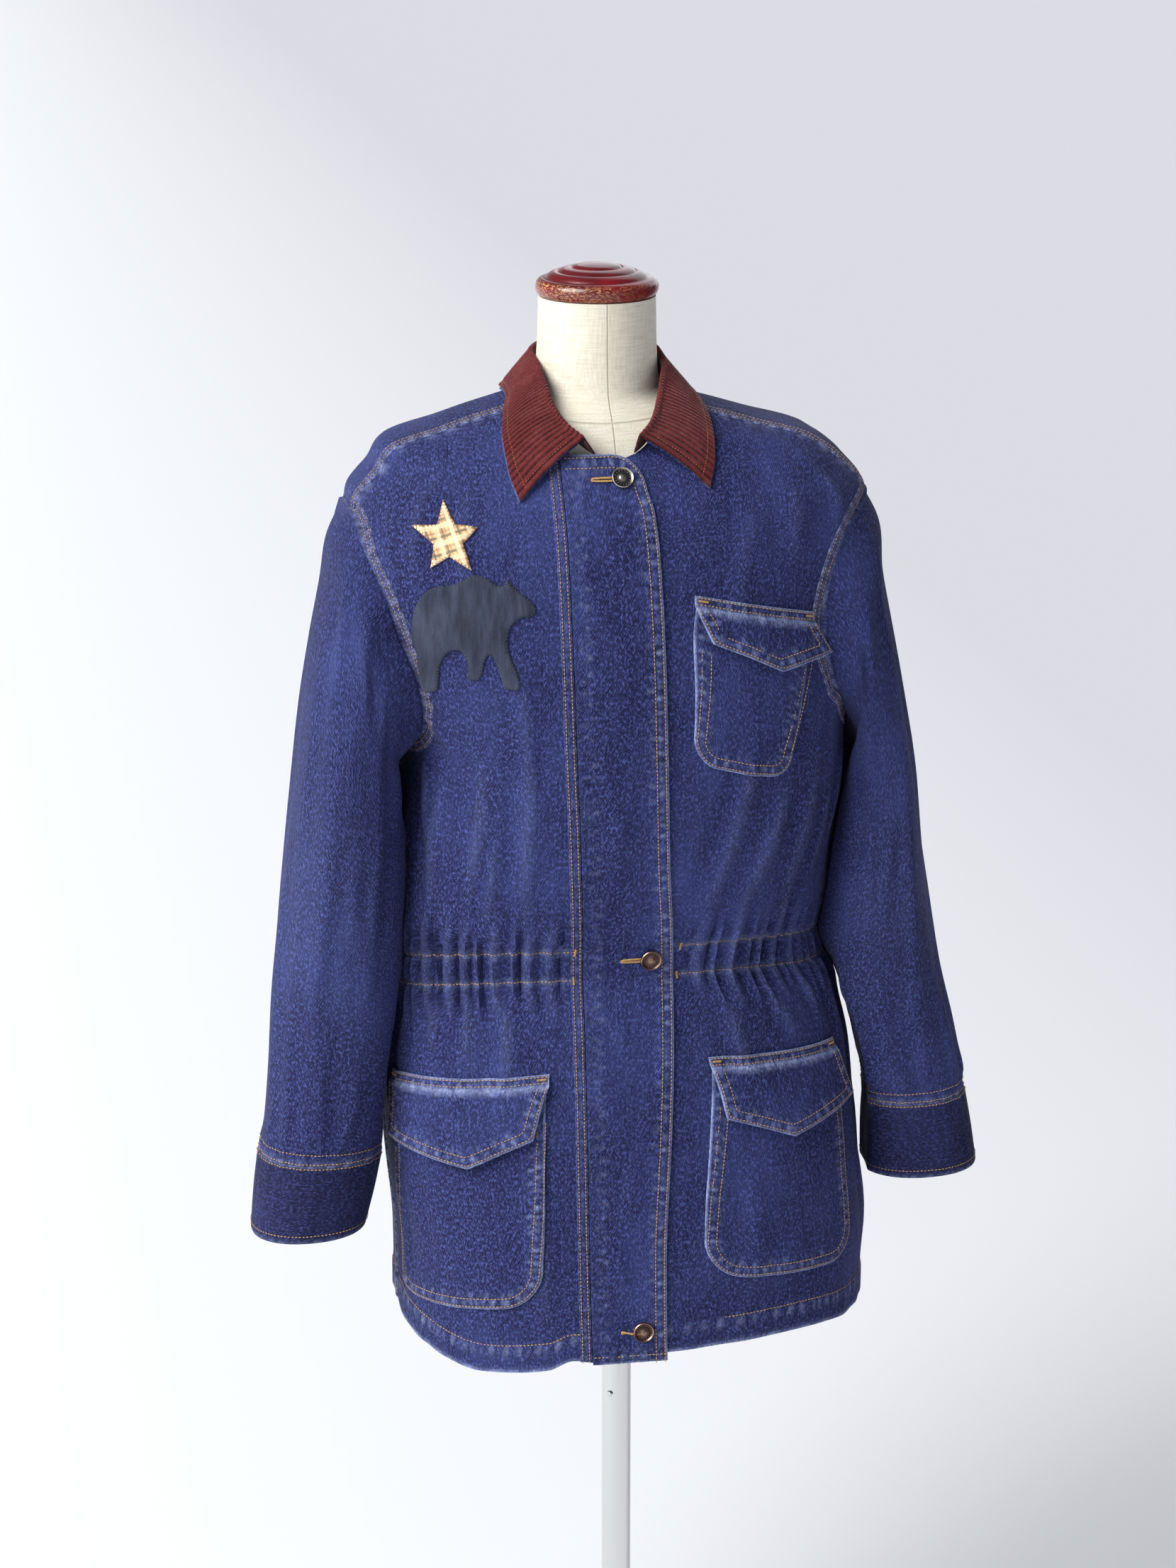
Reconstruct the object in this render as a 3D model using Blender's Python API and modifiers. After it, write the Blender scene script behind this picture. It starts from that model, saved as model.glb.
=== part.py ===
# A denim jacket with a corduroy collar, worn by a limbless dress form on a pole and a round base.
# Metres, +Z up, the front faces -Y and the wearer's left is +X.
# The origin is at the middle of the base's underside.

import math

import bmesh
import bpy
import numpy as np
from mathutils import Vector
from mathutils.bvhtree import BVHTree
from mathutils.geometry import delaunay_2d_cdt

# Cloth
WALL = 0.0013            # denim
CORDUROY = 0.0015
PATCH_CLOTH = 0.0010
SEAM = 0.00015           # half of the gap between two pieces at a seam
LIFT = 0.0004            # gap between a panel and what is sewn on it
CLEAR = 0.0006           # and what is kept clear where sheets bend over each other
SETTLE_REACH = 0.012     # how far off the settling looks for what lies below

# Jacket heights
WAIST_Z = 0.8145         # middle of the gathered channel at the placket
WAIST_DIP = 0.020        # how much lower the channel runs at the sides
CHANNEL_HALF = 0.0125
CHANNEL_FADE = 0.034
GATHER_DEPTH = 0.0026

# The hem's edge: angle from the centre front, height
HEM = np.array((
    (-90.0, 0.4860), (-62.0, 0.4735), (-42.0, 0.4655), (-22.0, 0.4715), (0.0, 0.4820),
    (30.0, 0.4860), (55.0, 0.4820), (90.0, 0.4840), (135.0, 0.4760), (180.0, 0.4740),
    (225.0, 0.4790), (270.0, 0.4860),
))

# Armhole, in angle round the body and height: an ellipse at the back and fuller in front
ARM_Z = 1.081
ARM_HALF = 0.096
ARM_FRONT = {-1: (31.0, 2.6), 1: (41.0, 2.9)}    # side: degrees forward of the side, squareness
ARM_LOWER = {-1: 2.8, 1: 1.8}                    # squareness of the front's lower half
ARM_BACK = 33.0
ARM_POINTS = 24
ARM_RADIUS = 0.19        # the body's radius there, for seam gaps
SEAM_STEP = 1            # ring points from the armhole's top to the shoulder seam
YOKE_STEP = 4            # and to the back yoke seam

# Neckline, an oval seen from above
NECK_X = -0.021
NECK_Y = -0.012
NECK_HALF = 0.060
NECK_FRONT = 0.079
NECK_BACK = 0.066

# The jacket's body, a row for each height
BODY_COLUMNS = ("z", "centre", "half", "front", "back", "square")
BODY = np.array((
    (0.460, 0.008, 0.197, 0.142, 0.150, 2.6),
    (0.540, 0.009, 0.198, 0.142, 0.152, 2.6),
    (0.620, 0.003, 0.199, 0.139, 0.150, 2.5),
    (0.700, -0.004, 0.196, 0.134, 0.142, 2.5),
    (0.760, -0.009, 0.188, 0.127, 0.131, 2.4),
    (0.805, -0.019, 0.176, 0.120, 0.120, 2.4),
    (0.850, -0.014, 0.183, 0.128, 0.129, 2.4),
    (0.920, -0.004, 0.183, 0.135, 0.134, 2.5),
    (0.980, 0.002, 0.180, 0.139, 0.138, 2.6),
    (1.040, -0.006, 0.186, 0.140, 0.139, 2.7),
    (1.100, -0.017, 0.198, 0.136, 0.136, 2.7),
    (1.150, -0.018, 0.208, 0.127, 0.128, 2.7),
    (1.180, -0.0115, 0.209, 0.116, 0.118, 2.6),
    (1.205, -0.012, 0.192, 0.102, 0.105, 2.5),
    (1.2245, -0.0185, 0.1730, 0.088, 0.092, 2.4),
    (1.2355, -0.020, 0.1370, 0.080, 0.083, 2.3),
    (1.2445, -0.021, 0.109, 0.073, 0.075, 2.2),
    (1.2520, -0.021, 0.0835, 0.066, 0.068, 2.1),
    (1.2590, -0.021, 0.064, 0.060, 0.061, 2.0),
    (1.2660, -0.021, 0.056, 0.055, 0.056, 2.0),
    (1.2790, -0.021, 0.052, 0.050, 0.052, 2.0),
))

# The body's large soft creases: angle from the centre front (wearer's left is plus), height,
# half height, width in degrees, depth (a ridge is plus) and slant in degrees a metre
BODY_FOLDS = np.array((
    (-58.0, 1.150, 0.070, 12.0, 0.0035, 0.0),
    (54.0, 1.140, 0.060, 12.0, 0.0030, 0.0),
    (-42.0, 0.905, 0.070, 16.0, 0.0045, 0.0),
    (38.0, 0.900, 0.070, 16.0, 0.0045, 0.0),
    (118.0, 0.590, 0.140, 13.0, 0.0060, 0.0),
    (158.0, 0.580, 0.150, 14.0, -0.0045, 10.0),
    (196.0, 0.570, 0.140, 14.0, 0.0055, -10.0),
    (238.0, 0.590, 0.150, 13.0, 0.0060, 0.0),
    (140.0, 0.930, 0.090, 16.0, 0.0050, 25.0),
    (205.0, 0.925, 0.080, 18.0, 0.0050, -20.0),
    (134.0, 1.040, 0.075, 15.0, 0.0030, -30.0),
    (226.0, 1.040, 0.075, 15.0, 0.0030, 30.0),
))

# Sleeve sections below the armhole: outermost and innermost points seen from the front, middle
# depth and half depth. x is out from the middle of the pole.
SLEEVE_RIGHT = np.array((
    (0.2325, 1.145, 0.190, 0.968, -0.010, 0.086),
    (0.2435, 1.108, 0.186, 0.950, -0.013, 0.083),
    (0.2540, 1.063, 0.182, 0.930, -0.016, 0.080),
    (0.2620, 1.015, 0.180, 0.905, -0.018, 0.077),
    (0.2695, 0.955, 0.180, 0.872, -0.020, 0.074),
    (0.2770, 0.895, 0.182, 0.838, -0.021, 0.071),
    (0.2845, 0.835, 0.184, 0.800, -0.022, 0.068),
    (0.2910, 0.775, 0.188, 0.757, -0.023, 0.064),
    (0.2955, 0.713, 0.194, 0.705, -0.024, 0.058),
    (0.3005, 0.666, 0.200, 0.662, -0.025, 0.052),
    (0.3055, 0.640, 0.2045, 0.638, -0.026, 0.047),
    (0.3140, 0.570, 0.2200, 0.573, -0.027, 0.044),
))
SLEEVE_LEFT = np.array((
    (0.2030, 1.148, 0.176, 0.968, -0.010, 0.086),
    (0.2090, 1.113, 0.172, 0.950, -0.013, 0.083),
    (0.2185, 1.065, 0.170, 0.930, -0.016, 0.080),
    (0.2280, 1.015, 0.168, 0.905, -0.018, 0.077),
    (0.2390, 0.955, 0.165, 0.872, -0.020, 0.074),
    (0.2460, 0.895, 0.162, 0.838, -0.021, 0.071),
    (0.2530, 0.835, 0.162, 0.800, -0.022, 0.068),
    (0.2625, 0.775, 0.166, 0.757, -0.023, 0.064),
    (0.2780, 0.720, 0.176, 0.712, -0.024, 0.058),
    (0.2890, 0.680, 0.188, 0.676, -0.025, 0.052),
    (0.2925, 0.658, 0.198, 0.656, -0.026, 0.047),
    (0.3050, 0.590, 0.2060, 0.588, -0.027, 0.044),
))
SLEEVE_BLEND = (0.55, 0.28, 0.12, 0.04)   # share of the armhole's own shape in the first sections
SLEEVE_CLEAR = 0.0034                     # sleeve to body
SLEEVE_POCKET = (0.690, 0.150, 0.0125)    # height, half height and depth of the room for the hip pockets
SLEEVE_SQUARE = 2.2

# Sleeve creases: angle round the sleeve (0 outermost, 90 front), row, half rows, width, depth
SLEEVE_FOLDS = np.array((
    (60.0, 4.5, 4.0, 20.0, 0.0045),
    (105.0, 2.5, 3.0, 18.0, -0.0040),
    (20.0, 7.0, 3.0, 22.0, 0.0035),
    (85.0, 8.0, 2.5, 22.0, -0.0035),
    (300.0, 3.5, 3.5, 22.0, 0.0045),
    (255.0, 7.0, 3.0, 24.0, -0.0040),
))

# Placket, in front view: where its two long edges run
PLACKET = np.array((
    # z, ridge seam x, free edge x
    (0.4760, -0.0480, 0.0135),
    (0.5600, -0.0500, 0.0125),
    (0.6700, -0.0510, 0.0175),
    (0.7350, -0.0515, 0.0200),
    (0.8000, -0.0520, 0.0210),
    (0.9050, -0.0555, 0.0150),
    (1.0250, -0.0610, 0.0110),
    (1.1100, -0.0635, 0.0085),
    (1.1800, -0.0645, 0.0055),
    (1.2290, -0.0650, -0.0140),
))
PLACKET_WALL = 0.0020
PLACKET_TOP = 1.2230
PLACKET_ROUND = 0.026    # the rounded upper corner
FRONT_UNDER = 0.008      # how far the right front goes on under the placket
LEFT_UNDER = -0.041      # where the left front's own edge ends under it

# Pockets: side (wearer's left is plus), x of the edge near the placket, top, width, height,
# corner radius, tilt in degrees, how much its near and far sides spread for each metre down
POCKETS = {
    "chest_pocket": (1, 0.0401, 1.1102, 0.1008, 0.131, 0.021, -13.0, 0.111, -0.200),
    "hip_pocket_right": (-1, -0.0790, 0.7186, 0.1490, 0.190, 0.034, -6.2, -0.075, 0.125),
    "hip_pocket_left": (1, 0.0607, 0.7246, 0.1272, 0.182, 0.031, -4.0, 0.135, -0.031),
}
# Their flaps, which hang plumb from a tilted band: how far across and down each corner is,
# for the corner near the placket, the point and the far corner
FLAPS = {
    "chest_pocket": (0.0098, 0.0276, 0.0619, 0.0424, 0.1180, 0.0238),
    "hip_pocket_right": (0.0134, 0.0441, 0.0666, 0.0651, 0.1540, 0.0480),
    "hip_pocket_left": (0.0045, 0.0430, 0.0604, 0.0622, 0.1404, 0.0420),
}
FLAP_BAND = 0.0016       # how much wider than the pocket the band at a flap's top is, each side
POCKET_WALL = 0.0012
FLAP_WALL = 0.0018
FLAP_RISE = 0.008        # the flap's top edge above the pocket's
FLAP_LIFT = 0.0026       # the flap's underside over the pocket cloth
FLAP_PROUD = 0.0020      # how far its free edge stands off further

# Collar, a station for each share of the way from the centre back to its front end: its middle's
# x, fold (out from there, y, z), outer edge (out, y) and how much the leaf swells
COLLAR_COLUMNS = ("share", "middle", "fold_x", "fold_y", "fold_z", "edge_x", "edge_y", "swell")
COLLAR = np.array((
    (0.00, -0.0180, 0.0000, 0.0600, 1.2930, 0.0000, 0.1030, 0.0010),
    (0.07, -0.0180, 0.0105, 0.0595, 1.2930, 0.0165, 0.1022, 0.0010),
    (0.22, -0.0180, 0.0330, 0.0480, 1.2925, 0.0510, 0.0850, 0.0010),
    (0.42, -0.0175, 0.0520, 0.0130, 1.2890, 0.0740, 0.0350, 0.0005),
    (0.58, -0.0180, 0.0515, -0.0180, 1.2845, 0.0765, -0.0130, 0.0005),
    (0.72, -0.0210, 0.0480, -0.0440, 1.2755, 0.0815, -0.0480, 0.0015),
    (0.84, -0.0230, 0.0425, -0.0640, 1.2600, 0.0840, -0.0740, 0.0025),
    (0.93, -0.0235, 0.0350, -0.0800, 1.2490, 0.0820, -0.0920, 0.0030),
    (1.00, -0.0240, 0.0230, -0.0940, 1.2400, 0.0755, -0.1070, 0.0030),
))
COLLAR_WALES = 131
COLLAR_RIB = 0.0005
COLLAR_PLAIN = 34        # columns of the plain side
COLLAR_CLEAR = 0.0045    # leaf's upper face above the shoulder at its edge
COLLAR_TURN = 0.0025     # half thickness of the turned fold
COLLAR_DROP = 0.0030     # how far the fold's two sides start below its crest
UNDERCOLLAR_GAP = 0.0007
UNDERCOLLAR_PEEK = 0.0010
UNDERCOLLAR_START = 0.60 # of the first row's width, below the fold
LEAF_ROW = 4             # the first of the collar's rows that belongs to the leaf
NECK_END = 15.0          # degrees from the centre front to the collar's ends

# Patches on the right chest
STAR = {"x": -0.1580, "z": 1.1690, "outer": 0.0270, "inner": 0.0125, "turn": 9.0,
        "reach": (1.02, 1.0, 0.97, 1.05, 0.96)}
BEAR_X = -0.1312
BEAR_Z = 1.0925
BEAR = (
    # a walking bear in side view, x forward from its middle and z up, in millimetres
    (-53, -2), (-52, 14), (-46, 26), (-36, 33), (-24, 35), (-12, 38), (-2, 43), (10, 41),
    (19, 36), (25, 36), (28, 40), (32, 36), (41, 30), (50, 24), (53, 19), (50, 15),
    (41, 14), (33, 10), (28, 2), (29, -12), (35, -24), (38, -33), (36, -38), (25, -37),
    (21, -28), (14, -14), (8, -16), (3, -31), (-7, -31), (-6, -24), (-12, -12), (-22, -12),
    (-29, -20), (-31, -34), (-32, -44), (-44, -44), (-45, -34), (-48, -18),
)

# Buttons: x, z on the placket
BUTTONS = ((-0.0179, 1.2060), (0.0018, 0.8190), (-0.0068, 0.5030))
BUTTON_PROFILE = ((0.0, 0.0022), (0.0042, 0.0022), (0.0050, 0.0017), (0.0064, 0.0017), (0.0072, 0.0026),
                  (0.0082, 0.0028), (0.0088, 0.0021), (0.0088, 0.0008), (0.0080, 0.0), (0.0, 0.0))

# Dress form, rows of height, centre, half width, front and back depth
FORM_LOW = np.array((
    (0.600, -0.006, 0.140, 0.095, 0.105),
    (0.612, -0.006, 0.156, 0.108, 0.120),
    (0.660, -0.008, 0.166, 0.114, 0.130),
    (0.740, -0.010, 0.156, 0.106, 0.120),
    (0.860, -0.013, 0.126, 0.092, 0.094),
    (0.980, -0.016, 0.142, 0.106, 0.104),
    (1.060, -0.018, 0.154, 0.116, 0.112),
    (1.130, -0.020, 0.162, 0.110, 0.112),
    (1.180, -0.020, 0.166, 0.098, 0.104),
    (1.204, -0.020, 0.1670, 0.0895, 0.096),
))
# Its shoulders follow the cloth that they carry: height, gap under the cloth
FORM_HIGH = ((1.2200, 0.0045), (1.2270, 0.0035), (1.2350, 0.0020), (1.2425, 0.0010), (1.2500, 0.0006))
FORM_GAP = 0.0007
NECK = np.array((
    (1.2590, -0.0195, 0.0560, 0.0540, 0.0550),
    (1.2720, -0.0185, 0.0500, 0.0495, 0.0500),
    (1.2950, -0.0180, 0.0478, 0.0478, 0.0478),
    (1.3343, -0.0178, 0.0468, 0.0468, 0.0468),
))
FORM_AROUND = 28
CAP_X = -0.0178
CAP_PROFILE = ((0.0, 1.3600), (0.0100, 1.3596), (0.0188, 1.3578), (0.0200, 1.3562), (0.0214, 1.3570),
               (0.0300, 1.3548), (0.0312, 1.3532), (0.0326, 1.3537), (0.0398, 1.3506), (0.0410, 1.3486),
               (0.0440, 1.3486), (0.0478, 1.3462), (0.0492, 1.3418), (0.0478, 1.3368), (0.0455, 1.3346),
               (0.0, 1.3346))
POLE_RADIUS = 0.0125
BASE_RADIUS = 0.175
BASE_HEIGHT = 0.008
SNAP_Z = 0.385
SNAP_ANGLE = -37.0       # degrees from the front, towards the wearer's right
SNAP_RADIUS = 0.0026
GAP = 0.0003

COLOURS = {
    # name: linear colour, roughness, metallic
    "denim": ((0.028, 0.042, 0.150), 0.85, 0.0),
    "corduroy": ((0.105, 0.024, 0.016), 0.90, 0.0),
    "plaid": ((0.800, 0.570, 0.330), 0.85, 0.0),
    "black_cotton": ((0.024, 0.030, 0.038), 0.85, 0.0),
    "linen": ((0.780, 0.750, 0.660), 0.90, 0.0),
    "lacquer": ((0.110, 0.005, 0.008), 0.25, 0.0),
    "chrome": ((0.800, 0.800, 0.800), 0.12, 1.0),
    "button_metal": ((0.250, 0.235, 0.220), 0.35, 1.0),
    "painted_steel": ((0.700, 0.700, 0.690), 0.45, 0.0),
}


# ---- curves and surfaces ----

def smooth(table, column, at):
    """A smooth curve through one column of a table, read at values of its first column."""
    xs, ys = table[:, 0], table[:, column]
    at = np.clip(np.asarray(at, float), xs[0], xs[-1])
    step, slope = np.diff(xs), np.diff(ys) / np.diff(xs)
    before, after = slope[:-1], slope[1:]
    same = before * after > 0
    middle = np.where(same, 2 * before * after / np.where(same, before + after, 1.0), 0.0)
    tangent = np.concatenate((slope[:1], middle, slope[-1:]))
    k = np.clip(np.searchsorted(xs, at, side="right") - 1, 0, len(xs) - 2)
    t = (at - xs[k]) / step[k]
    return (ys[k] * (1 + 2 * t) * (1 - t) ** 2 + ys[k + 1] * t * t * (3 - 2 * t)
            + step[k] * (tangent[k] * t * (1 - t) ** 2 - tangent[k + 1] * t * t * (1 - t)))


def body_section(z):
    return [smooth(BODY, i, z) for i in range(1, len(BODY_COLUMNS))]


def smooth_body(u, z):
    """The uncreased body at angle u (degrees from the centre front) and height z."""
    centre, half, front, back, square = body_section(z)
    turn = np.radians(u)
    s, c = np.sin(turn), np.cos(turn)
    x = centre + half * np.sign(s) * np.abs(s) ** (2 / square)
    y = -np.where(c > 0, front, back) * np.sign(c) * np.abs(c) ** (2 / square)
    return np.stack((x, y, z + 0 * x), axis=-1)


def normal_of(surface, u, z):
    """The outward unit normal of a surface of u and z, by differences."""
    du, dz = 0.4, 0.0008
    along = surface(u + du, z) - surface(u - du, z)
    up = surface(u, z + dz) - surface(u, z - dz)
    n = np.cross(along, up)
    return n / np.linalg.norm(n, axis=-1, keepdims=True)


def window(t):
    """1 in the middle and 0 from t = 1 on, with soft shoulders."""
    return np.clip(1 - t * t, 0, 1) ** 2


def gather_peaks(first, last, count):
    k = np.arange(count + 1)
    uneven = 0.28 * np.sin(2.4 * k) * (k > 0) * (k < count)
    return first + (last - first) * (k + uneven) / count


GATHERS = (gather_peaks(-87.0, -13.0, 14), gather_peaks(13.0, 87.0, 14), gather_peaks(93.0, 267.0, 26))


def gather(u, z):
    """The waist channel's small waves: a peak at each place in GATHERS."""
    middle = WAIST_Z - WAIST_DIP * np.abs(np.sin(np.radians(u))) ** 3
    off = np.clip((np.abs(z - middle) - CHANNEL_HALF) / (CHANNEL_FADE - CHANNEL_HALF), 0, 1)
    depth = GATHER_DEPTH * (1 - off) ** 2 * (1 + 2 * off)
    wave = np.zeros(np.broadcast(u, z).shape)
    turned = np.where(u > 180.0, u - 360.0, u)
    for peaks in GATHERS:
        v = turned if peaks[-1] < 180.0 else np.where(turned < 0, turned + 360.0, turned)
        inside = (v >= peaks[0]) & (v <= peaks[-1])
        phase = np.interp(v, peaks, np.arange(len(peaks)))
        wave = wave + np.where(inside, -np.cos(2 * np.pi * phase), 0.0)
    edge = np.where(np.abs(wave) > 0, 1.0, 0.0)
    return depth * wave * edge


def body_fold(u, z):
    total = gather(u, z)
    for at, mid, high, wide, depth, slant in BODY_FOLDS:
        across = (u - at - slant * (z - mid) + 180.0) % 360.0 - 180.0
        total = total + depth * np.exp(-(across / wide) ** 2) * window((z - mid) / high)
    return total


def body(u, z):
    u, z = np.broadcast_arrays(np.asarray(u, float), np.asarray(z, float))
    return smooth_body(u, z) + body_fold(u, z)[..., None] * normal_of(smooth_body, u, z)


def body_off(u, z, lift):
    """Points that stand off the creased body by lift."""
    u, z = np.broadcast_arrays(np.asarray(u, float), np.asarray(z, float))
    return body(u, z) + np.asarray(lift)[..., None] * normal_of(body, u, z)


def angle_at_x(x, z):
    """The body's angle where its front has this x."""
    centre, half, _, _, square = body_section(z)
    reach = np.clip(np.abs(x - centre) / half, 0, 1)
    return np.degrees(np.arcsin(reach ** (square / 2))) * np.sign(x - centre)


def fullness(x, y, z):
    """Under 1 inside the body's section at z, and over 1 outside it."""
    centre, half, front, back, square = body_section(z)
    depth = np.where(y < 0, front, back)
    return (np.abs(x - centre) / half) ** square + (np.abs(y) / depth) ** square


def height_at(x, y):
    """The body's height over a place seen from above: the highest section that reaches it."""
    x, y = np.broadcast_arrays(np.asarray(x, float), np.asarray(y, float))
    levels = np.linspace(1.10, 1.29, 96)
    full = fullness(x[..., None], y[..., None], levels)
    reached = full < 1
    top = len(levels) - 1 - np.argmax(reached[..., ::-1], axis=-1)
    top = np.where(reached.any(axis=-1), top, np.argmin(full, axis=-1))
    low, high = levels[top], levels[np.minimum(top + 1, len(levels) - 1)]
    for _ in range(30):
        z = (low + high) / 2
        inside = fullness(x, y, z) < 1
        low, high = np.where(inside, z, low), np.where(inside, high, z)
    return low


def shift(u, z, distance):
    """The angle this far along the section from u."""
    step = smooth_body(u + 0.2, z) - smooth_body(u - 0.2, z)
    return u + distance * 0.4 / np.linalg.norm(step, axis=-1)


def tree_of(name):
    """A node's faces, to be measured from."""
    mesh = bpy.data.objects[name].data
    return BVHTree.FromPolygons([v.co for v in mesh.vertices], [f.vertices for f in mesh.polygons])


SAMPLES = np.array([(i, j, 8 - i - j) for i in range(9) for j in range(9 - i)]) / 8


def shortfall(point, out, trees, gap):
    """How much further out a point must go to stand off the nodes under it by gap."""
    start = Vector(point + SETTLE_REACH * out)
    need = 0.0
    for tree in trees:
        hit = tree.ray_cast(start, Vector(-out), 2 * SETTLE_REACH)
        if hit[0] is not None:
            need = max(need, gap + SETTLE_REACH - hit[3])
    return need


def settle(points, out, tris, trees, gap, rounds=5):
    """How far each point of a face must move along its own direction for all of it to clear."""
    rise = np.zeros(len(points))
    for _ in range(rounds):
        at = points + rise[:, None] * out
        more = np.zeros(len(points))
        for tri in tris:
            corners = list(tri)
            for share in SAMPLES:
                direction = share @ out[corners]
                need = shortfall(share @ at[corners], direction / np.linalg.norm(direction), trees, gap)
                if need > 0:
                    for corner, part in zip(corners, share):
                        if part > 0.1:
                            more[corner] = max(more[corner], need)
        rise += more
        if more.max() < 1e-6:
            break
    return rise


# ---- seam lines ----

def armhole(points, side, grow=0.0):
    """Angle and height of the armhole's points: from its top, down its front and up its back."""
    turn = 2 * np.pi * np.asarray(points) / ARM_POINTS
    s, c = np.sin(turn), np.cos(turn)
    reach, square = ARM_FRONT[side]
    power = 2 / np.where(s > 0, np.where(c > 0, square, ARM_LOWER[side]), 2.0)
    out = np.where(s > 0, reach, ARM_BACK) * np.sign(s) * np.abs(s) ** power
    high = ARM_HALF * np.sign(c) * np.abs(c) ** power
    return 90.0 - out - np.degrees(grow / ARM_RADIUS) * s, ARM_Z + high + grow * c


def seam_y(side):
    """How far in front of the middle the shoulder seam runs: level with its armhole end."""
    u, end_z = armhole(SEAM_STEP, side)
    return abs(smooth_body(u, end_z)[1])


def shoulder_seam(z, side):
    _, _, front, _, square = body_section(z)
    return np.degrees(np.arccos((seam_y(side) / front) ** (square / 2)))


def from_above(x, y):
    """The body's angle (0 to 180 degrees) and height at a place seen from above."""
    z = height_at(x, y)
    centre, half, front, back, square = body_section(z)
    across = (np.abs(x - centre) / half) ** (square / 2)
    ahead = (np.abs(y) / np.where(y < 0, front, back)) ** (square / 2)
    return np.degrees(np.arctan2(across, -np.sign(y) * ahead)), z


def neckline():
    """The neckline, half way round from the centre front: angle and height."""
    turn = np.radians(np.linspace(0, 180, 91))
    c = np.cos(turn)
    return from_above(NECK_X + NECK_HALF * np.sin(turn), NECK_Y - np.where(c > 0, NECK_FRONT, NECK_BACK) * c)


NECK_U, NECK_Z = neckline()


def seam_top(side):
    """The height where the shoulder seam meets the neckline, and the neckline's point past it."""
    off = shoulder_seam(NECK_Z, side) - NECK_U
    k = int(np.argmax(off < 0))
    share = off[k - 1] / (off[k - 1] - off[k])
    return NECK_Z[k - 1] + share * (NECK_Z[k] - NECK_Z[k - 1]), k


def along_seam(side, count):
    """Heights at even steps of length along the shoulder seam, from the neckline down."""
    z = np.linspace(seam_top(side)[0], armhole(SEAM_STEP, side)[1], 120)
    line = smooth_body(shoulder_seam(z, side), z)
    length = np.concatenate(([0.0], np.cumsum(np.linalg.norm(np.diff(line, axis=0), axis=1))))
    return np.interp(np.linspace(0, length[-1], count), length, z)


SEAM_ROWS = 9            # points along each shoulder seam
YOKE_SHARES = (0, 0.07, 0.19, 0.34, 0.51, 0.69, 0.87, 1)    # its rows, closer at the edges
LOWEST_ARM = ARM_Z - ARM_HALF
# Heights of the rows under the armholes, which the fronts and the back share
LOW_ROWS = np.array((0.950, 0.905, 0.868, 0.845, 0.823, 0.807, 0.790, 0.768, 0.735, 0.690, 0.645, 0.600,
                     0.552, 0.515))
WAVY = (0.780, 0.830)    # rows between these have a point at each gather


def row_angles(first, last, z, columns):
    """Angles along a panel's row: even, or at each gather's peak and valley in the channel."""
    if not WAVY[0] < z < WAVY[1]:
        return np.linspace(first, last, columns)
    low, high = min(first, last), max(first, last)
    angles = [low, high]
    for peaks in GATHERS:
        for k in (peaks, peaks - 360.0):
            both = np.sort(np.concatenate((k, (k[1:] + k[:-1]) / 2)))
            angles.extend(both[(both > low + 1.0) & (both < high - 1.0)])
    angles = np.array(sorted(angles))
    return angles if first < last else angles[::-1]


# ---- meshes ----

def strip(a, b, at_a=None, at_b=None):
    """Triangles between two rows of point numbers, which may differ in count. Points are paired
    by how far along the row each is, which is even unless at_a and at_b say otherwise."""
    at_a = np.linspace(0, 1, len(a)) if at_a is None else at_a
    at_b = np.linspace(0, 1, len(b)) if at_b is None else at_b
    faces, i, j = [], 0, 0
    while i < len(a) - 1 or j < len(b) - 1:
        if j == len(b) - 1 or (i < len(a) - 1 and at_a[i] + at_a[i + 1] <= at_b[j] + at_b[j + 1] + 1e-9):
            faces.append((a[i], a[i + 1], b[j]))
            i += 1
        else:
            faces.append((a[i], b[j + 1], b[j]))
            j += 1
    return faces


def material(name):
    found = bpy.data.materials.get(name)
    if found:
        return found
    colour, roughness, metallic = COLOURS[name]
    made = bpy.data.materials.new(name)
    made.use_nodes = True
    shader = made.node_tree.nodes["Principled BSDF"]
    shader.inputs["Base Color"].default_value = (*colour, 1.0)
    shader.inputs["Roughness"].default_value = roughness
    shader.inputs["Metallic"].default_value = metallic
    made.diffuse_color = (*colour, 1.0)
    return made


def finish(obj, finish_name):
    obj.data.materials.clear()
    obj.data.materials.append(material(finish_name))
    for home in list(obj.users_collection):
        home.objects.unlink(obj)
    JACKET.objects.link(obj)
    return obj


def mesh_object(name, points, faces, finish_name):
    """A closed mesh object; faces are turned outwards, and points that meet are merged."""
    mesh = bpy.data.meshes.new(name)
    cage = bmesh.new()
    verts = [cage.verts.new(p) for p in points]
    for face in faces:
        if len(set(face)) == 3:
            cage.faces.new([verts[i] for i in face])
    bmesh.ops.remove_doubles(cage, verts=cage.verts, dist=1e-6)
    bmesh.ops.recalc_face_normals(cage, faces=cage.faces)
    if cage.calc_volume(signed=True) < 0:
        bmesh.ops.reverse_faces(cage, faces=cage.faces)
    cage.to_mesh(mesh)
    cage.free()
    mesh.shade_smooth()
    mesh.set_sharp_from_angle(angle=math.radians(50))
    obj = bpy.data.objects.new(name, mesh)
    JACKET.objects.link(obj)
    return finish(obj, finish_name)


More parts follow.
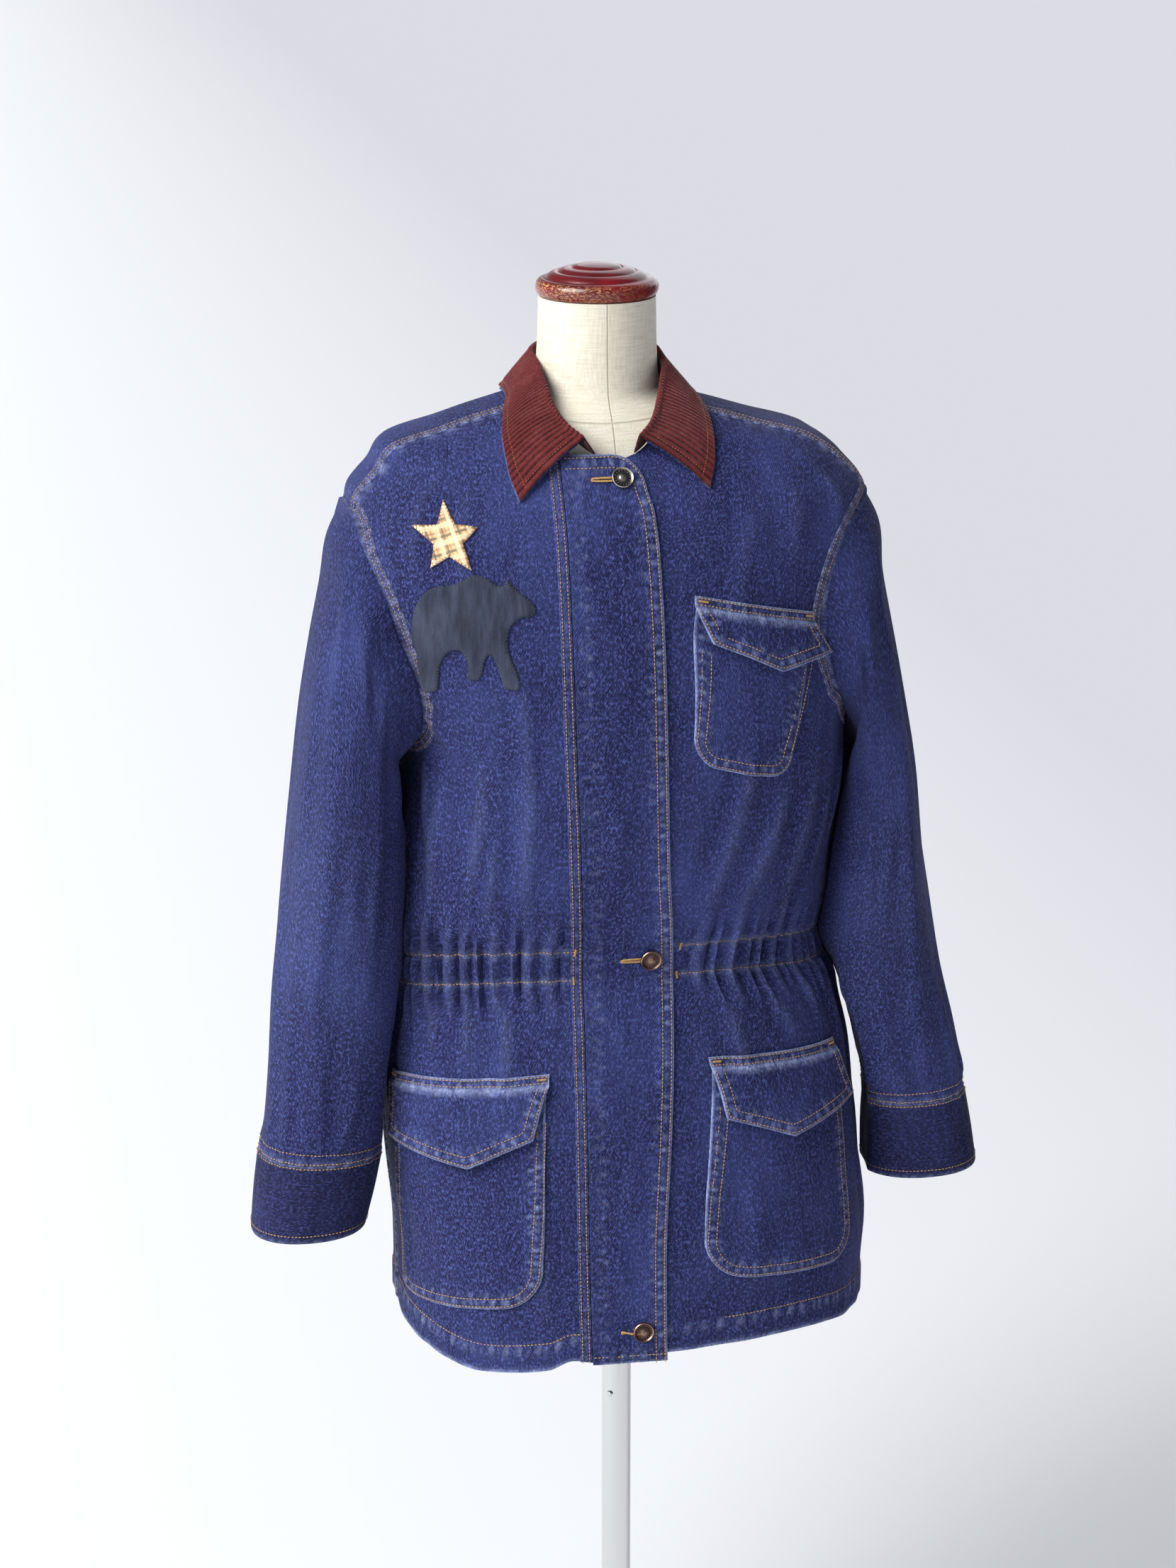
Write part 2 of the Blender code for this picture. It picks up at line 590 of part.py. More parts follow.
def wall(name, outer, inner, finish_name, ring=False, along=None):
    """A closed wall between two lofts, each a list of rows of points from one end to the other.
    along may give how far along its row each point is."""
    points, faces, sides = [], [], []
    for rows in (outer, inner):
        numbered = []
        for row in rows:
            start = len(points)
            points.extend(map(tuple, row))
            count = list(range(start, start + len(row)))
            numbered.append(count + count[:1] if ring else count)
        for k, (a, b) in enumerate(zip(numbered[:-1], numbered[1:])):
            faces += strip(a, b, along[k], along[k + 1]) if along else strip(a, b)
        sides.append(numbered)
    for k in (0, -1):
        faces += strip(sides[0][k], sides[1][k])
    if not ring:
        for end in (0, -1):
            faces += strip([row[end] for row in sides[0]], [row[end] for row in sides[1]])
    return mesh_object(name, points, faces, finish_name)


def panel(name, rows, by_angle=True, finish_name="denim", thick=WALL):
    """A wall of the body: each row is its angles and heights."""
    outer = [body(u, z) for u, z in rows]
    inner = [body_off(u, z, np.full(len(u), -thick)) for u, z in rows]
    along = [(u - u[0]) / (u[-1] - u[0]) for u, _ in rows] if by_angle else None
    return wall(name, outer, inner, finish_name, along=along)


def loft_normals(rows, ring):
    """Outward normals of a loft whose rows have equal counts; outward is away from its axis."""
    grid = np.array(rows)
    if ring:
        along = np.roll(grid, -1, axis=1) - np.roll(grid, 1, axis=1)
    else:
        along = np.gradient(grid, axis=1)
    down = np.gradient(grid, axis=0)
    n = np.cross(down, along)
    return n / np.linalg.norm(n, axis=2, keepdims=True)


# ---- the body's panels ----

def hem_height(u):
    turned = np.where(np.asarray(u) < -90.0, np.asarray(u) + 360.0, u)
    return smooth(HEM, 1, turned)


def hem_row(first, last, columns):
    u = np.linspace(first, last, columns)
    return u, hem_height(u)


def front_edge(side, z):
    """The angle of a front panel's edge near the centre: the neckline, or under the placket."""
    top = seam_top(side)[1] + 1
    at_neck = np.interp(z, NECK_Z[:top], NECK_U[:top]) if z > NECK_Z[0] else 0.0
    if side > 0:
        opening = float(angle_at_x(LEFT_UNDER, z))
        return max(opening, at_neck + 0.3)
    opening = float(angle_at_x(smooth(PLACKET, 1, z) + FRONT_UNDER, z))
    return min(opening, -at_neck - 0.3)


def front_panel(side):
    rows = []
    for z in along_seam(side, SEAM_ROWS):
        rows.append((z, float(shift(shoulder_seam(z, side), z, -SEAM))))
    for k in range(SEAM_STEP + 1, ARM_POINTS // 2):
        u, z = armhole(k, side, SEAM)
        rows.append((float(z), float(u)))
    for z in (LOWEST_ARM - SEAM, *LOW_ROWS):
        rows.append((z, float(shift(90.0, z, -SEAM))))
    made = []
    for number, (z, outer) in enumerate(rows):
        inner = front_edge(side, z)
        if number == 0:
            inner = side * (outer - 2.0)
        columns = int(np.clip(3 + number * 1.4, 3, 12))
        u = row_angles(inner, side * outer, z, columns)
        made.append((u, np.full(len(u), z)))
    edge = front_edge(side, float(hem_height(side * 20.0)))
    made.append(hem_row(edge, side * float(shift(90.0, HEM[0, 1], -SEAM)), 14))
    return panel("front_left" if side > 0 else "front_right", made)


def back_panel():
    made = []
    rows = []
    for k in range(YOKE_STEP, ARM_POINTS // 2):
        u, z = armhole(ARM_POINTS - k, 1, SEAM)
        rows.append((float(z) - 2 * SEAM * (k == YOKE_STEP), float(u)))
    rows += [(z, float(shift(90.0, z, SEAM))) for z in (LOWEST_ARM - SEAM, *LOW_ROWS)]
    for z, edge in rows:
        u = row_angles(edge, 360.0 - edge, z, 19)
        made.append((u, np.full(len(u), z)))
    edge = float(shift(90.0, HEM[0, 1], SEAM))
    made.append(hem_row(edge, 360.0 - edge, 26))
    return panel("back", made)


def yoke_half(side):
    """Half of the yoke's upper edge (front seam and neckline) and lower edge (armhole and back
    seam), each as angles and heights."""
    seam_z = along_seam(side, SEAM_ROWS)[::-1]
    seam_u = shift(shoulder_seam(seam_z, side), seam_z, SEAM)
    past = seam_top(side)[1] + 3
    upper = np.array((np.concatenate((seam_u, NECK_U[past::8])), np.concatenate((seam_z, NECK_Z[past::8]))))
    steps = np.arange(ARM_POINTS + SEAM_STEP, ARM_POINTS - YOKE_STEP - 1, -1)
    arm_u, arm_z = armhole(steps % ARM_POINTS, side, SEAM)
    arm_u[0], arm_z[0] = seam_u[0], seam_z[0]
    seam_back = np.linspace(arm_u[-1], 180.0, 12)[1:]
    lower = np.array((np.concatenate((arm_u, seam_back)),
                      np.concatenate((arm_z, np.full(len(seam_back), arm_z[-1])))))
    return upper, lower


def resample(rows, count):
    """Each row read at count even steps of its own numbering."""
    at = np.linspace(0, 1, count)
    return np.array([np.interp(at, np.linspace(0, 1, len(row)), row) for row in rows])


def yoke_row(side, share):
    """One row of a half yoke: even steps seen from above, true to both edges."""
    upper, lower = yoke_half(side)
    if share in (0, 1):
        return lower if share else upper
    count = max(upper.shape[1], lower.shape[1]) + 1
    plan, off = 0.0, 0.0
    for edge, part in ((upper, 1 - share), (lower, share)):
        even = resample(edge, count)
        above = smooth_body(side * even[0], even[1])[:, :2]
        plan = plan + part * above
        off = off + part * (even - np.array(from_above(*above.T)))
    return np.array(from_above(*plan.T)) + off


def yoke():
    """The yoke goes over both shoulders. It is lofted from its upper edge to its lower one."""
    made = []
    for share in YOKE_SHARES:
        left, right = yoke_row(1, share), yoke_row(-1, share)
        u = np.concatenate((left[0], (360.0 - right[0])[::-1][1:]))
        z = np.concatenate((left[1], right[1][::-1][1:]))
        made.append((u, z))
    return panel("yoke", made, by_angle=False)


# ---- sleeves ----

def sleeve_rows(side):
    """The sleeve's rings from the armhole to the cuff's end, outer face."""
    table = SLEEVE_LEFT if side > 0 else SLEEVE_RIGHT
    turn = 2 * np.pi * np.arange(ARM_POINTS) / ARM_POINTS
    u, z = armhole(np.arange(ARM_POINTS), side, -SEAM)
    first = body(side * u, z)
    first[:, 0] += side * 0.0001
    rings = [first]
    s, c = np.sin(turn), np.cos(turn)
    wide = np.sign(c) * np.abs(c) ** (2 / SLEEVE_SQUARE)
    deep = np.sign(s) * np.abs(s) ** (2 / SLEEVE_SQUARE)
    for number, (out_x, out_z, in_x, in_z, mid_y, half_y) in enumerate(table):
        x = (out_x + in_x) / 2 + wide * (out_x - in_x) / 2
        height = (out_z + in_z) / 2 + wide * (out_z - in_z) / 2
        y = mid_y - deep * half_y
        ring = np.stack((side * x, y, height), axis=-1)
        if number < len(SLEEVE_BLEND):
            middle = ring.mean(axis=0) - first.mean(axis=0)
            ring = ring + SLEEVE_BLEND[number] * (first + middle - ring)
        for at, row, rows, width, depth in SLEEVE_FOLDS:
            across = (np.degrees(turn) - at + 180.0) % 360.0 - 180.0
            fade = depth * np.exp(-(across / width) ** 2) * window((number - row) / rows)
            ring = ring + fade[:, None] * np.stack((side * c, -s, 0 * s), axis=-1)
        rings.append(clear_of_body(ring, side))
    return rings


def clear_of_body(ring, side):
    """Moves what would lie in the body straight out to the side, just clear of it."""
    centre, half, front, back, square = body_section(ring[:, 2])
    depth = np.where(ring[:, 1] < 0, front, back) + SLEEVE_CLEAR
    flat = np.clip(1 - (np.abs(ring[:, 1]) / depth) ** square, 0, 1) ** (1 / square)
    folds = body_fold(side * 90.0 - side * 20.0 * np.sign(-ring[:, 1]), ring[:, 2])
    at, high, deep = SLEEVE_POCKET
    folds = np.clip(folds, 0, 1) + deep * window((ring[:, 2] - at) / high)
    least = side * centre + (half + SLEEVE_CLEAR + folds) * flat
    moved = ring.copy()
    moved[:, 0] = side * np.maximum(side * ring[:, 0], least)
    return moved


def sleeve_and_cuff(side):
    word = "left" if side > 0 else "right"
    rings = sleeve_rows(side)
    normals = loft_normals(rings, ring=True)
    if np.mean(normals[5][:, 0] * side * np.cos(2 * np.pi * np.arange(ARM_POINTS) / ARM_POINTS)) < 0:
        normals = -normals
    outer = [r.copy() for r in rings]
    outer[0] = rings[0]
    inner = [r - WALL * n for r, n in zip(outer, normals)]
    cut = len(rings) - 2
    sleeve_outer, sleeve_inner = outer[:cut + 1], inner[:cut + 1]
    for rows in (sleeve_outer, sleeve_inner):
        rows[-1] = rows[-1] + np.array((0, 0, SEAM))
    wall("sleeve_" + word, sleeve_outer, sleeve_inner, "denim", ring=True)
    top, low = rings[cut], rings[-1]
    levels = (top - np.array((0, 0, SEAM)), top * 0.6 + low * 0.4, low)
    swell = (0.0006, 0.0009, 0.0006)
    normal = normals[cut] * np.array((1, 1, 0))
    normal = normal / np.linalg.norm(normal, axis=1, keepdims=True)
    cuff_outer = [row + out * normal for row, out in zip(levels, swell)]
    cuff_inner = [row - 1.6 * WALL * normal for row in levels]
    wall("cuff_" + word, cuff_outer, cuff_inner, "denim", ring=True)


# ---- collar ----

def collar_columns(count):
    """The collar's section at each column, from one front end round the back to the other."""
    share = np.linspace(-1, 1, count)
    side, along = np.where(share < 0, -1.0, 1.0), np.abs(share)
    turn = np.radians(180.0 - (180.0 - NECK_END) * along)
    c = np.cos(turn)
    base_x = NECK_X + side * (NECK_HALF - CORDUROY) * np.sin(turn)
    base_y = NECK_Y - np.where(c > 0, NECK_FRONT, NECK_BACK) * c
    base = np.stack((base_x, base_y, height_at(base_x, base_y) + 3 * GAP), axis=-1)
    values = [smooth(COLLAR, i, along) for i in range(1, len(COLLAR_COLUMNS))]
    middle, fold_x, fold_y, fold_z, edge_x, edge_y, swell = values
    crest = np.stack((middle + side * fold_x, fold_y, fold_z), axis=-1)
    edge_x = middle + side * edge_x
    edge = np.stack((edge_x, edge_y, height_at(edge_x, edge_y) + COLLAR_CLEAR), axis=-1)
    out = edge - crest
    out[:, 2] = 0
    out /= np.linalg.norm(out, axis=1, keepdims=True)
    return base, crest, edge, out, swell[:, None]


def collar_path(count):
    """Rows of the collar's outer face: up the inside of the stand, over the fold, down the leaf."""
    base, crest, edge, out, swell = collar_columns(count)
    up = np.array((0.0, 0.0, 1.0))
    stand_top = crest - COLLAR_TURN * out - COLLAR_DROP * up
    leaf_top = crest + COLLAR_TURN * out - COLLAR_DROP * up
    rows = [base, (base + stand_top) / 2, stand_top, crest, leaf_top]
    for share in (0.33, 0.67, 1.0):
        rise = swell * 4 * share * (1 - share)
        rows.append(leaf_top + (edge - leaf_top) * share + rise * (out * 0.5 + up * 0.85))
    return rows


def collar():
    """The collar and its denim underside, raised where the leaf would touch the shoulders."""
    fine = collar_path(2 * COLLAR_WALES + 1)
    plain = collar_path(COLLAR_PLAIN)
    normals = loft_normals(plain, ring=False)
    fine_normals = loft_normals(fine, ring=False)
    if normals[3][COLLAR_PLAIN // 2][2] < 0:
        normals, fine_normals = -normals, -fine_normals
    leaf = slice(LEAF_ROW, None)
    lowest = CORDUROY + UNDERCOLLAR_GAP + WALL
    under = np.array([row - lowest * n for row, n in zip(plain[leaf], normals[leaf])])
    rows, count = under.shape[:2]
    numbers = np.arange(rows * count).reshape(rows, count)
    tris = [t for a, b in zip(numbers[:-1], numbers[1:]) for t in strip(list(a), list(b))]
    trees = [tree_of(name) for name in ("yoke", "front_left", "front_right")]
    rise = settle(under.reshape(-1, 3), normals[leaf].reshape(-1, 3), tris, trees, CLEAR).reshape(rows, count)
    shares, fine_shares = np.linspace(0, 1, count), np.linspace(0, 1, len(fine[0]))
    for k in range(rows):
        plain[LEAF_ROW + k] = plain[LEAF_ROW + k] + rise[k][:, None] * normals[LEAF_ROW + k]
        fine[LEAF_ROW + k] = (fine[LEAF_ROW + k]
                              + np.interp(fine_shares, shares, rise[k])[:, None] * fine_normals[LEAF_ROW + k])
    rib = COLLAR_RIB * (np.arange(2 * COLLAR_WALES + 1) % 2)[:, None]
    outer = plain[:LEAF_ROW] + [row + rib * n for row, n in zip(fine[leaf], fine_normals[leaf])]
    inner = [row - CORDUROY * n for row, n in zip(plain, normals)]
    wall("collar", outer, inner, "corduroy")
    under = []
    for low in (CORDUROY + UNDERCOLLAR_GAP, lowest):
        rows = [row - low * n for row, n in zip(plain[leaf], normals[leaf])]
        rows[0] = rows[0] + UNDERCOLLAR_START * (rows[1] - rows[0])
        reach = rows[-1] - rows[-2]
        reach /= np.linalg.norm(reach, axis=1, keepdims=True)
        rows[-1] = rows[-1] + UNDERCOLLAR_PEEK * reach
        under.append(rows)
    wall("undercollar", under[0], under[1], "denim")


# ---- pieces sewn on the panels ----

def overlay(name, outline, place, lift, thick, spacing, finish_name, below):
    """A piece of cloth on the body. Its outline is in its own flat plane, place turns that into
    the body's angle and height, lift gives its underside's distance from the body, and it is
    raised further wherever it would touch the nodes below it."""
    flat = np.array(outline)
    low, high = flat.min(axis=0), flat.max(axis=0)
    grid = [(x, y) for x in np.arange(low[0] + spacing / 2, high[0], spacing)
            for y in np.arange(low[1] + spacing / 2, high[1], spacing)]
    inside = [p for p in grid if deep_inside(p, flat, spacing * 0.35)]
    verts = [Vector(p) for p in list(map(tuple, flat)) + inside]
    loop = [(i, (i + 1) % len(flat)) for i in range(len(flat))]
    made, _, faces, *_ = delaunay_2d_cdt(verts, loop, [], 1, 1e-7)
    plan = np.array([tuple(v) for v in made])
    u, z = place(plan[:, 0], plan[:, 1])
    off = lift(plan[:, 0], plan[:, 1]) if callable(lift) else np.full(len(plan), lift)
    tris = [tuple(f) for f in faces]
    out = normal_of(body, u, z)
    under = body_off(u, z, off)
    under = under + settle(under, out, tris, [tree_of(node) for node in below], CLEAR)[:, None] * out
    over = under + thick * out
    count = len(plan)
    edges = {}
    for f in tris:
        for a, b in ((f[0], f[1]), (f[1], f[2]), (f[2], f[0])):
            edges[(a, b)] = True
    rim = [(a, b) for a, b in edges if (b, a) not in edges]
    all_faces = [(a + count, b + count, c + count) for a, b, c in tris] + [(c, b, a) for a, b, c in tris]
    for a, b in rim:
        all_faces += [(a, b, b + count), (a, b + count, a + count)]
    return mesh_object(name, np.concatenate((under, over)), all_faces, finish_name)


def deep_inside(point, polygon, margin):
    """Whether a point lies in a polygon and further than margin from its sides."""
    a, b = polygon, np.roll(polygon, -1, axis=0)
    p = np.array(point)
    crosses = (a[:, 1] > p[1]) != (b[:, 1] > p[1])
    rise = np.where(crosses, b[:, 1] - a[:, 1], 1.0)
    at = a[:, 0] + (p[1] - a[:, 1]) / rise * (b[:, 0] - a[:, 0])
    if np.sum(crosses & (p[0] < at)) % 2 == 0:
        return False
    along = b - a
    share = np.clip(np.sum((p - a) * along, axis=1) / np.sum(along ** 2, axis=1), 0, 1)
    return bool(np.min(np.linalg.norm(a + share[:, None] * along - p, axis=1)) > margin)


def by_arc(start_x, z_at, side):
    """Turns a distance along the body's section, counted from x at height z_at, into an angle."""
    start = float(angle_at_x(start_x, z_at))
    turn = start + side * np.linspace(-20.0, 110.0, 521)
    line = smooth_body(turn, np.full(521, z_at))
    length = np.concatenate(([0.0], np.cumsum(np.linalg.norm(np.diff(line, axis=0), axis=1))))
    length -= length[80]
    return lambda distance: np.interp(distance, length, turn)


def arc_points(centre, radius, first, last, count):
    turn = np.radians(np.linspace(first, last, count))
    return [(centre[0] + radius * math.cos(t), centre[1] + radius * math.sin(t)) for t in turn]


def pocket(name, sizes):
    """A patch pocket and its pointed flap. The flat plane runs away from the placket and up."""
    side, x, top, width, height, corner, tilt, near, far = sizes
    to_angle = by_arc(x, top - 0.4 * height, side)
    rise_across = math.tan(math.radians(tilt))

    def place(across, up):
        return to_angle(across), top + up + across * rise_across

    left, right = -near * height, width + far * height
    bag = [(0.0, 0.0), (left * 0.5, -height * 0.5)]
    bag += arc_points((left + corner, corner - height), corner, 180, 270, 6)
    bag += [((left + right) * 0.5, -height - 0.001)]
    bag += arc_points((right - corner, corner - height), corner, 270, 360, 6)
    bag += [((width + right) * 0.5, -height * 0.5), (width, 0.0), (width * 0.5, 0.0)]
    front = "front_left" if side > 0 else "front_right"
    overlay(name, bag, place, LIFT, POCKET_WALL, 0.021, "denim", (front,))

    rise = FLAP_RISE
    near_x, near_down, tip_x, tip_down, far_x, far_down = FLAPS[name]
    flap = [(-FLAP_BAND, rise), (near_x * 0.4, -near_down * 0.45), (near_x, -near_down)]
    flap += [((near_x + tip_x) / 2, -(near_down + tip_down) / 2 + 0.0008), (tip_x, -tip_down)]
    flap += [((tip_x + far_x) / 2, -(tip_down + far_down) / 2 + 0.0008), (far_x, -far_down)]
    flap += [(width + (far_x - width) * 0.5, -far_down * 0.45), (width + FLAP_BAND, rise), (width * 0.5, rise)]

    def lift(across, up):
        down = np.clip((rise - up) / (rise + near_down), 0, 1.4)
        over = np.clip((rise - up) / (0.8 * rise), 0, 1)
        return LIFT + (FLAP_LIFT - LIFT) * over + FLAP_PROUD * down ** 2

    overlay(name.replace("pocket", "flap"), flap, place, lift, FLAP_WALL, 0.018, "denim", (front, name))


def placket():
    free_z = PLACKET_TOP - PLACKET_ROUND
    low_z = PLACKET[0, 0]
    heights = np.concatenate((np.arange(low_z, free_z, 0.034), (free_z,)))
    ridge = [(float(smooth(PLACKET, 1, z)), z) for z in heights]
    free = [(float(smooth(PLACKET, 2, z)), z) for z in heights]
    corner_x = free[-1][0] - PLACKET_ROUND
    top = arc_points((corner_x, free_z), PLACKET_ROUND, 0, 90, 5)[1:]
    top += [(corner_x - 0.016, PLACKET_TOP + 0.0005)]
    outline = free + top + [(ridge[-1][0], PLACKET_TOP + 0.001)] + ridge[::-1]

    def place(x, z):
        return angle_at_x(x, z), z

    overlay("placket", outline, place, LIFT, PLACKET_WALL, 0.024, "denim", ("front_left", "front_right"))


def patches():
    def place(x, z):
        return angle_at_x(x, z), z

    star = []
    for k in range(5):
        for radius, half in ((STAR["outer"] * STAR["reach"][k], 0), (STAR["inner"], 36)):
            turn = math.radians(90 + STAR["turn"] + 72 * k + half)
            star.append((STAR["x"] + radius * math.cos(turn) * 0.93, STAR["z"] + radius * math.sin(turn)))
    overlay("star_patch", star, place, LIFT, PATCH_CLOTH, 0.011, "plaid", ("front_right",))
    bear = [(BEAR_X + x / 1000, BEAR_Z + z / 1000) for x, z in BEAR]
    overlay("bear_patch", bear, place, LIFT, PATCH_CLOTH, 0.013, "black_cotton", ("front_right",))


# ---- turned pieces ----

def turned(name, profile, steps, finish_name):
    """A profile (radius, height), from the top down its outer side, turned about Z."""
    mesh = bpy.data.meshes.new(name)
    points = [(radius, 0.0, height) for radius, height in profile]
    mesh.from_pydata(points, [(i, i + 1) for i in range(len(points) - 1)], [])
    obj = bpy.data.objects.new(name, mesh)
    JACKET.objects.link(obj)
    screw = obj.modifiers.new("turn", "SCREW")
    screw.steps = steps
    screw.render_steps = steps
    screw.use_merge_vertices = True
    screw.merge_threshold = 0.00001
    screw.use_smooth_shade = True
    return finish(obj, finish_name)


def buttons():
    """Each button lies square to the placket and just clears it."""
    tree = tree_of("placket")
    radius = max(r for r, _ in BUTTON_PROFILE)
    for number, (x, z) in enumerate(BUTTONS):
        button = turned(f"button_{number + 1}", BUTTON_PROFILE, 14, "button_metal")
        u = float(angle_at_x(x, z))
        normal = normal_of(body, np.asarray(u), np.asarray(z))
        at = body_off(u, z, np.asarray(LIFT + PLACKET_WALL))
        turn = Vector(normal).to_track_quat("Z", "Y")
        round_it = [at]
        for share in (0.5, 1.0):
            for k in range(12):
                spoke = Vector((math.cos(k * math.pi / 6), math.sin(k * math.pi / 6), 0)) * radius * share
                round_it.append(at + np.array(turn @ spoke))
        rise = max(shortfall(point, normal, (tree,), LIFT) for point in round_it)
        button.location = at + rise * normal
        button.rotation_euler = turn.to_euler()


# ---- the dress form and its stand ----

def form_section(z, centre, half, front, back, square):
    turn = np.radians(np.arange(FORM_AROUND) * 360.0 / FORM_AROUND)
    s, c = np.sin(turn), np.cos(turn)
    x = centre + half * np.sign(s) * np.abs(s) ** (2 / square)
    y = -np.where(c > 0, front, back) * np.sign(c) * np.abs(c) ** (2 / square)
    return np.stack((x, y, np.full(FORM_AROUND, z)), axis=-1)


def form_torso():
    """The linen body and neck, drawn in wherever they would touch the jacket."""
    rows = [form_section(*row, 2.2) for row in FORM_LOW]
    turn = np.arange(FORM_AROUND) * 360.0 / FORM_AROUND
    for height, under in FORM_HIGH:
        z = np.full(FORM_AROUND, height)
        rows.append(smooth_body(turn, z) - (WALL + under) * normal_of(smooth_body, turn, z))
    rows += [form_section(*row, 2.0) for row in NECK]
    inward = loft_normals(rows, ring=True)
    if inward[3][FORM_AROUND // 4][0] > 0:
        inward = -inward
    points, inward = np.concatenate(rows), np.concatenate(inward)
    count = FORM_AROUND
    rings = [list(range(k * count, (k + 1) * count)) + [k * count] for k in range(len(rows))]
    faces = []
    for a, b in zip(rings[:-1], rings[1:]):
        faces += strip(a, b)
    trees = [tree_of(name) for name in ("yoke", "back", "front_left", "front_right", "collar", "undercollar")]
    points = points + settle(points, inward, faces, trees, FORM_GAP)[:, None] * inward
    ends = [points[:count].mean(axis=0), points[-count:].mean(axis=0)]
    for ring, number in ((rings[0], len(points)), (rings[-1], len(points) + 1)):
        faces += [(ring[i], ring[i + 1], number) for i in range(count)]
    mesh_object("form_torso", list(map(tuple, points)) + [tuple(e) for e in ends], faces, "linen")


def stand():
    cap = turned("neck_cap", CAP_PROFILE, 24, "lacquer")
    cap.location.x = CAP_X
    top = FORM_LOW[0, 0] - GAP
    low = BASE_HEIGHT + GAP
    bpy.ops.mesh.primitive_cylinder_add(vertices=28, radius=POLE_RADIUS, depth=top - low,
                                        location=(0, 0, (top + low) / 2))
    pole = bpy.context.object
    pole.name = "pole"
    finish(pole, "chrome")
    edge = 0.002
    profile = ((0.0, BASE_HEIGHT), (BASE_RADIUS - 2 * edge, BASE_HEIGHT), (BASE_RADIUS - edge * 0.6,
               BASE_HEIGHT - edge * 0.6), (BASE_RADIUS, BASE_HEIGHT - 2 * edge), (BASE_RADIUS, 0.0), (0.0, 0.0))
    turned("base", profile, 32, "painted_steel")
    turn = math.radians(SNAP_ANGLE)
    reach = POLE_RADIUS + GAP
    snap = turned("pole_button", ((0.0, 0.0016), (SNAP_RADIUS * 0.6, 0.0013), (SNAP_RADIUS, 0.0004),
                                  (SNAP_RADIUS, 0.0), (0.0, 0.0)), 12, "chrome")
    snap.location = (math.sin(turn) * reach, -math.cos(turn) * reach, SNAP_Z)
    snap.rotation_euler = (math.radians(90), 0, turn)


def main():
    front_panel(-1)
    front_panel(1)
    back_panel()
    yoke()
    for side in (-1, 1):
        sleeve_and_cuff(side)
    collar()
    placket()
    for name, sizes in POCKETS.items():
        pocket(name, sizes)
    patches()
    buttons()
    form_torso()
    stand()


for old in list(bpy.data.objects):
    bpy.data.objects.remove(old, do_unlink=True)
JACKET = bpy.data.collections.new("denim_jacket_on_dress_form")
bpy.context.scene.collection.children.link(JACKET)
main()
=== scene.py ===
# The looks of a denim jacket with a corduroy collar, worn by a limbless linen dress form.
# Metres, +Z up, the front faces -Y and the wearer's left is +X.

import math

import bmesh
import bpy
import numpy as np
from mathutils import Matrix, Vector
from mathutils.geometry import delaunay_2d_cdt


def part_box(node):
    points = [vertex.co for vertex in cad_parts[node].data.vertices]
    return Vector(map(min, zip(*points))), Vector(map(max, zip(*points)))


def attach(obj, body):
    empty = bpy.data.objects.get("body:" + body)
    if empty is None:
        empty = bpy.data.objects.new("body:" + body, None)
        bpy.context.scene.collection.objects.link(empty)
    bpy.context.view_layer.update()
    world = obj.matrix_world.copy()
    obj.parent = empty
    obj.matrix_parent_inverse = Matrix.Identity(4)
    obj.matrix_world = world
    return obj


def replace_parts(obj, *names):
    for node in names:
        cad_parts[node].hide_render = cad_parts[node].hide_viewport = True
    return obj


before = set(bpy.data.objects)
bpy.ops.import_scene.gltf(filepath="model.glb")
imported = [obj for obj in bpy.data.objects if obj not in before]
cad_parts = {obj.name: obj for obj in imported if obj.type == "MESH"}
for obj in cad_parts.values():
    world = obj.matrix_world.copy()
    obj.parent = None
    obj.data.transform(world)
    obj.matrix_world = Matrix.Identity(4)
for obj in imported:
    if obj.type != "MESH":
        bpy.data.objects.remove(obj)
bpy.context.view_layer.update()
print("frame loaded")

cameraSettings = {"target": (-0.025, 0.0, 0.93), "distance": 3.2, "azimuth": -11.0, "elevation": 16.5,
                  "lens": 89.33}


def addObject(name, data):
    made = bpy.data.objects.new(name, data)
    bpy.context.scene.collection.objects.link(made)
    return made


def placeCamera():
    azimuth = math.radians(cameraSettings["azimuth"])
    elevation = math.radians(cameraSettings["elevation"])
    back = Vector((math.sin(azimuth) * math.cos(elevation), -math.cos(azimuth) * math.cos(elevation),
                   math.sin(elevation)))
    lens = bpy.data.cameras.new("camera")
    lens.lens = cameraSettings["lens"]
    lens.sensor_width = 36
    eye = addObject("camera", lens)
    eye.location = Vector(cameraSettings["target"]) + back * cameraSettings["distance"]
    eye.rotation_euler = back.to_track_quat("Z", "Y").to_euler()
    bpy.context.scene.camera = eye


placeCamera()

# Sizes that the cloth shares with the solids, in metres

cloth = {"denim": 0.0013, "corduroy": 0.0015, "patch": 0.0010, "halfSeam": 0.00015, "lift": 0.0004}
waist = {"z": 0.8145, "dip": 0.020, "half": 0.0125, "depth": 0.0032}
armholeSizes = {"z": 1.081, "half": 0.096, "front": {-1: (31.0, 2.6), 1: (41.0, 2.9)},
                "lower": {-1: 2.8, 1: 1.8}, "back": 33.0, "points": 24, "radius": 0.19, "seamStep": 1,
                "yokeStep": 4}
neckSizes = {"x": -0.021, "y": -0.012, "half": 0.060, "front": 0.079, "back": 0.066}

sideWords = {-1: "right", 1: "left"}

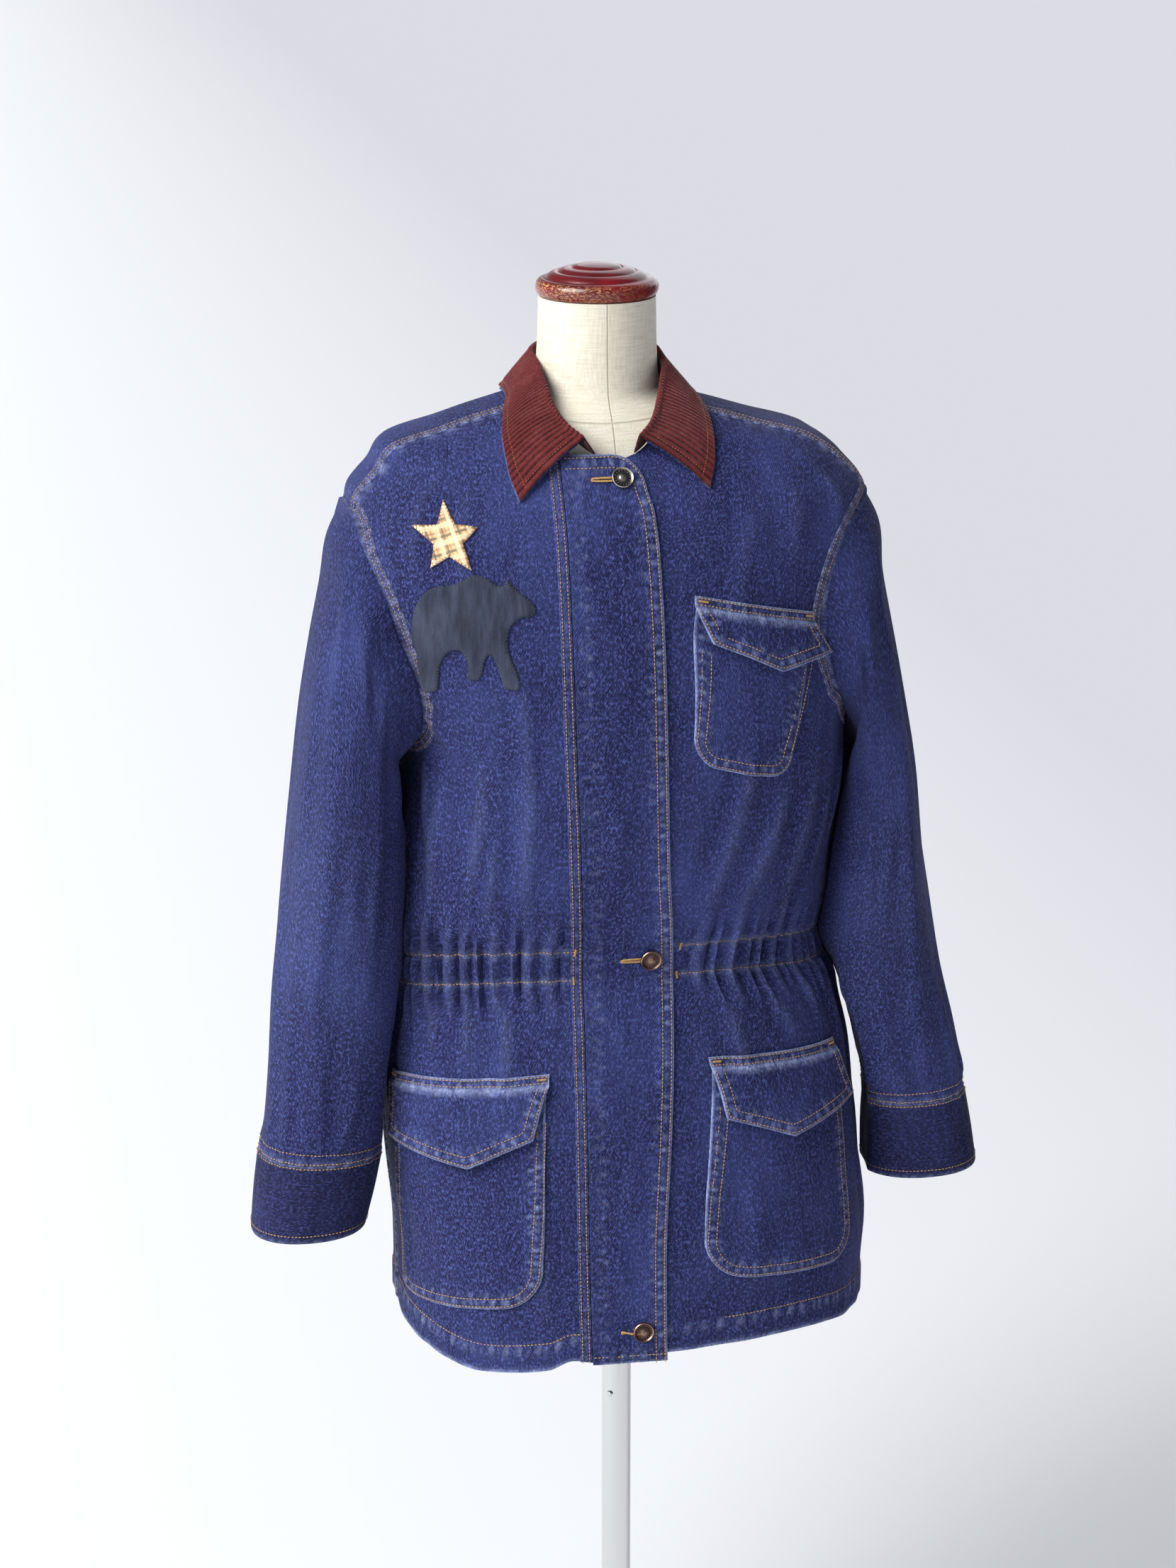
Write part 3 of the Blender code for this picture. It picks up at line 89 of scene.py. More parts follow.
# The hem's edge: angle from the centre front, height
hemTable = np.array((
    (-90.0, 0.4860), (-62.0, 0.4735), (-42.0, 0.4655), (-22.0, 0.4705), (-15.5, 0.4785), (-10.0, 0.4765),
    (0.0, 0.4820), (30.0, 0.4860), (55.0, 0.4820), (90.0, 0.4840), (135.0, 0.4760), (180.0, 0.4740),
    (225.0, 0.4790), (270.0, 0.4860),
))
bodyTable = np.array((
    # z, centre, half width, front, back, squareness
    (0.460, 0.008, 0.197, 0.142, 0.150, 2.6),
    (0.540, 0.009, 0.198, 0.142, 0.152, 2.6),
    (0.620, 0.003, 0.199, 0.139, 0.150, 2.5),
    (0.700, -0.004, 0.196, 0.134, 0.142, 2.5),
    (0.760, -0.009, 0.188, 0.127, 0.131, 2.4),
    (0.805, -0.019, 0.176, 0.120, 0.120, 2.4),
    (0.850, -0.014, 0.183, 0.128, 0.129, 2.4),
    (0.920, -0.004, 0.183, 0.135, 0.134, 2.5),
    (0.980, 0.002, 0.180, 0.139, 0.138, 2.6),
    (1.040, -0.006, 0.186, 0.140, 0.139, 2.7),
    (1.100, -0.017, 0.198, 0.136, 0.136, 2.7),
    (1.150, -0.018, 0.208, 0.127, 0.128, 2.7),
    (1.180, -0.0115, 0.209, 0.116, 0.118, 2.6),
    (1.205, -0.012, 0.192, 0.102, 0.105, 2.5),
    (1.2245, -0.0185, 0.1730, 0.088, 0.092, 2.4),
    (1.2355, -0.020, 0.1370, 0.080, 0.083, 2.3),
    (1.2445, -0.021, 0.109, 0.073, 0.075, 2.2),
    (1.2520, -0.021, 0.0835, 0.066, 0.068, 2.1),
    (1.2590, -0.021, 0.064, 0.060, 0.061, 2.0),
    (1.2660, -0.021, 0.056, 0.055, 0.056, 2.0),
    (1.2790, -0.021, 0.052, 0.050, 0.052, 2.0),
))
# Large soft folds: angle, height, half height, width in degrees, depth, slant in degrees a metre
bodyFolds = np.array((
    (-58.0, 1.150, 0.070, 12.0, 0.0035, 0.0),
    (54.0, 1.140, 0.060, 12.0, 0.0030, 0.0),
    (-42.0, 0.905, 0.070, 16.0, 0.0045, 0.0),
    (38.0, 0.900, 0.070, 16.0, 0.0045, 0.0),
    (118.0, 0.590, 0.140, 13.0, 0.0060, 0.0),
    (158.0, 0.580, 0.150, 14.0, -0.0045, 10.0),
    (196.0, 0.570, 0.140, 14.0, 0.0055, -10.0),
    (238.0, 0.590, 0.150, 13.0, 0.0060, 0.0),
    (140.0, 0.930, 0.090, 16.0, 0.0050, 25.0),
    (205.0, 0.925, 0.080, 18.0, 0.0050, -20.0),
    (134.0, 1.040, 0.075, 15.0, 0.0030, -30.0),
    (226.0, 1.040, 0.075, 15.0, 0.0030, 30.0),
    (86.0, 0.820, 0.085, 15.0, 0.0095, 0.0),
))
# Creases: angle and height of both ends, half width and depth in millimetres
bodyCreases = np.array((
    (-30, 1.010, -22, 0.850, 9, 1.7), (-44, 0.990, -40, 0.870, 11, 1.9), (-60, 0.960, -54, 0.850, 9, 1.6),
    (-74, 0.985, -58, 0.900, 8, 1.7), (-80, 0.940, -70, 0.860, 7, 1.4), (-66, 1.040, -52, 0.985, 8, 1.5),
    (-33, 1.205, -30, 1.090, 10, 1.3), (-47, 1.215, -45, 1.130, 9, 1.2), (-24, 1.090, -27, 0.960, 8, 1.2),
    (-52, 1.090, -60, 1.020, 8, 1.5), (-36, 0.935, -33, 0.845, 6, 1.1), (-27, 0.790, -32, 0.690, 9, 1.7),
    (-40, 0.775, -44, 0.735, 7, 1.2), (-52, 0.785, -58, 0.735, 8, 1.5), (-66, 0.785, -72, 0.700, 9, 1.8),
    (-78, 0.770, -82, 0.640, 9, 1.6), (-25, 0.640, -24, 0.515, 9, 1.4), (-76, 0.600, -80, 0.500, 9, 1.5),
    (20, 1.020, 17, 0.850, 8, 1.5), (32, 0.960, 26, 0.850, 9, 1.7), (47, 0.970, 40, 0.850, 10, 1.9),
    (60, 0.950, 52, 0.860, 8, 1.6), (73, 0.985, 62, 0.890, 9, 1.8), (80, 0.930, 76, 0.850, 7, 1.3),
    (66, 1.040, 55, 0.990, 8, 1.6), (36, 1.200, 34, 1.130, 10, 1.2), (50, 1.210, 50, 1.140, 9, 1.1),
    (22, 1.180, 20, 1.090, 9, 1.1), (22, 0.785, 24, 0.700, 8, 1.5), (36, 0.785, 40, 0.735, 8, 1.4),
    (50, 0.785, 55, 0.740, 7, 1.3), (63, 0.785, 70, 0.690, 9, 1.8), (77, 0.780, 82, 0.640, 9, 1.7),
    (20, 0.650, 18, 0.520, 9, 1.3), (74, 0.620, 78, 0.510, 9, 1.6), (84, 0.700, 86, 0.560, 8, 1.3),
    (-2, 1.120, -6, 1.000, 8, 0.9), (-7, 0.980, -3, 0.870, 7, 0.9), (-4, 0.760, -9, 0.640, 8, 0.9),
    (-8, 0.600, -4, 0.520, 7, 0.8),
    # the back, which the photograph doesn't show, creased alike
    (104, 1.000, 112, 0.850, 9, 1.8), (120, 0.960, 124, 0.850, 10, 1.9), (136, 0.990, 140, 0.850, 9, 1.5),
    (153, 0.940, 151, 0.850, 8, 1.6), (171, 0.970, 168, 0.850, 10, 1.8), (186, 0.930, 188, 0.850, 7, 1.4),
    (202, 0.980, 198, 0.850, 9, 1.8), (219, 0.950, 214, 0.850, 9, 1.7), (236, 1.000, 228, 0.850, 10, 1.9),
    (252, 0.970, 246, 0.860, 8, 1.6), (103, 1.060, 122, 1.000, 9, 1.8), (257, 1.065, 238, 0.995, 9, 1.8),
    (150, 1.120, 156, 1.020, 10, 1.3), (205, 1.120, 199, 1.010, 10, 1.4), (180, 1.110, 181, 1.020, 9, 1.0),
    (108, 0.780, 104, 0.640, 9, 1.7), (125, 0.785, 128, 0.700, 9, 1.6), (143, 0.785, 147, 0.660, 10, 1.8),
    (165, 0.785, 163, 0.700, 8, 1.4), (178, 0.785, 183, 0.640, 9, 1.7), (195, 0.785, 196, 0.710, 8, 1.4),
    (213, 0.785, 208, 0.660, 9, 1.8), (232, 0.785, 236, 0.700, 9, 1.6), (249, 0.785, 254, 0.640, 9, 1.7),
    (120, 0.600, 124, 0.500, 9, 1.4), (172, 0.590, 170, 0.500, 9, 1.4), (240, 0.600, 236, 0.500, 9, 1.5),
))
# Sleeve sections: outermost and innermost points seen from the front, middle depth, half depth
sleeveTables = {
    -1: np.array((
        (0.2325, 1.145, 0.190, 0.968, -0.010, 0.086), (0.2435, 1.108, 0.186, 0.950, -0.013, 0.083),
        (0.2540, 1.063, 0.182, 0.930, -0.016, 0.080), (0.2620, 1.015, 0.180, 0.905, -0.018, 0.077),
        (0.2695, 0.955, 0.180, 0.872, -0.020, 0.074), (0.2770, 0.895, 0.182, 0.838, -0.021, 0.071),
        (0.2845, 0.835, 0.184, 0.800, -0.022, 0.068), (0.2910, 0.775, 0.188, 0.757, -0.023, 0.064),
        (0.2955, 0.713, 0.194, 0.705, -0.024, 0.058), (0.3005, 0.666, 0.200, 0.662, -0.025, 0.052),
        (0.3055, 0.640, 0.2045, 0.638, -0.026, 0.047), (0.3140, 0.570, 0.2200, 0.573, -0.027, 0.044),
    )),
    1: np.array((
        (0.2030, 1.148, 0.176, 0.968, -0.010, 0.086), (0.2090, 1.113, 0.172, 0.950, -0.013, 0.083),
        (0.2185, 1.065, 0.170, 0.930, -0.016, 0.080), (0.2280, 1.015, 0.168, 0.905, -0.018, 0.077),
        (0.2390, 0.955, 0.165, 0.872, -0.020, 0.074), (0.2460, 0.895, 0.162, 0.838, -0.021, 0.071),
        (0.2530, 0.835, 0.162, 0.800, -0.022, 0.068), (0.2625, 0.775, 0.166, 0.757, -0.023, 0.064),
        (0.2780, 0.720, 0.176, 0.712, -0.024, 0.058), (0.2890, 0.680, 0.188, 0.676, -0.025, 0.052),
        (0.2925, 0.658, 0.198, 0.656, -0.026, 0.047), (0.3050, 0.590, 0.2060, 0.588, -0.027, 0.044),
    )),
}
sleeveSizes = {"blend": (0.55, 0.28, 0.12, 0.04), "clear": 0.0034, "pocket": (0.690, 0.150, 0.0125),
               "square": 2.2, "around": 112, "rows": 150}
# Sleeve folds: angle round it (0 outermost, 90 front), row, half rows, width in degrees, depth
sleeveFolds = np.array((
    (60.0, 4.5, 4.0, 20.0, 0.0045), (105.0, 2.5, 3.0, 18.0, -0.0040), (20.0, 7.0, 3.0, 22.0, 0.0035),
    (85.0, 8.0, 2.5, 22.0, -0.0035), (300.0, 3.5, 3.5, 22.0, 0.0045), (255.0, 7.0, 3.0, 24.0, -0.0040),
))
# Sleeve creases: angle and row of both ends, half width in degrees, depth in millimetres
sleeveCreases = np.array((
    (40, 0.3, 52, 4.2, 7, 1.6), (75, 0.2, 84, 3.0, 6, 1.5), (96, 0.6, 100, 5.0, 8, 1.8),
    (22, 2.0, 30, 6.5, 8, 1.5), (60, 4.6, 66, 8.4, 7, 1.5), (112, 3.0, 104, 7.5, 7, 1.6),
    (8, 5.5, 16, 9.5, 8, 1.4), (44, 7.5, 40, 10.8, 6, 1.3), (76, 8.0, 78, 10.9, 6, 1.3),
    (104, 8.6, 98, 10.9, 6, 1.2), (24, 9.2, 22, 10.9, 5, 1.1), (88, 5.2, 92, 7.0, 5, 1.1),
    (320, 0.3, 310, 4.0, 8, 1.6), (286, 0.4, 282, 3.6, 7, 1.5), (340, 2.5, 336, 7.5, 8, 1.5),
    (300, 5.0, 294, 9.0, 7, 1.6), (262, 3.0, 268, 7.0, 8, 1.7), (250, 7.6, 256, 10.8, 7, 1.4),
    (318, 8.6, 322, 10.9, 6, 1.2), (282, 9.0, 280, 10.9, 6, 1.2), (140, 1.0, 128, 4.0, 8, 1.8),
    (225, 1.0, 236, 4.0, 8, 1.8),
))
# Placket in front view: z, ridge seam x, free edge x
placketTable = np.array((
    (0.4760, -0.0480, 0.0135), (0.5600, -0.0500, 0.0125), (0.6700, -0.0510, 0.0175),
    (0.7350, -0.0515, 0.0200), (0.8000, -0.0520, 0.0210), (0.9050, -0.0555, 0.0150),
    (1.0250, -0.0610, 0.0110), (1.1100, -0.0635, 0.0085), (1.1800, -0.0645, 0.0055),
    (1.2290, -0.0650, -0.0140),
))
placketSizes = {"wall": 0.0020, "top": 1.2230, "round": 0.026, "frontUnder": 0.008, "leftUnder": -0.041}
# side, x, top, width, height, corner, tilt, near spread, far spread
pockets = {
    "chest": (1, 0.0401, 1.1102, 0.1008, 0.131, 0.021, -13.0, 0.111, -0.200),
    "hip_right": (-1, -0.0790, 0.7186, 0.1490, 0.190, 0.034, -6.2, -0.075, 0.125),
    "hip_left": (1, 0.0607, 0.7246, 0.1272, 0.182, 0.031, -4.0, 0.135, -0.031),
}
# Flap corners, each across and down: near the placket, the point, the far one
flaps = {
    "chest": (0.0098, 0.0276, 0.0619, 0.0424, 0.1180, 0.0238),
    "hip_right": (0.0134, 0.0441, 0.0666, 0.0651, 0.1540, 0.0480),
    "hip_left": (0.0045, 0.0430, 0.0604, 0.0622, 0.1404, 0.0420),
}
pocketNodes = {"chest": ("chest_pocket", "chest_flap"), "hip_right": ("hip_pocket_right", "hip_flap_right"),
               "hip_left": ("hip_pocket_left", "hip_flap_left")}
pocketSizes = {"wall": 0.0012, "flapWall": 0.0018, "rise": 0.008, "flapLift": 0.0034, "proud": 0.0030,
               "band": 0.0016}
# Collar: share of the way to its front end, middle x, fold (out, y, z), outer edge (out, y), swell
collarTable = np.array((
    (0.00, -0.0180, 0.0000, 0.0600, 1.2930, 0.0000, 0.1030, 0.0010),
    (0.07, -0.0180, 0.0105, 0.0595, 1.2930, 0.0165, 0.1022, 0.0010),
    (0.22, -0.0180, 0.0330, 0.0480, 1.2925, 0.0510, 0.0850, 0.0010),
    (0.42, -0.0175, 0.0520, 0.0130, 1.2890, 0.0740, 0.0350, 0.0005),
    (0.58, -0.0180, 0.0515, -0.0180, 1.2845, 0.0765, -0.0130, 0.0005),
    (0.72, -0.0210, 0.0480, -0.0440, 1.2755, 0.0815, -0.0480, 0.0015),
    (0.84, -0.0230, 0.0425, -0.0640, 1.2600, 0.0840, -0.0740, 0.0025),
    (0.93, -0.0235, 0.0350, -0.0800, 1.2490, 0.0820, -0.0920, 0.0030),
    (1.00, -0.0240, 0.0230, -0.0940, 1.2400, 0.0755, -0.1070, 0.0030),
))
collarSizes = {"wales": 131, "rib": 0.0008, "clear": 0.0045, "turn": 0.0025, "drop": 0.0030, "underGap": 0.0007,
               "peek": 0.0010, "neckEnd": 15.0, "perWale": 6}
star = {"x": -0.1556, "z": 1.1652, "outer": 0.0275, "inner": 0.0125, "turn": 2.0,
        "reach": (1.02, 1.0, 0.97, 1.05, 0.96)}
# A walking bear in side view: x forward from its middle and z up, in millimetres
bear = {"x": -0.1368, "z": 1.0925, "outline": (
    (-45.3, -3.4), (-44.5, 14.3), (-39.3, 27.7), (-30.8, 35.4), (-20.5, 37.6), (-10.3, 41),
    (-1.7, 46.5), (8.6, 44.3), (16.2, 38.8), (21.4, 38.8), (23.9, 43.2), (27.4, 38.8), (35.1, 32.1),
    (42.8, 25.4), (45.3, 19.9), (42.8, 15.5), (35.1, 14.3), (28.2, 9.9), (23.9, 1), (24.8, -14.5),
    (29.9, -27.8), (32.5, -37.8), (30.8, -43.4), (21.4, -42.3), (18, -32.3), (12, -16.7), (6.8, -19),
    (2.6, -35.6), (-6, -35.6), (-5.1, -27.8), (-10.3, -14.5), (-18.8, -14.5), (-24.8, -23.4),
    (-26.5, -38.9), (-27.4, -50), (-37.6, -50), (-38.5, -38.9), (-41, -21.2))}
buttons = {"places": ((-0.0179, 1.2060), (0.0018, 0.8190), (-0.0068, 0.5030)), "dots": 16,
           "dotRing": 0.0058, "dotSize": 0.00042,
           "profile": ((0.0, 0.0026), (0.0016, 0.0025), (0.0026, 0.0021), (0.0031, 0.0018), (0.0044, 0.0018),
                       (0.0050, 0.0016), (0.0066, 0.0016), (0.0072, 0.0020), (0.0076, 0.0027),
                       (0.0081, 0.0029), (0.0086, 0.0025), (0.0088, 0.0018), (0.0087, 0.0008),
                       (0.0080, 0.0), (0.0, 0.0))}
buttonholes = {"ends": (-0.0426, -0.0226, -0.0251), "half": 0.0011}


# Curves and surfaces

def smooth(table, column, at):
    xs, ys = table[:, 0], table[:, column]
    at = np.clip(np.asarray(at, float), xs[0], xs[-1])
    step, slope = np.diff(xs), np.diff(ys) / np.diff(xs)
    before, after = slope[:-1], slope[1:]
    same = before * after > 0
    middle = np.where(same, 2 * before * after / np.where(same, before + after, 1.0), 0.0)
    tangent = np.concatenate((slope[:1], middle, slope[-1:]))
    k = np.clip(np.searchsorted(xs, at, side="right") - 1, 0, len(xs) - 2)
    t = (at - xs[k]) / step[k]
    return (ys[k] * (1 + 2 * t) * (1 - t) ** 2 + ys[k + 1] * t * t * (3 - 2 * t)
            + step[k] * (tangent[k] * t * (1 - t) ** 2 - tangent[k + 1] * t * t * (1 - t)))


def window(t):
    return np.clip(1 - t * t, 0, 1) ** 2


def ease(t):
    t = np.clip(t, 0, 1)
    return t * t * (3 - 2 * t)


def ripple(s, pitch=0.011):
    # Uneven puckers from 0 to 1 along a seam, s metres along it.
    a = np.sin(2 * np.pi * s / pitch + 1.4 * np.sin(2 * np.pi * s / (4.3 * pitch)))
    b = np.sin(2 * np.pi * s / (1.7 * pitch) + 2.0)
    return 0.5 + 0.3 * a + 0.2 * b


def wrapped(angle):
    return (angle + 180.0) % 360.0 - 180.0


def alongLine(x, y, ax, ay, bx, by):
    # How far along a line each place is, from 0 to 1, and how far off it.
    dx, dy = bx - ax, by - ay
    length = math.hypot(dx, dy)
    return ((x - ax) * dx + (y - ay) * dy) / length ** 2, ((x - ax) * dy - (y - ay) * dx) / length


def creaseShape(off, half):
    # A crease's height across it: a ridge with a hollow on one side.
    return np.exp(-(off / half) ** 2) - 0.6 * np.exp(-((off - 1.7 * half) / (1.2 * half)) ** 2)


def smoothBetween(p0, p1, p2, p3, f):
    # The curve through four points in a row, f of the way from the second to the third.
    return 0.5 * (2 * p1 + (p2 - p0) * f + (2 * p0 - 5 * p1 + 4 * p2 - p3) * f ** 2
                  + (3 * p1 - p0 - 3 * p2 + p3) * f ** 3)


def bodySection(z):
    return [smooth(bodyTable, i, z) for i in range(1, 6)]


def oval(centre, half, front, back, square, turn, z):
    # Points of a squarish oval at height z, turned from its front.
    s, c = np.sin(turn), np.cos(turn)
    x = centre + half * np.sign(s) * np.abs(s) ** (2 / square)
    y = -np.where(c > 0, front, back) * np.sign(c) * np.abs(c) ** (2 / square)
    return np.stack((x, y, z + 0 * x), axis=-1)


def smoothBody(u, z):
    return oval(*bodySection(z), np.radians(u), z)


def unit(v):
    return v / np.maximum(np.linalg.norm(v, axis=-1, keepdims=True), 1e-12)


def normalOf(surface, u, z):
    du, dz = 0.4, 0.0008
    return unit(np.cross(surface(u + du, z) - surface(u - du, z), surface(u, z + dz) - surface(u, z - dz)))


def gatherPeaks(first, last, count):
    k = np.arange(count + 1)
    uneven = 0.28 * np.sin(2.4 * k) * (k > 0) * (k < count)
    return first + (last - first) * (k + uneven) / count


gathers = (gatherPeaks(-87.0, -13.0, 14), gatherPeaks(13.0, 87.0, 14), gatherPeaks(93.0, 267.0, 26))
# How far each gather runs on above and below the channel, in millimetres, taken in turn
gatherRunsUp = np.array((34, 58, 40, 74, 36, 50, 88, 38, 62, 44, 34, 70, 46)) / 1000
gatherRunsDown = np.array((40, 34, 66, 44, 82, 38, 54, 36, 76, 48, 60)) / 1000


def waistLine(u):
    return waist["z"] - waist["dip"] * np.abs(np.sin(np.radians(u))) ** 3


def gather(u, z):
    up = z - waistLine(u)
    wave = np.zeros(np.broadcast(u, z).shape)
    turned = np.where(u > 180.0, u - 360.0, u)
    for peaks in gathers:
        v = turned if peaks[-1] < 180.0 else np.where(turned < 0, turned + 360.0, turned)
        inside = (v >= peaks[0]) & (v <= peaks[-1])
        numbers = np.arange(len(peaks))
        phase = np.interp(v, peaks, numbers)
        runUp = np.interp(phase, numbers, gatherRunsUp[numbers % len(gatherRunsUp)])
        runDown = np.interp(phase, numbers, gatherRunsDown[numbers % len(gatherRunsDown)])
        run = np.where(up > 0, runUp, runDown)
        off = np.clip((np.abs(up) - waist["half"]) / (run - waist["half"]), 0, 1)
        fade = (1 - off) ** 2 * (1 + 2 * off)
        main = -np.cos(2 * np.pi * phase) + 0.30 * np.cos(2 * np.pi * (2.3 * phase + 0.2 * np.sin(phase))) * fade
        lean = 0.75 + 0.5 * np.abs(np.sin(1.7 * np.round(phase)))
        wave = wave + np.where(inside, main * lean, 0.0) * fade
    rows = np.exp(-((np.abs(up) - waist["half"]) / 0.0022) ** 2)
    puff = window(up / waist["half"]) * 0.0010
    return waist["depth"] * wave * (1 - 0.50 * rows) + puff - 0.0007 * rows


# Creases: how much deeper than their tables on the body and the sleeves, their wander and their reach
creaseLook = {"body": 1.7, "sleeve": 1.5, "wander": 0.004, "reach": 0.66}


def crease(u, z):
    total = np.zeros(np.broadcast(u, z).shape)
    perDegree = 0.0031
    for at, high, toAt, toHigh, wide, deep in bodyCreases:
        along, off = alongLine(wrapped(u - at) * perDegree, z - high, 0.0, 0.0,
                               (toAt - at) * perDegree, toHigh - high)
        off = off + creaseLook["wander"] * np.sin(3.1 * along + at)
        fade = window((along - 0.5) / creaseLook["reach"]) * creaseLook["body"] * deep / 1000
        total = total + fade * creaseShape(off, wide / 1000)
    return total


def bodyFold(u, z):
    total = gather(u, z) + crease(u, z)
    for at, middle, high, wide, depth, slant in bodyFolds:
        across = wrapped(u - at - slant * (z - middle))
        total = total + depth * np.exp(-(across / wide) ** 2) * window((z - middle) / high)
    above = z - hemHeight(u)
    band = 0.0008 * ease((0.0245 - above) / 0.0025)
    run = np.radians(u) * 0.178
    roping = 0.0011 * (ripple(run, 0.0125) - 0.5) * np.exp(-((above - 0.0170) / 0.0090) ** 2)
    sag = 0.0016 * (ripple(run, 0.047) - 0.5) * ease(1 - above / 0.030)
    return total + band + roping + sag - 0.0006 * np.exp(-((above - 0.0235) / 0.0014) ** 2)


def body(u, z):
    u, z = np.broadcast_arrays(np.asarray(u, float), np.asarray(z, float))
    return smoothBody(u, z) + bodyFold(u, z)[..., None] * normalOf(smoothBody, u, z)


def hemHeight(u):
    u = np.asarray(u, float)
    return smooth(hemTable, 1, np.where(u < -90.0, u + 360.0, np.where(u > 270.0, u - 360.0, u)))


def angleAtX(x, z):
    centre, half, _, _, square = bodySection(z)
    reach = np.clip(np.abs(x - centre) / half, 0, 1)
    return np.degrees(np.arcsin(reach ** (square / 2))) * np.sign(x - centre)


def fullness(x, y, z):
    centre, half, front, back, square = bodySection(z)
    return (np.abs(x - centre) / half) ** square + (np.abs(y) / np.where(y < 0, front, back)) ** square


def heightAt(x, y):
    # The body's height over a place seen from above.
    x, y = np.broadcast_arrays(np.asarray(x, float), np.asarray(y, float))
    levels = np.linspace(1.10, 1.29, 96)
    full = fullness(x[..., None], y[..., None], levels)
    reached = full < 1
    top = len(levels) - 1 - np.argmax(reached[..., ::-1], axis=-1)
    top = np.where(reached.any(axis=-1), top, np.argmin(full, axis=-1))
    low, high = levels[top], levels[np.minimum(top + 1, len(levels) - 1)]
    for _ in range(24):
        z = (low + high) / 2
        inside = fullness(x, y, z) < 1
        low, high = np.where(inside, z, low), np.where(inside, high, z)
    return low


def shift(u, z, distance):
    step = smoothBody(u + 0.2, z) - smoothBody(u - 0.2, z)
    return u + distance * 0.4 / np.linalg.norm(step, axis=-1)


# Seam lines

def armhole(points, side, grow=0.0):
    # Angle and height: from the armhole's top, down its front and up its back.
    turn = 2 * np.pi * np.asarray(points) / armholeSizes["points"]
    s, c = np.sin(turn), np.cos(turn)
    reach, square = armholeSizes["front"][side]
    power = 2 / np.where(s > 0, np.where(c > 0, square, armholeSizes["lower"][side]), 2.0)
    out = np.where(s > 0, reach, armholeSizes["back"]) * np.sign(s) * np.abs(s) ** power
    high = armholeSizes["half"] * np.sign(c) * np.abs(c) ** power
    return 90.0 - out - np.degrees(grow / armholeSizes["radius"]) * s, armholeSizes["z"] + high + grow * c


def seamY(side):
    u, z = armhole(armholeSizes["seamStep"], side)
    return abs(smoothBody(u, z)[1])


def shoulderSeam(z, side):
    _, _, front, _, square = bodySection(z)
    return np.degrees(np.arccos((seamY(side) / front) ** (square / 2)))


def fromAbove(x, y):
    z = heightAt(x, y)
    centre, half, front, back, square = bodySection(z)
    across = (np.abs(x - centre) / half) ** (square / 2)
    ahead = (np.abs(y) / np.where(y < 0, front, back)) ** (square / 2)
    return np.degrees(np.arctan2(across, -np.sign(y) * ahead)), z


def neckline():
    turn = np.radians(np.linspace(0, 180, 91))
    c = np.cos(turn)
    deep = np.where(c > 0, neckSizes["front"], neckSizes["back"])
    return fromAbove(neckSizes["x"] + neckSizes["half"] * np.sin(turn), neckSizes["y"] - deep * c)


neckAngles, neckHeights = neckline()


def seamTop(side):
    off = shoulderSeam(neckHeights, side) - neckAngles
    k = int(np.argmax(off < 0))
    share = off[k - 1] / (off[k - 1] - off[k])
    return neckHeights[k - 1] + share * (neckHeights[k] - neckHeights[k - 1]), k


def alongSeam(side, count):
    z = np.linspace(seamTop(side)[0], armhole(armholeSizes["seamStep"], side)[1], 200)
    line = smoothBody(shoulderSeam(z, side), z)
    length = np.concatenate(([0.0], np.cumsum(np.linalg.norm(np.diff(line, axis=0), axis=1))))
    return np.interp(np.linspace(0, length[-1], count), length, z)


# Surfaces that rows of stitches and folded seams follow
bodyPlace = {"at": body, "steps": (0.4, 0.0008), "sign": 1.0}


def placeNormal(place, a, b):
    da, db = place["steps"]
    at = place["at"]
    return place["sign"] * unit(np.cross(at(a + da, b) - at(a - da, b), at(a, b + db) - at(a, b - db)))


def cumulative(points):
    return np.concatenate(([0.0], np.cumsum(np.linalg.norm(np.diff(points, axis=0), axis=1))))


def evenPath(place, path, step):
    # A path on a surface again, with points step apart.
    path = np.asarray(path, float)
    length = cumulative(place["at"](path[:, 0], path[:, 1]))
    at = np.linspace(0, length[-1], max(2, int(round(length[-1] / step)) + 1))
    return np.stack([np.interp(at, length, path[:, k]) for k in (0, 1)], axis=1)


def offsetPath(place, path, distance):
    # The path moved sideways along its surface, to the right of its direction seen from outside.
    a, b = path[:, 0], path[:, 1]
    da, db = place["steps"]
    at = place["at"]
    points = at(a, b)
    ja = (at(a + da, b) - at(a - da, b)) / (2 * da)
    jb = (at(a, b + db) - at(a, b - db)) / (2 * db)
    normal = placeNormal(place, a, b)
    tangent = unit(np.gradient(points, axis=0))
    side = np.cross(tangent, normal) * np.asarray(distance)[..., None]
    aa, ab, bb = (ja * ja).sum(1), (ja * jb).sum(1), (jb * jb).sum(1)
    ra, rb = (ja * side).sum(1), (jb * side).sum(1)
    det = aa * bb - ab * ab
    return np.stack((a + (bb * ra - ab * rb) / det, b + (aa * rb - ab * ra) / det), axis=1)


def stitchLine(place, path, across=0.0, lift=0.0, step=0.003, lean=None):
    # Points of a row of stitches, with the way each stitch lies and the way out.
    path = evenPath(place, path, step)
    if across:
        path = offsetPath(place, path, np.full(len(path), across))
    points = place["at"](path[:, 0], path[:, 1])
    out = placeNormal(place, path[:, 0], path[:, 1])
    lay = unit(np.gradient(points, axis=0))
    if lean is not None:
        sideways = np.cross(lay, out)
        lay = unit(lay * math.cos(lean) + sideways * math.sin(lean))
    return {"points": points + lift * out, "lay": lay, "out": out}


# Meshes

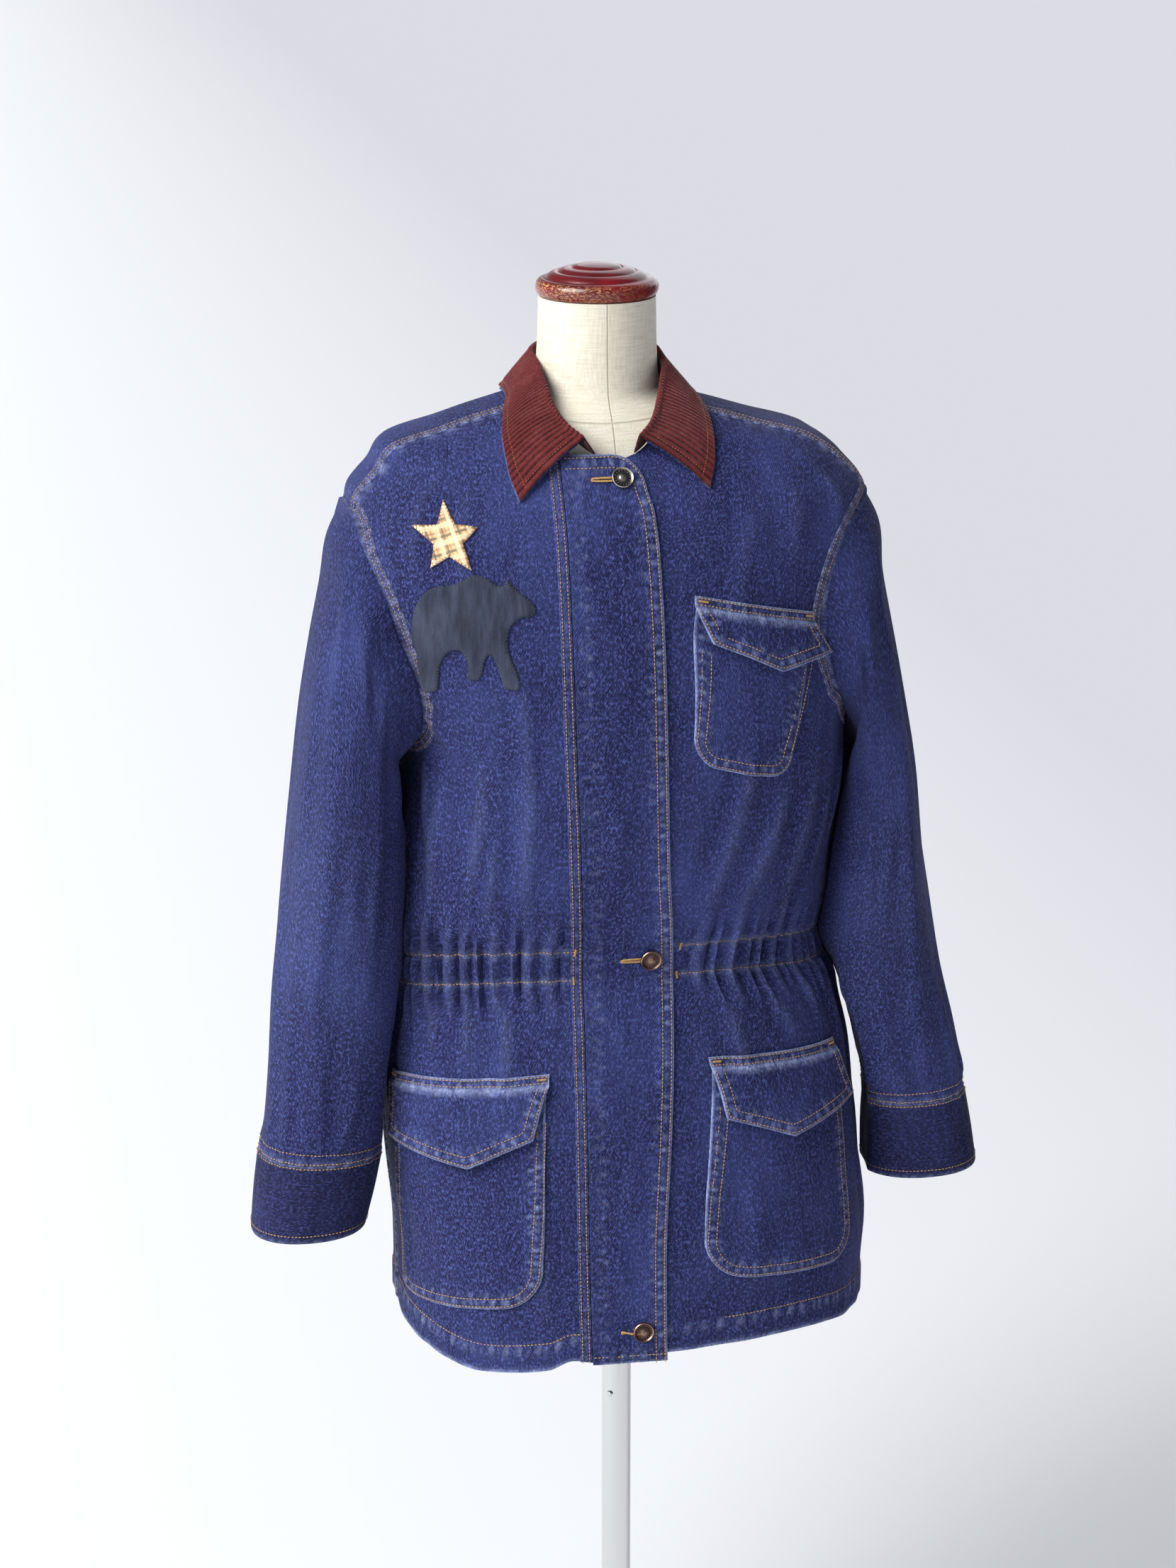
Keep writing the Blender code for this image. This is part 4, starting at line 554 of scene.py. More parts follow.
def layShell(points, out, thick, uv, wear, ring=False):
    # A closed thin wall under a grid of points: rows, columns, 3.
    rows, cols = points.shape[:2]
    inner = points - thick * out
    number = np.arange(rows * cols).reshape(rows, cols)
    uvCols = uv.shape[1]
    uvNumber = np.arange(rows * uvCols).reshape(rows, uvCols)
    last = cols if ring else cols - 1
    c = np.arange(last)
    n = (c + 1) % cols
    quads = np.stack((number[:-1][:, c], number[:-1][:, n], number[1:][:, n], number[1:][:, c]), -1).reshape(-1, 4)
    uvQuads = np.stack((uvNumber[:-1][:, c], uvNumber[:-1][:, c + 1], uvNumber[1:][:, c + 1],
                        uvNumber[1:][:, c]), -1).reshape(-1, 4)
    flat = points.reshape(-1, 3)
    turn = np.cross(flat[quads[:, 2]] - flat[quads[:, 0]], flat[quads[:, 3]] - flat[quads[:, 1]])
    if np.sum(turn * out.reshape(-1, 3)[quads[:, 0]]) < 0:
        quads, uvQuads = quads[:, ::-1], uvQuads[:, ::-1]
    size = rows * cols
    faces, corners = [quads, quads[:, ::-1] + size], [uvQuads, uvQuads[:, ::-1]]
    edges = np.concatenate([np.stack((quads[:, i], quads[:, (i + 1) % 4], uvQuads[:, i], uvQuads[:, (i + 1) % 4]),
                                     1) for i in range(4)])
    key = edges[:, 0] * size + edges[:, 1]
    back = edges[:, 1] * size + edges[:, 0]
    rim = edges[~np.isin(key, back)]
    faces.append(np.stack((rim[:, 1], rim[:, 0], rim[:, 0] + size, rim[:, 1] + size), 1))
    corners.append(np.stack((rim[:, 3], rim[:, 2], rim[:, 2], rim[:, 3]), 1))
    return {"verts": np.concatenate((flat, inner.reshape(-1, 3))), "faces": np.concatenate(faces),
            "uv": uv.reshape(-1, 2)[np.concatenate(corners)], "wear": np.tile(wear.reshape(-1), 2)}


def layShape(points, out, thick, tris, plan, wear):
    # A closed thin wall under triangles.
    size = len(points)
    tris = np.asarray(tris)
    turn = np.cross(points[tris[:, 1]] - points[tris[:, 0]], points[tris[:, 2]] - points[tris[:, 0]])
    if np.sum(turn * out[tris[:, 0]]) < 0:
        tris = tris[:, ::-1]
    edges = np.concatenate([np.stack((tris[:, i], tris[:, (i + 1) % 3]), 1) for i in range(3)])
    rim = edges[~np.isin(edges[:, 0] * size + edges[:, 1], edges[:, 1] * size + edges[:, 0])]
    sides = np.concatenate((np.stack((rim[:, 1], rim[:, 0], rim[:, 0] + size), 1),
                            np.stack((rim[:, 1], rim[:, 0] + size, rim[:, 1] + size), 1)))
    faces = np.concatenate((tris, tris[:, ::-1] + size, sides))
    return {"verts": np.concatenate((points, points - thick * out)), "faces": faces,
            "uv": np.tile(plan, (2, 1))[faces], "wear": np.tile(wear, 2)}


def makePiece(name, mesh, finish, sharp=60.0):
    # The mesh as a piece of the part, shaded smooth but for its sharp edges.
    mesh.shade_smooth()
    mesh.set_sharp_from_angle(angle=math.radians(sharp))
    made = addObject(name, mesh)
    mesh.materials.append(finish)
    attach(made, "root")
    return made


def cageMesh(name, cage):
    mesh = bpy.data.meshes.new(name)
    cage.to_mesh(mesh)
    cage.free()
    return mesh


def makeMesh(name, parts, finish, layer="wear"):
    verts = np.concatenate([p["verts"] for p in parts])
    starts = np.cumsum([0] + [len(p["verts"]) for p in parts])
    faces, uv = [], []
    for part, start in zip(parts, starts):
        faces += (part["faces"] + start).tolist()
        uv.append(part["uv"].reshape(-1, 2))
    mesh = bpy.data.meshes.new(name)
    mesh.from_pydata(verts.tolist(), [], faces)
    mesh.uv_layers.new(name="cloth").data.foreach_set("uv", np.concatenate(uv).astype(np.float32).ravel())
    values = mesh.attributes.new(layer, "FLOAT", "POINT")
    values.data.foreach_set("value", np.concatenate([p["wear"] for p in parts]).astype(np.float32))
    return makePiece(name, mesh, finish)


def gridNormals(points, ring=False):
    along = np.roll(points, -1, 1) - np.roll(points, 1, 1) if ring else np.gradient(points, axis=1)
    return unit(np.cross(np.gradient(points, axis=0), along))


def seamFold(place, path, width, rise=0.0009, lift=0.0, step=0.0026, side=1, wearing=1.0):
    # A felled seam's folded allowance: a low band beside a seam, creased down by its stitches.
    profile = np.array(((0.0, 0.10), (0.05, 0.80), (0.14, 1.0), (0.24, 0.62), (0.36, 0.95), (0.62, 0.95),
                        (0.76, 0.60), (0.88, 1.0), (0.96, 0.75), (1.0, 0.0)))
    path = evenPath(place, path, step)
    run = cumulative(place["at"](path[:, 0], path[:, 1]))
    rows, outs = [], []
    for share, high in profile:
        moved = offsetPath(place, path, np.full(len(path), side * share * width))
        out = placeNormal(place, moved[:, 0], moved[:, 1])
        tall = lift + rise * high * (0.75 + 0.5 * ripple(run + 0.003 * share))
        rows.append(place["at"](moved[:, 0], moved[:, 1]) + tall[:, None] * out)
        outs.append(out)
    points, out = np.array(rows), np.array(outs)
    uv = np.stack(np.broadcast_arrays(profile[:, :1] * width, run[None, :]), -1)
    worn = np.array((0.9, 0.75, 0.3, 0.0, 0.35, 0.35, 0.0, 0.3, 0.65, 0.6))[:, None] \
        * (0.15 + 0.85 * np.clip(2 * ripple(run, 0.0085) - 0.75, 0, 1)[None, :]) * wearing
    return layShell(points, out, 0.0007, uv, worn)


# Stitches, by geometry nodes

def stitchTree():
    # Puts a thread on every step of each row: pitch, length, width and height are its sizes.
    tree = bpy.data.node_groups.new("stitchRows", "GeometryNodeTree")
    face = tree.interface
    face.new_socket("Geometry", in_out="INPUT", socket_type="NodeSocketGeometry")
    for name, value in (("Pitch", 0.0032), ("Length", 0.0026), ("Width", 0.0007), ("Height", 0.0005)):
        socket = face.new_socket(name, in_out="INPUT", socket_type="NodeSocketFloat")
        socket.default_value = value
    face.new_socket("Seed", in_out="INPUT", socket_type="NodeSocketInt")
    face.new_socket("Thread", in_out="INPUT", socket_type="NodeSocketMaterial")
    face.new_socket("Geometry", in_out="OUTPUT", socket_type="NodeSocketGeometry")
    given = addNode(tree, "NodeGroupInput")
    curve = addNode(tree, "GeometryNodeMeshToCurve", links={"Mesh": given.outputs["Geometry"]})
    even = addNode(tree, "GeometryNodeResampleCurve", {"mode": "LENGTH"},
                   links={"Curve": curve.outputs[0], "Length": given.outputs["Pitch"]})
    lay = addNode(tree, "GeometryNodeInputNamedAttribute", {"data_type": "FLOAT_VECTOR"}, {"Name": "lay"})
    out = addNode(tree, "GeometryNodeInputNamedAttribute", {"data_type": "FLOAT_VECTOR"}, {"Name": "out"})
    first = addNode(tree, "FunctionNodeAlignRotationToVector", {"axis": "X"}, links={"Vector": lay.outputs[0]})
    second = addNode(tree, "FunctionNodeAlignRotationToVector", {"axis": "Z", "pivot_axis": "X"},
                     links={"Rotation": first.outputs[0], "Vector": out.outputs[0]})
    size = addNode(tree, "ShaderNodeCombineXYZ", links={0: given.outputs["Length"], 1: given.outputs["Width"],
                                                       2: given.outputs["Height"]})
    chance = addNode(tree, "FunctionNodeRandomValue", {"data_type": "FLOAT_VECTOR"},
                     {0: (0.86, 0.85, 0.85), 1: (1.08, 1.1, 1.1)}, {"Seed": given.outputs["Seed"]})
    scale = addNode(tree, "ShaderNodeVectorMath", {"operation": "MULTIPLY"},
                    links={0: size.outputs[0], 1: chance.outputs[0]})
    grain = addNode(tree, "GeometryNodeMeshIcoSphere", inputs={"Radius": 0.5, "Subdivisions": 1})
    spread = addNode(tree, "GeometryNodeInstanceOnPoints",
                     links={"Points": even.outputs[0], "Instance": grain.outputs["Mesh"],
                            "Rotation": second.outputs[0], "Scale": scale.outputs[0]})
    real = addNode(tree, "GeometryNodeRealizeInstances", links={0: spread.outputs[0]})
    soft = addNode(tree, "GeometryNodeSetShadeSmooth", links={0: real.outputs[0]})
    finish = addNode(tree, "GeometryNodeSetMaterial",
                     links={"Geometry": soft.outputs[0], "Material": given.outputs["Thread"]})
    addNode(tree, "NodeGroupOutput", links={0: finish.outputs[0]})
    return tree


def addNode(tree, kind, settings=None, inputs=None, links=None):
    node = tree.nodes.new(kind)
    for key, value in (settings or {}).items():
        setattr(node, key, value)
    for key, value in (inputs or {}).items():
        node.inputs[key].default_value = value
    for key, socket in (links or {}).items():
        tree.links.new(socket, node.inputs[key])
    return node


stitchNodes = stitchTree()
stitchSizes = {
    # pitch, length, width, height
    "top": (0.0031, 0.0027, 0.00095, 0.00075),
    "fine": (0.0026, 0.0022, 0.00070, 0.00050),
    "satin": (0.00062, 0.0024, 0.00070, 0.00070),
    "whip": (0.0030, 0.0030, 0.00060, 0.00060),
}


def sew(name, rows, thread, kind):
    # Makes one piece of thread from rows of stitches.
    mesh = bpy.data.meshes.new(name)
    points = np.concatenate([row["points"] for row in rows])
    edges, start = [], 0
    for row in rows:
        count = len(row["points"])
        edges += [(start + i, start + i + 1) for i in range(count - 1)]
        start += count
    mesh.from_pydata(points.tolist(), edges, [])
    for layer in ("lay", "out"):
        values = mesh.attributes.new(layer, "FLOAT_VECTOR", "POINT")
        values.data.foreach_set("vector", np.concatenate([row[layer] for row in rows]).astype(np.float32).ravel())
    obj = addObject(name, mesh)
    modifier = obj.modifiers.new("stitches", "NODES")
    modifier.node_group = stitchNodes
    sockets = {item.name: item.identifier for item in stitchNodes.interface.items_tree if item.in_out == "INPUT"}
    for label, value in zip(("Pitch", "Length", "Width", "Height"), stitchSizes[kind]):
        modifier[sockets[label]] = value
    modifier[sockets["Seed"]] = len(rows) + len(name)
    modifier[sockets["Thread"]] = thread
    graph = bpy.context.evaluated_depsgraph_get()
    made = bpy.data.meshes.new_from_object(obj.evaluated_get(graph))
    obj.modifiers.clear()
    obj.data = made
    for layer in [a.name for a in made.attributes if a.name in ("lay", "out")]:
        made.attributes.remove(made.attributes[layer])
    if not made.materials:
        made.materials.append(thread)
    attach(obj, "root")
    print("sewn", name, len(made.polygons))
    return obj


# Finishes

def linear(code):
    values = [int(code[i:i + 2], 16) / 255 for i in (1, 3, 5)]
    return (*[v / 12.92 if v <= 0.04045 else ((v + 0.055) / 1.055) ** 2.4 for v in values], 1.0)


def newFinish(name, **values):
    finish = bpy.data.materials.new(name)
    finish.use_nodes = True
    shader = finish.node_tree.nodes["Principled BSDF"]
    for key, value in values.items():
        shader.inputs[key.replace("_", " ")].default_value = value
    return finish, finish.node_tree, shader


def blendColour(tree, share, low, high, mode="MIX"):
    # Mixes two colours, each a socket or a hex value, by a socket or a number.
    node = addNode(tree, "ShaderNodeMix", {"data_type": "RGBA", "blend_type": mode, "clamp_factor": True})
    for index, value in ((0, share), (6, low), (7, high)):
        if isinstance(value, str):
            node.inputs[index].default_value = linear(value)
        elif isinstance(value, (int, float)):
            node.inputs[index].default_value = value
        else:
            tree.links.new(value, node.inputs[index])
    return node.outputs[2]


def ranged(tree, socket, low, high, toLow=0.0, toHigh=1.0):
    node = addNode(tree, "ShaderNodeMapRange", inputs={1: low, 2: high, 3: toLow, 4: toHigh}, links={0: socket})
    return node.outputs[0]


def sums(tree, kind, a, b=None):
    node = addNode(tree, "ShaderNodeMath", {"operation": kind})
    for index, value in ((0, a), (1, b)):
        if isinstance(value, (int, float)):
            node.inputs[index].default_value = value
        elif value is not None:
            tree.links.new(value, node.inputs[index])
    return node.outputs[0]


def grainNoise(tree, vector, scale, detail=2.0, rough=0.5):
    # Noise with its own scale on each axis, per metre.
    spot = addNode(tree, "ShaderNodeMapping", inputs={"Scale": scale}, links={"Vector": vector})
    noise = addNode(tree, "ShaderNodeTexNoise", inputs={"Scale": 1.0, "Detail": detail, "Roughness": rough},
                    links={"Vector": spot.outputs[0]})
    return noise.outputs[0]


def bumped(tree, shader, height, distance, strength=1.0):
    node = addNode(tree, "ShaderNodeBump", inputs={"Strength": strength, "Distance": distance},
                   links={"Height": height})
    tree.links.new(node.outputs[0], shader.inputs["Normal"])


def denimFinish(name, dark, middle, light, worn):
    # Rope-dyed indigo twill, washed: white weft shows as flecks and long slubs, edges wear pale
    finish, tree, shader = newFinish(name, Roughness=0.85, Sheen_Weight=0.03, Sheen_Roughness=0.45,
                                     Specular_IOR_Level=0.20)
    uv = addNode(tree, "ShaderNodeUVMap", {"uv_map": "cloth"}).outputs[0]
    where = addNode(tree, "ShaderNodeTexCoord").outputs["Object"]
    slub = grainNoise(tree, uv, (760.0, 34.0, 1.0), 3.0, 0.65)      # warp threads, drawn 1.3 mm apart
    broad = grainNoise(tree, uv, (190.0, 9.0, 1.0), 2.0, 0.5)       # slow streaks about 5 mm wide
    fleck = grainNoise(tree, uv, (540.0, 330.0, 1.0), 2.0, 0.75)    # weft flecks, drawn 2 to 3 mm long
    salt = grainNoise(tree, uv, (270.0, 150.0, 1.0), 3.0, 0.6)      # where the flecks gather, 5 mm apart
    cloud = grainNoise(tree, where, (13.0, 13.0, 8.0), 3.0, 0.55)   # wash marks 8 cm across
    crinkle = grainNoise(tree, where, (80.0, 80.0, 46.0), 3.0, 0.6)     # crumpling 12 mm across
    twill = addNode(tree, "ShaderNodeVectorMath", {"operation": "DOT_PRODUCT"}, {1: (2946.0, -1501.0, 0.0)},
                    {0: uv})                                        # right-hand twill, drawn 1.9 mm apart
    rib = sums(tree, "SINE", twill.outputs["Value"])
    colour = blendColour(tree, ranged(tree, slub, 0.36, 0.66), dark, middle)
    colour = blendColour(tree, ranged(tree, rib, -0.2, 1.0, 0.0, 0.22), colour, light)
    colour = blendColour(tree, ranged(tree, salt, 0.50, 0.68, 0.0, 0.30), colour, light)
    colour = blendColour(tree, ranged(tree, fleck, 0.52, 0.64, 0.0, 0.85), colour, light)
    colour = blendColour(tree, ranged(tree, fleck, 0.47, 0.36, 0.0, 0.75), colour, dark)
    colour = blendColour(tree, ranged(tree, broad, 0.42, 0.72, 0.0, 0.40), colour, middle)
    colour = blendColour(tree, ranged(tree, cloud, 0.46, 0.74, 0.0, 0.30), colour, light)
    wear = addNode(tree, "ShaderNodeAttribute", {"attribute_name": "wear"}).outputs["Fac"]
    rubbed = grainNoise(tree, where, (420.0, 420.0, 420.0), 3.0, 0.65)      # broken wear, 2 to 3 mm spots
    mask = sums(tree, "MULTIPLY", wear, ranged(tree, rubbed, 0.30, 0.60, 0.25, 1.0))
    colour = blendColour(tree, mask, colour, worn)
    tree.links.new(colour, shader.inputs["Base Color"])
    height = sums(tree, "ADD", sums(tree, "MULTIPLY", rib, 0.06), sums(tree, "MULTIPLY", slub, 0.45))
    height = sums(tree, "ADD", height, sums(tree, "MULTIPLY", crinkle, 2.4))
    bumped(tree, shader, height, 0.0012, 0.8)
    return finish


def corduroyFinish():
    # Cotton corduroy, brown-red: painted shade darkens the grooves between the wales and a painted highlight
    # lightens each wale's top
    finish, tree, shader = newFinish("corduroyPile", Roughness=0.95, Sheen_Weight=0.35, Sheen_Roughness=0.35,
                                     Specular_IOR_Level=0.10)
    wale = addNode(tree, "ShaderNodeAttribute", {"attribute_name": "wale"}).outputs["Fac"]
    where = addNode(tree, "ShaderNodeTexCoord").outputs["Object"]
    pile = grainNoise(tree, where, (900.0, 900.0, 900.0), 2.0, 0.6)      # pile tufts about 1 mm
    patch = grainNoise(tree, where, (70.0, 70.0, 70.0), 3.0, 0.6)        # brushed patches 15 mm across
    # painted shade and painted highlight: dark in the grooves between the wales, light on their tops
    colour = blendColour(tree, ranged(tree, wale, 0.05, 0.80), "#1e090b", "#5e2426")
    colour = blendColour(tree, ranged(tree, pile, 0.42, 0.75, 0.0, 0.5), colour, "#7b3b3c")
    colour = blendColour(tree, ranged(tree, patch, 0.5, 0.75, 0.0, 0.35), colour, "#854644")
    tree.links.new(colour, shader.inputs["Base Color"])
    bumped(tree, shader, sums(tree, "MULTIPLY", pile, 1.0), 0.0006, 0.8)
    return finish


def plaidFinish():
    # Yarn-dyed cotton plaid: cream ground, rust stripes 3.7 mm apart, green lines 12 mm apart
    finish, tree, shader = newFinish("plaidCotton", Roughness=0.88, Sheen_Weight=0.08)
    uv = addNode(tree, "ShaderNodeUVMap", {"uv_map": "cloth"}).outputs[0]
    turned = addNode(tree, "ShaderNodeMapping", inputs={"Rotation": (0.0, 0.0, math.radians(-17))},
                     links={"Vector": uv})
    parts = addNode(tree, "ShaderNodeSeparateXYZ", links={0: turned.outputs[0]})
    colour = None
    weave = grainNoise(tree, uv, (1600.0, 1600.0, 1.0), 1.0, 0.5)
    for pitch, wide, code, strength, push in ((0.0037, 0.34, "#a5502f", 0.58, 0.0),
                                              (0.0120, 0.085, "#35492f", 0.85, 0.0018),
                                              (0.0120, 0.24, "#f4dfb6", 0.55, 0.0062)):
        for axis in (0, 1):
            at = sums(tree, "MULTIPLY", sums(tree, "ADD", parts.outputs[axis], push), 1 / pitch)
            saw = sums(tree, "PINGPONG", at, 0.5)
            line = ranged(tree, saw, wide * 0.5, wide * 0.5 + 0.06, strength, 0.0)
            colour = blendColour(tree, line, colour if colour is not None else "#e3b684", code)
    colour = blendColour(tree, ranged(tree, weave, 0.35, 0.7, 0.0, 0.25), colour, "#f6e6cc")
    tree.links.new(colour, shader.inputs["Base Color"])
    bumped(tree, shader, weave, 0.0003, 0.6)
    return finish


def cottonFinish():
    # Washed black cotton lawn, gone charcoal: matt, with soft pressed creases running down, painted darker in their
    # hollows and lighter on their crests
    finish, tree, shader = newFinish("charcoalCotton", Roughness=0.80, Sheen_Weight=0.12, Sheen_Roughness=0.5,
                                     Specular_IOR_Level=0.25)
    uv = addNode(tree, "ShaderNodeUVMap", {"uv_map": "cloth"}).outputs[0]
    creases = grainNoise(tree, uv, (120.0, 26.0, 1.0), 3.0, 0.55)       # creases 8 mm apart
    weave = grainNoise(tree, uv, (1500.0, 1500.0, 1.0), 1.0, 0.5)
    # painted shade in the crease hollows and painted highlight on the crests, from the same noise as the crease bump
    colour = blendColour(tree, ranged(tree, creases, 0.38, 0.70), "#1a1f2e", "#394054")
    colour = blendColour(tree, ranged(tree, weave, 0.4, 0.8, 0.0, 0.4), colour, "#4f5770")
    tree.links.new(colour, shader.inputs["Base Color"])
    height = sums(tree, "ADD", sums(tree, "MULTIPLY", creases, 1.0), sums(tree, "MULTIPLY", weave, 0.08))
    bumped(tree, shader, height, 0.0022, 0.8)
    return finish


formSeams = {"x": -0.0185, "width": 0.0007, "frontZ": 1.2440, "rise": 1.6}


def linenFinish():
    # Unbleached linen stretched over the form: slubby plain weave, sewn seams, faint soil in patches
    finish, tree, shader = newFinish("stretchedLinen", Roughness=0.90, Sheen_Weight=0.10,
                                     Specular_IOR_Level=0.2)
    where = addNode(tree, "ShaderNodeTexCoord").outputs["Object"]
    warp = grainNoise(tree, where, (1100.0, 1100.0, 60.0), 2.0, 0.6)    # threads 0.9 mm, drawn coarse
    weft = grainNoise(tree, where, (60.0, 60.0, 1100.0), 2.0, 0.6)
    soil = grainNoise(tree, where, (22.0, 22.0, 14.0), 3.0, 0.55)
    threads = sums(tree, "ADD", warp, weft)
    colour = blendColour(tree, ranged(tree, threads, 0.7, 1.3), "#c9c2b0", "#e6e0d2")
    colour = blendColour(tree, ranged(tree, soil, 0.5, 0.8, 0.0, 0.4), colour, "#cdbf9f")
    parts = addNode(tree, "ShaderNodeSeparateXYZ", links={0: where})
    x, z = parts.outputs[0], parts.outputs[2]
    fromSeam = sums(tree, "ABSOLUTE", sums(tree, "SUBTRACT", x, formSeams["x"]))
    centreSeam = ranged(tree, fromSeam, formSeams["width"] * 0.4, formSeams["width"], 1.0, 0.0)
    square = sums(tree, "MULTIPLY", sums(tree, "MULTIPLY", fromSeam, fromSeam), formSeams["rise"])
    level = sums(tree, "SUBTRACT", sums(tree, "SUBTRACT", z, square), formSeams["frontZ"])
    neckSeam = ranged(tree, sums(tree, "ABSOLUTE", level), formSeams["width"] * 0.4, formSeams["width"], 1.0, 0.0)
    seam = sums(tree, "MAXIMUM", centreSeam, neckSeam)
    colour = blendColour(tree, sums(tree, "MULTIPLY", seam, 0.45), colour, "#8d8268")
    tree.links.new(colour, shader.inputs["Base Color"])
    height = sums(tree, "SUBTRACT", sums(tree, "MULTIPLY", threads, 0.5), sums(tree, "MULTIPLY", seam, 1.2))
    bumped(tree, shader, height, 0.0005, 0.7)
    return finish


def lacquerFinish():
    # Dark red lacquer on turned wood: hard gloss, chipped to the pale wood along the rim
    finish, tree, shader = newFinish("redLacquer", Roughness=0.30, Coat_Weight=0.35, Coat_Roughness=0.08)
    where = addNode(tree, "ShaderNodeTexCoord").outputs["Object"]
    tone = grainNoise(tree, where, (30.0, 30.0, 120.0), 3.0, 0.6)
    colour = blendColour(tree, ranged(tree, tone, 0.35, 0.7), "#4d0a10", "#7c121b")
    chips = grainNoise(tree, where, (330.0, 330.0, 900.0), 3.0, 0.7)    # chips 2 to 4 mm long
    edge = addNode(tree, "ShaderNodeAttribute", {"attribute_name": "edge"}).outputs["Fac"]
    parts = addNode(tree, "ShaderNodeSeparateXYZ", links={0: where})
    knocked = ranged(tree, parts.outputs[0], 0.012, -0.055, 0.25, 1.0)    # it was knocked on the right
    bare = sums(tree, "MULTIPLY", ranged(tree, chips, 0.52, 0.56), sums(tree, "MULTIPLY", edge, knocked))
    colour = blendColour(tree, bare, colour, "#c9935e")
    tree.links.new(colour, shader.inputs["Base Color"])
    bumped(tree, shader, sums(tree, "SUBTRACT", sums(tree, "MULTIPLY", tone, 0.1), bare), 0.0003, 0.6)
    return finish


def chromeFinish():
    # Chrome-plated steel tube: a clear mirror with faint wiping marks
    finish, tree, shader = newFinish("chromePlate", Metallic=1.0, Base_Color=linear("#dcdcdc"))
    where = addNode(tree, "ShaderNodeTexCoord").outputs["Object"]
    marks = grainNoise(tree, where, (260.0, 260.0, 9.0), 2.0, 0.6)
    tree.links.new(ranged(tree, marks, 0.3, 0.7, 0.04, 0.10), shader.inputs["Roughness"])
    return finish


def buttonFinish(name, low, high):
    # Die-struck metal, antique plated: dark in the recesses and rubbed bright on what stands up
    finish, tree, shader = newFinish(name, Metallic=1.0, Roughness=0.34)
    raised = addNode(tree, "ShaderNodeAttribute", {"attribute_name": "raised"}).outputs["Fac"]
    where = addNode(tree, "ShaderNodeTexCoord").outputs["Object"]
    tarnish = grainNoise(tree, where, (700.0, 700.0, 700.0), 3.0, 0.6)
    mask = sums(tree, "MULTIPLY", raised, ranged(tree, tarnish, 0.25, 0.55, 0.5, 1.0))
    tree.links.new(blendColour(tree, mask, low, high), shader.inputs["Base Color"])
    bumped(tree, shader, tarnish, 0.0002, 0.5)
    return finish


def threadFinish(name, dark, light):
    # Spun polyester thread: twisted, so light and dark change within a stitch
    finish, tree, shader = newFinish(name, Roughness=0.62, Sheen_Weight=0.15)
    where = addNode(tree, "ShaderNodeTexCoord").outputs["Object"]
    twist = grainNoise(tree, where, (1300.0, 1300.0, 1300.0), 2.0, 0.6)
    tree.links.new(blendColour(tree, ranged(tree, twist, 0.35, 0.68), dark, light), shader.inputs["Base Color"])
    bumped(tree, shader, twist, 0.0002, 0.6)
    return finish


def steelFinish():
    # Powder-coated steel: satin, off-white, with the coat's slight orange peel
    finish, tree, shader = newFinish("powderCoat", Roughness=0.42)
    where = addNode(tree, "ShaderNodeTexCoord").outputs["Object"]
    peel = grainNoise(tree, where, (600.0, 600.0, 600.0), 2.0, 0.5)
    scuff = grainNoise(tree, where, (30.0, 60.0, 30.0), 3.0, 0.6)
    tree.links.new(blendColour(tree, ranged(tree, scuff, 0.45, 0.8), "#d9d8d4", "#c2c0ba"),
                   shader.inputs["Base Color"])
    bumped(tree, shader, peel, 0.0002, 0.4)
    return finish


denim = denimFinish("indigoDenim", "#0e0f2c", "#1d204c", "#4c5798", "#9fabd4")
cuffDenim = denimFinish("cuffDenim", "#0c0d26", "#17193e", "#3b437a", "#8b96c0")
corduroy = corduroyFinish()
plaid = plaidFinish()
cotton = cottonFinish()
linen = linenFinish()
lacquer = lacquerFinish()
chrome = chromeFinish()
silverButton = buttonFinish("antiqueSilver", "#4a4644", "#b9b3ab")
copperButton = buttonFinish("antiqueCopper", "#4b3a35", "#a98a7c")
powderCoat = steelFinish()
tanThread = threadFinish("tanThread", "#8a6c42", "#c9a06a")
paleThread = threadFinish("holeThread", "#9c763c", "#d0a560")
rustThread = threadFinish("rustThread", "#6e3d27", "#a5663f")
inkThread = threadFinish("inkThread", "#14181f", "#2c333e")
print("finishes made")


# The body's panels

panelSizes = {"seamRows": 34, "armRows": 74, "frontColumns": 88, "backColumns": 172, "rowStep": 0.0038,
              "hemLevel": 0.4820, "hemReach": 0.080, "yokeRows": 38, "perStep": 6}


def lowRows():
    # Heights under the armholes, closer at the waist channel and at the hem.
    z, rows = armholeSizes["z"] - armholeSizes["half"] - cloth["halfSeam"], []
    while z > panelSizes["hemLevel"] + 0.001:
        rows.append(z)
        near = abs(z - waist["z"]) < 0.026 or z < panelSizes["hemLevel"] + 0.030
        z -= panelSizes["rowStep"] * (0.62 if near else 1.0)
    return np.array(rows + [panelSizes["hemLevel"]])


def rowBend(u, z):
    # Rows follow the waist channel's dip, and the hem's line at the foot.
    toWaist = (waistLine(u) - waist["z"]) * window((z - waist["z"]) / 0.15)
    toHem = (hemHeight(u) - panelSizes["hemLevel"]) * ease(1 - (z - panelSizes["hemLevel"]) / panelSizes["hemReach"])
    return toWaist + toHem


def frontEdge(side, z):
    top = seamTop(side)[1] + 1
    atNeck = np.where(z > neckHeights[0], np.interp(z, neckHeights[:top], neckAngles[:top]), 0.0)
    if side > 0:
        return np.maximum(angleAtX(placketSizes["leftUnder"], z), atNeck + 0.3)
    return np.minimum(angleAtX(smooth(placketTable, 1, z) + placketSizes["frontUnder"], z), -atNeck - 0.3)


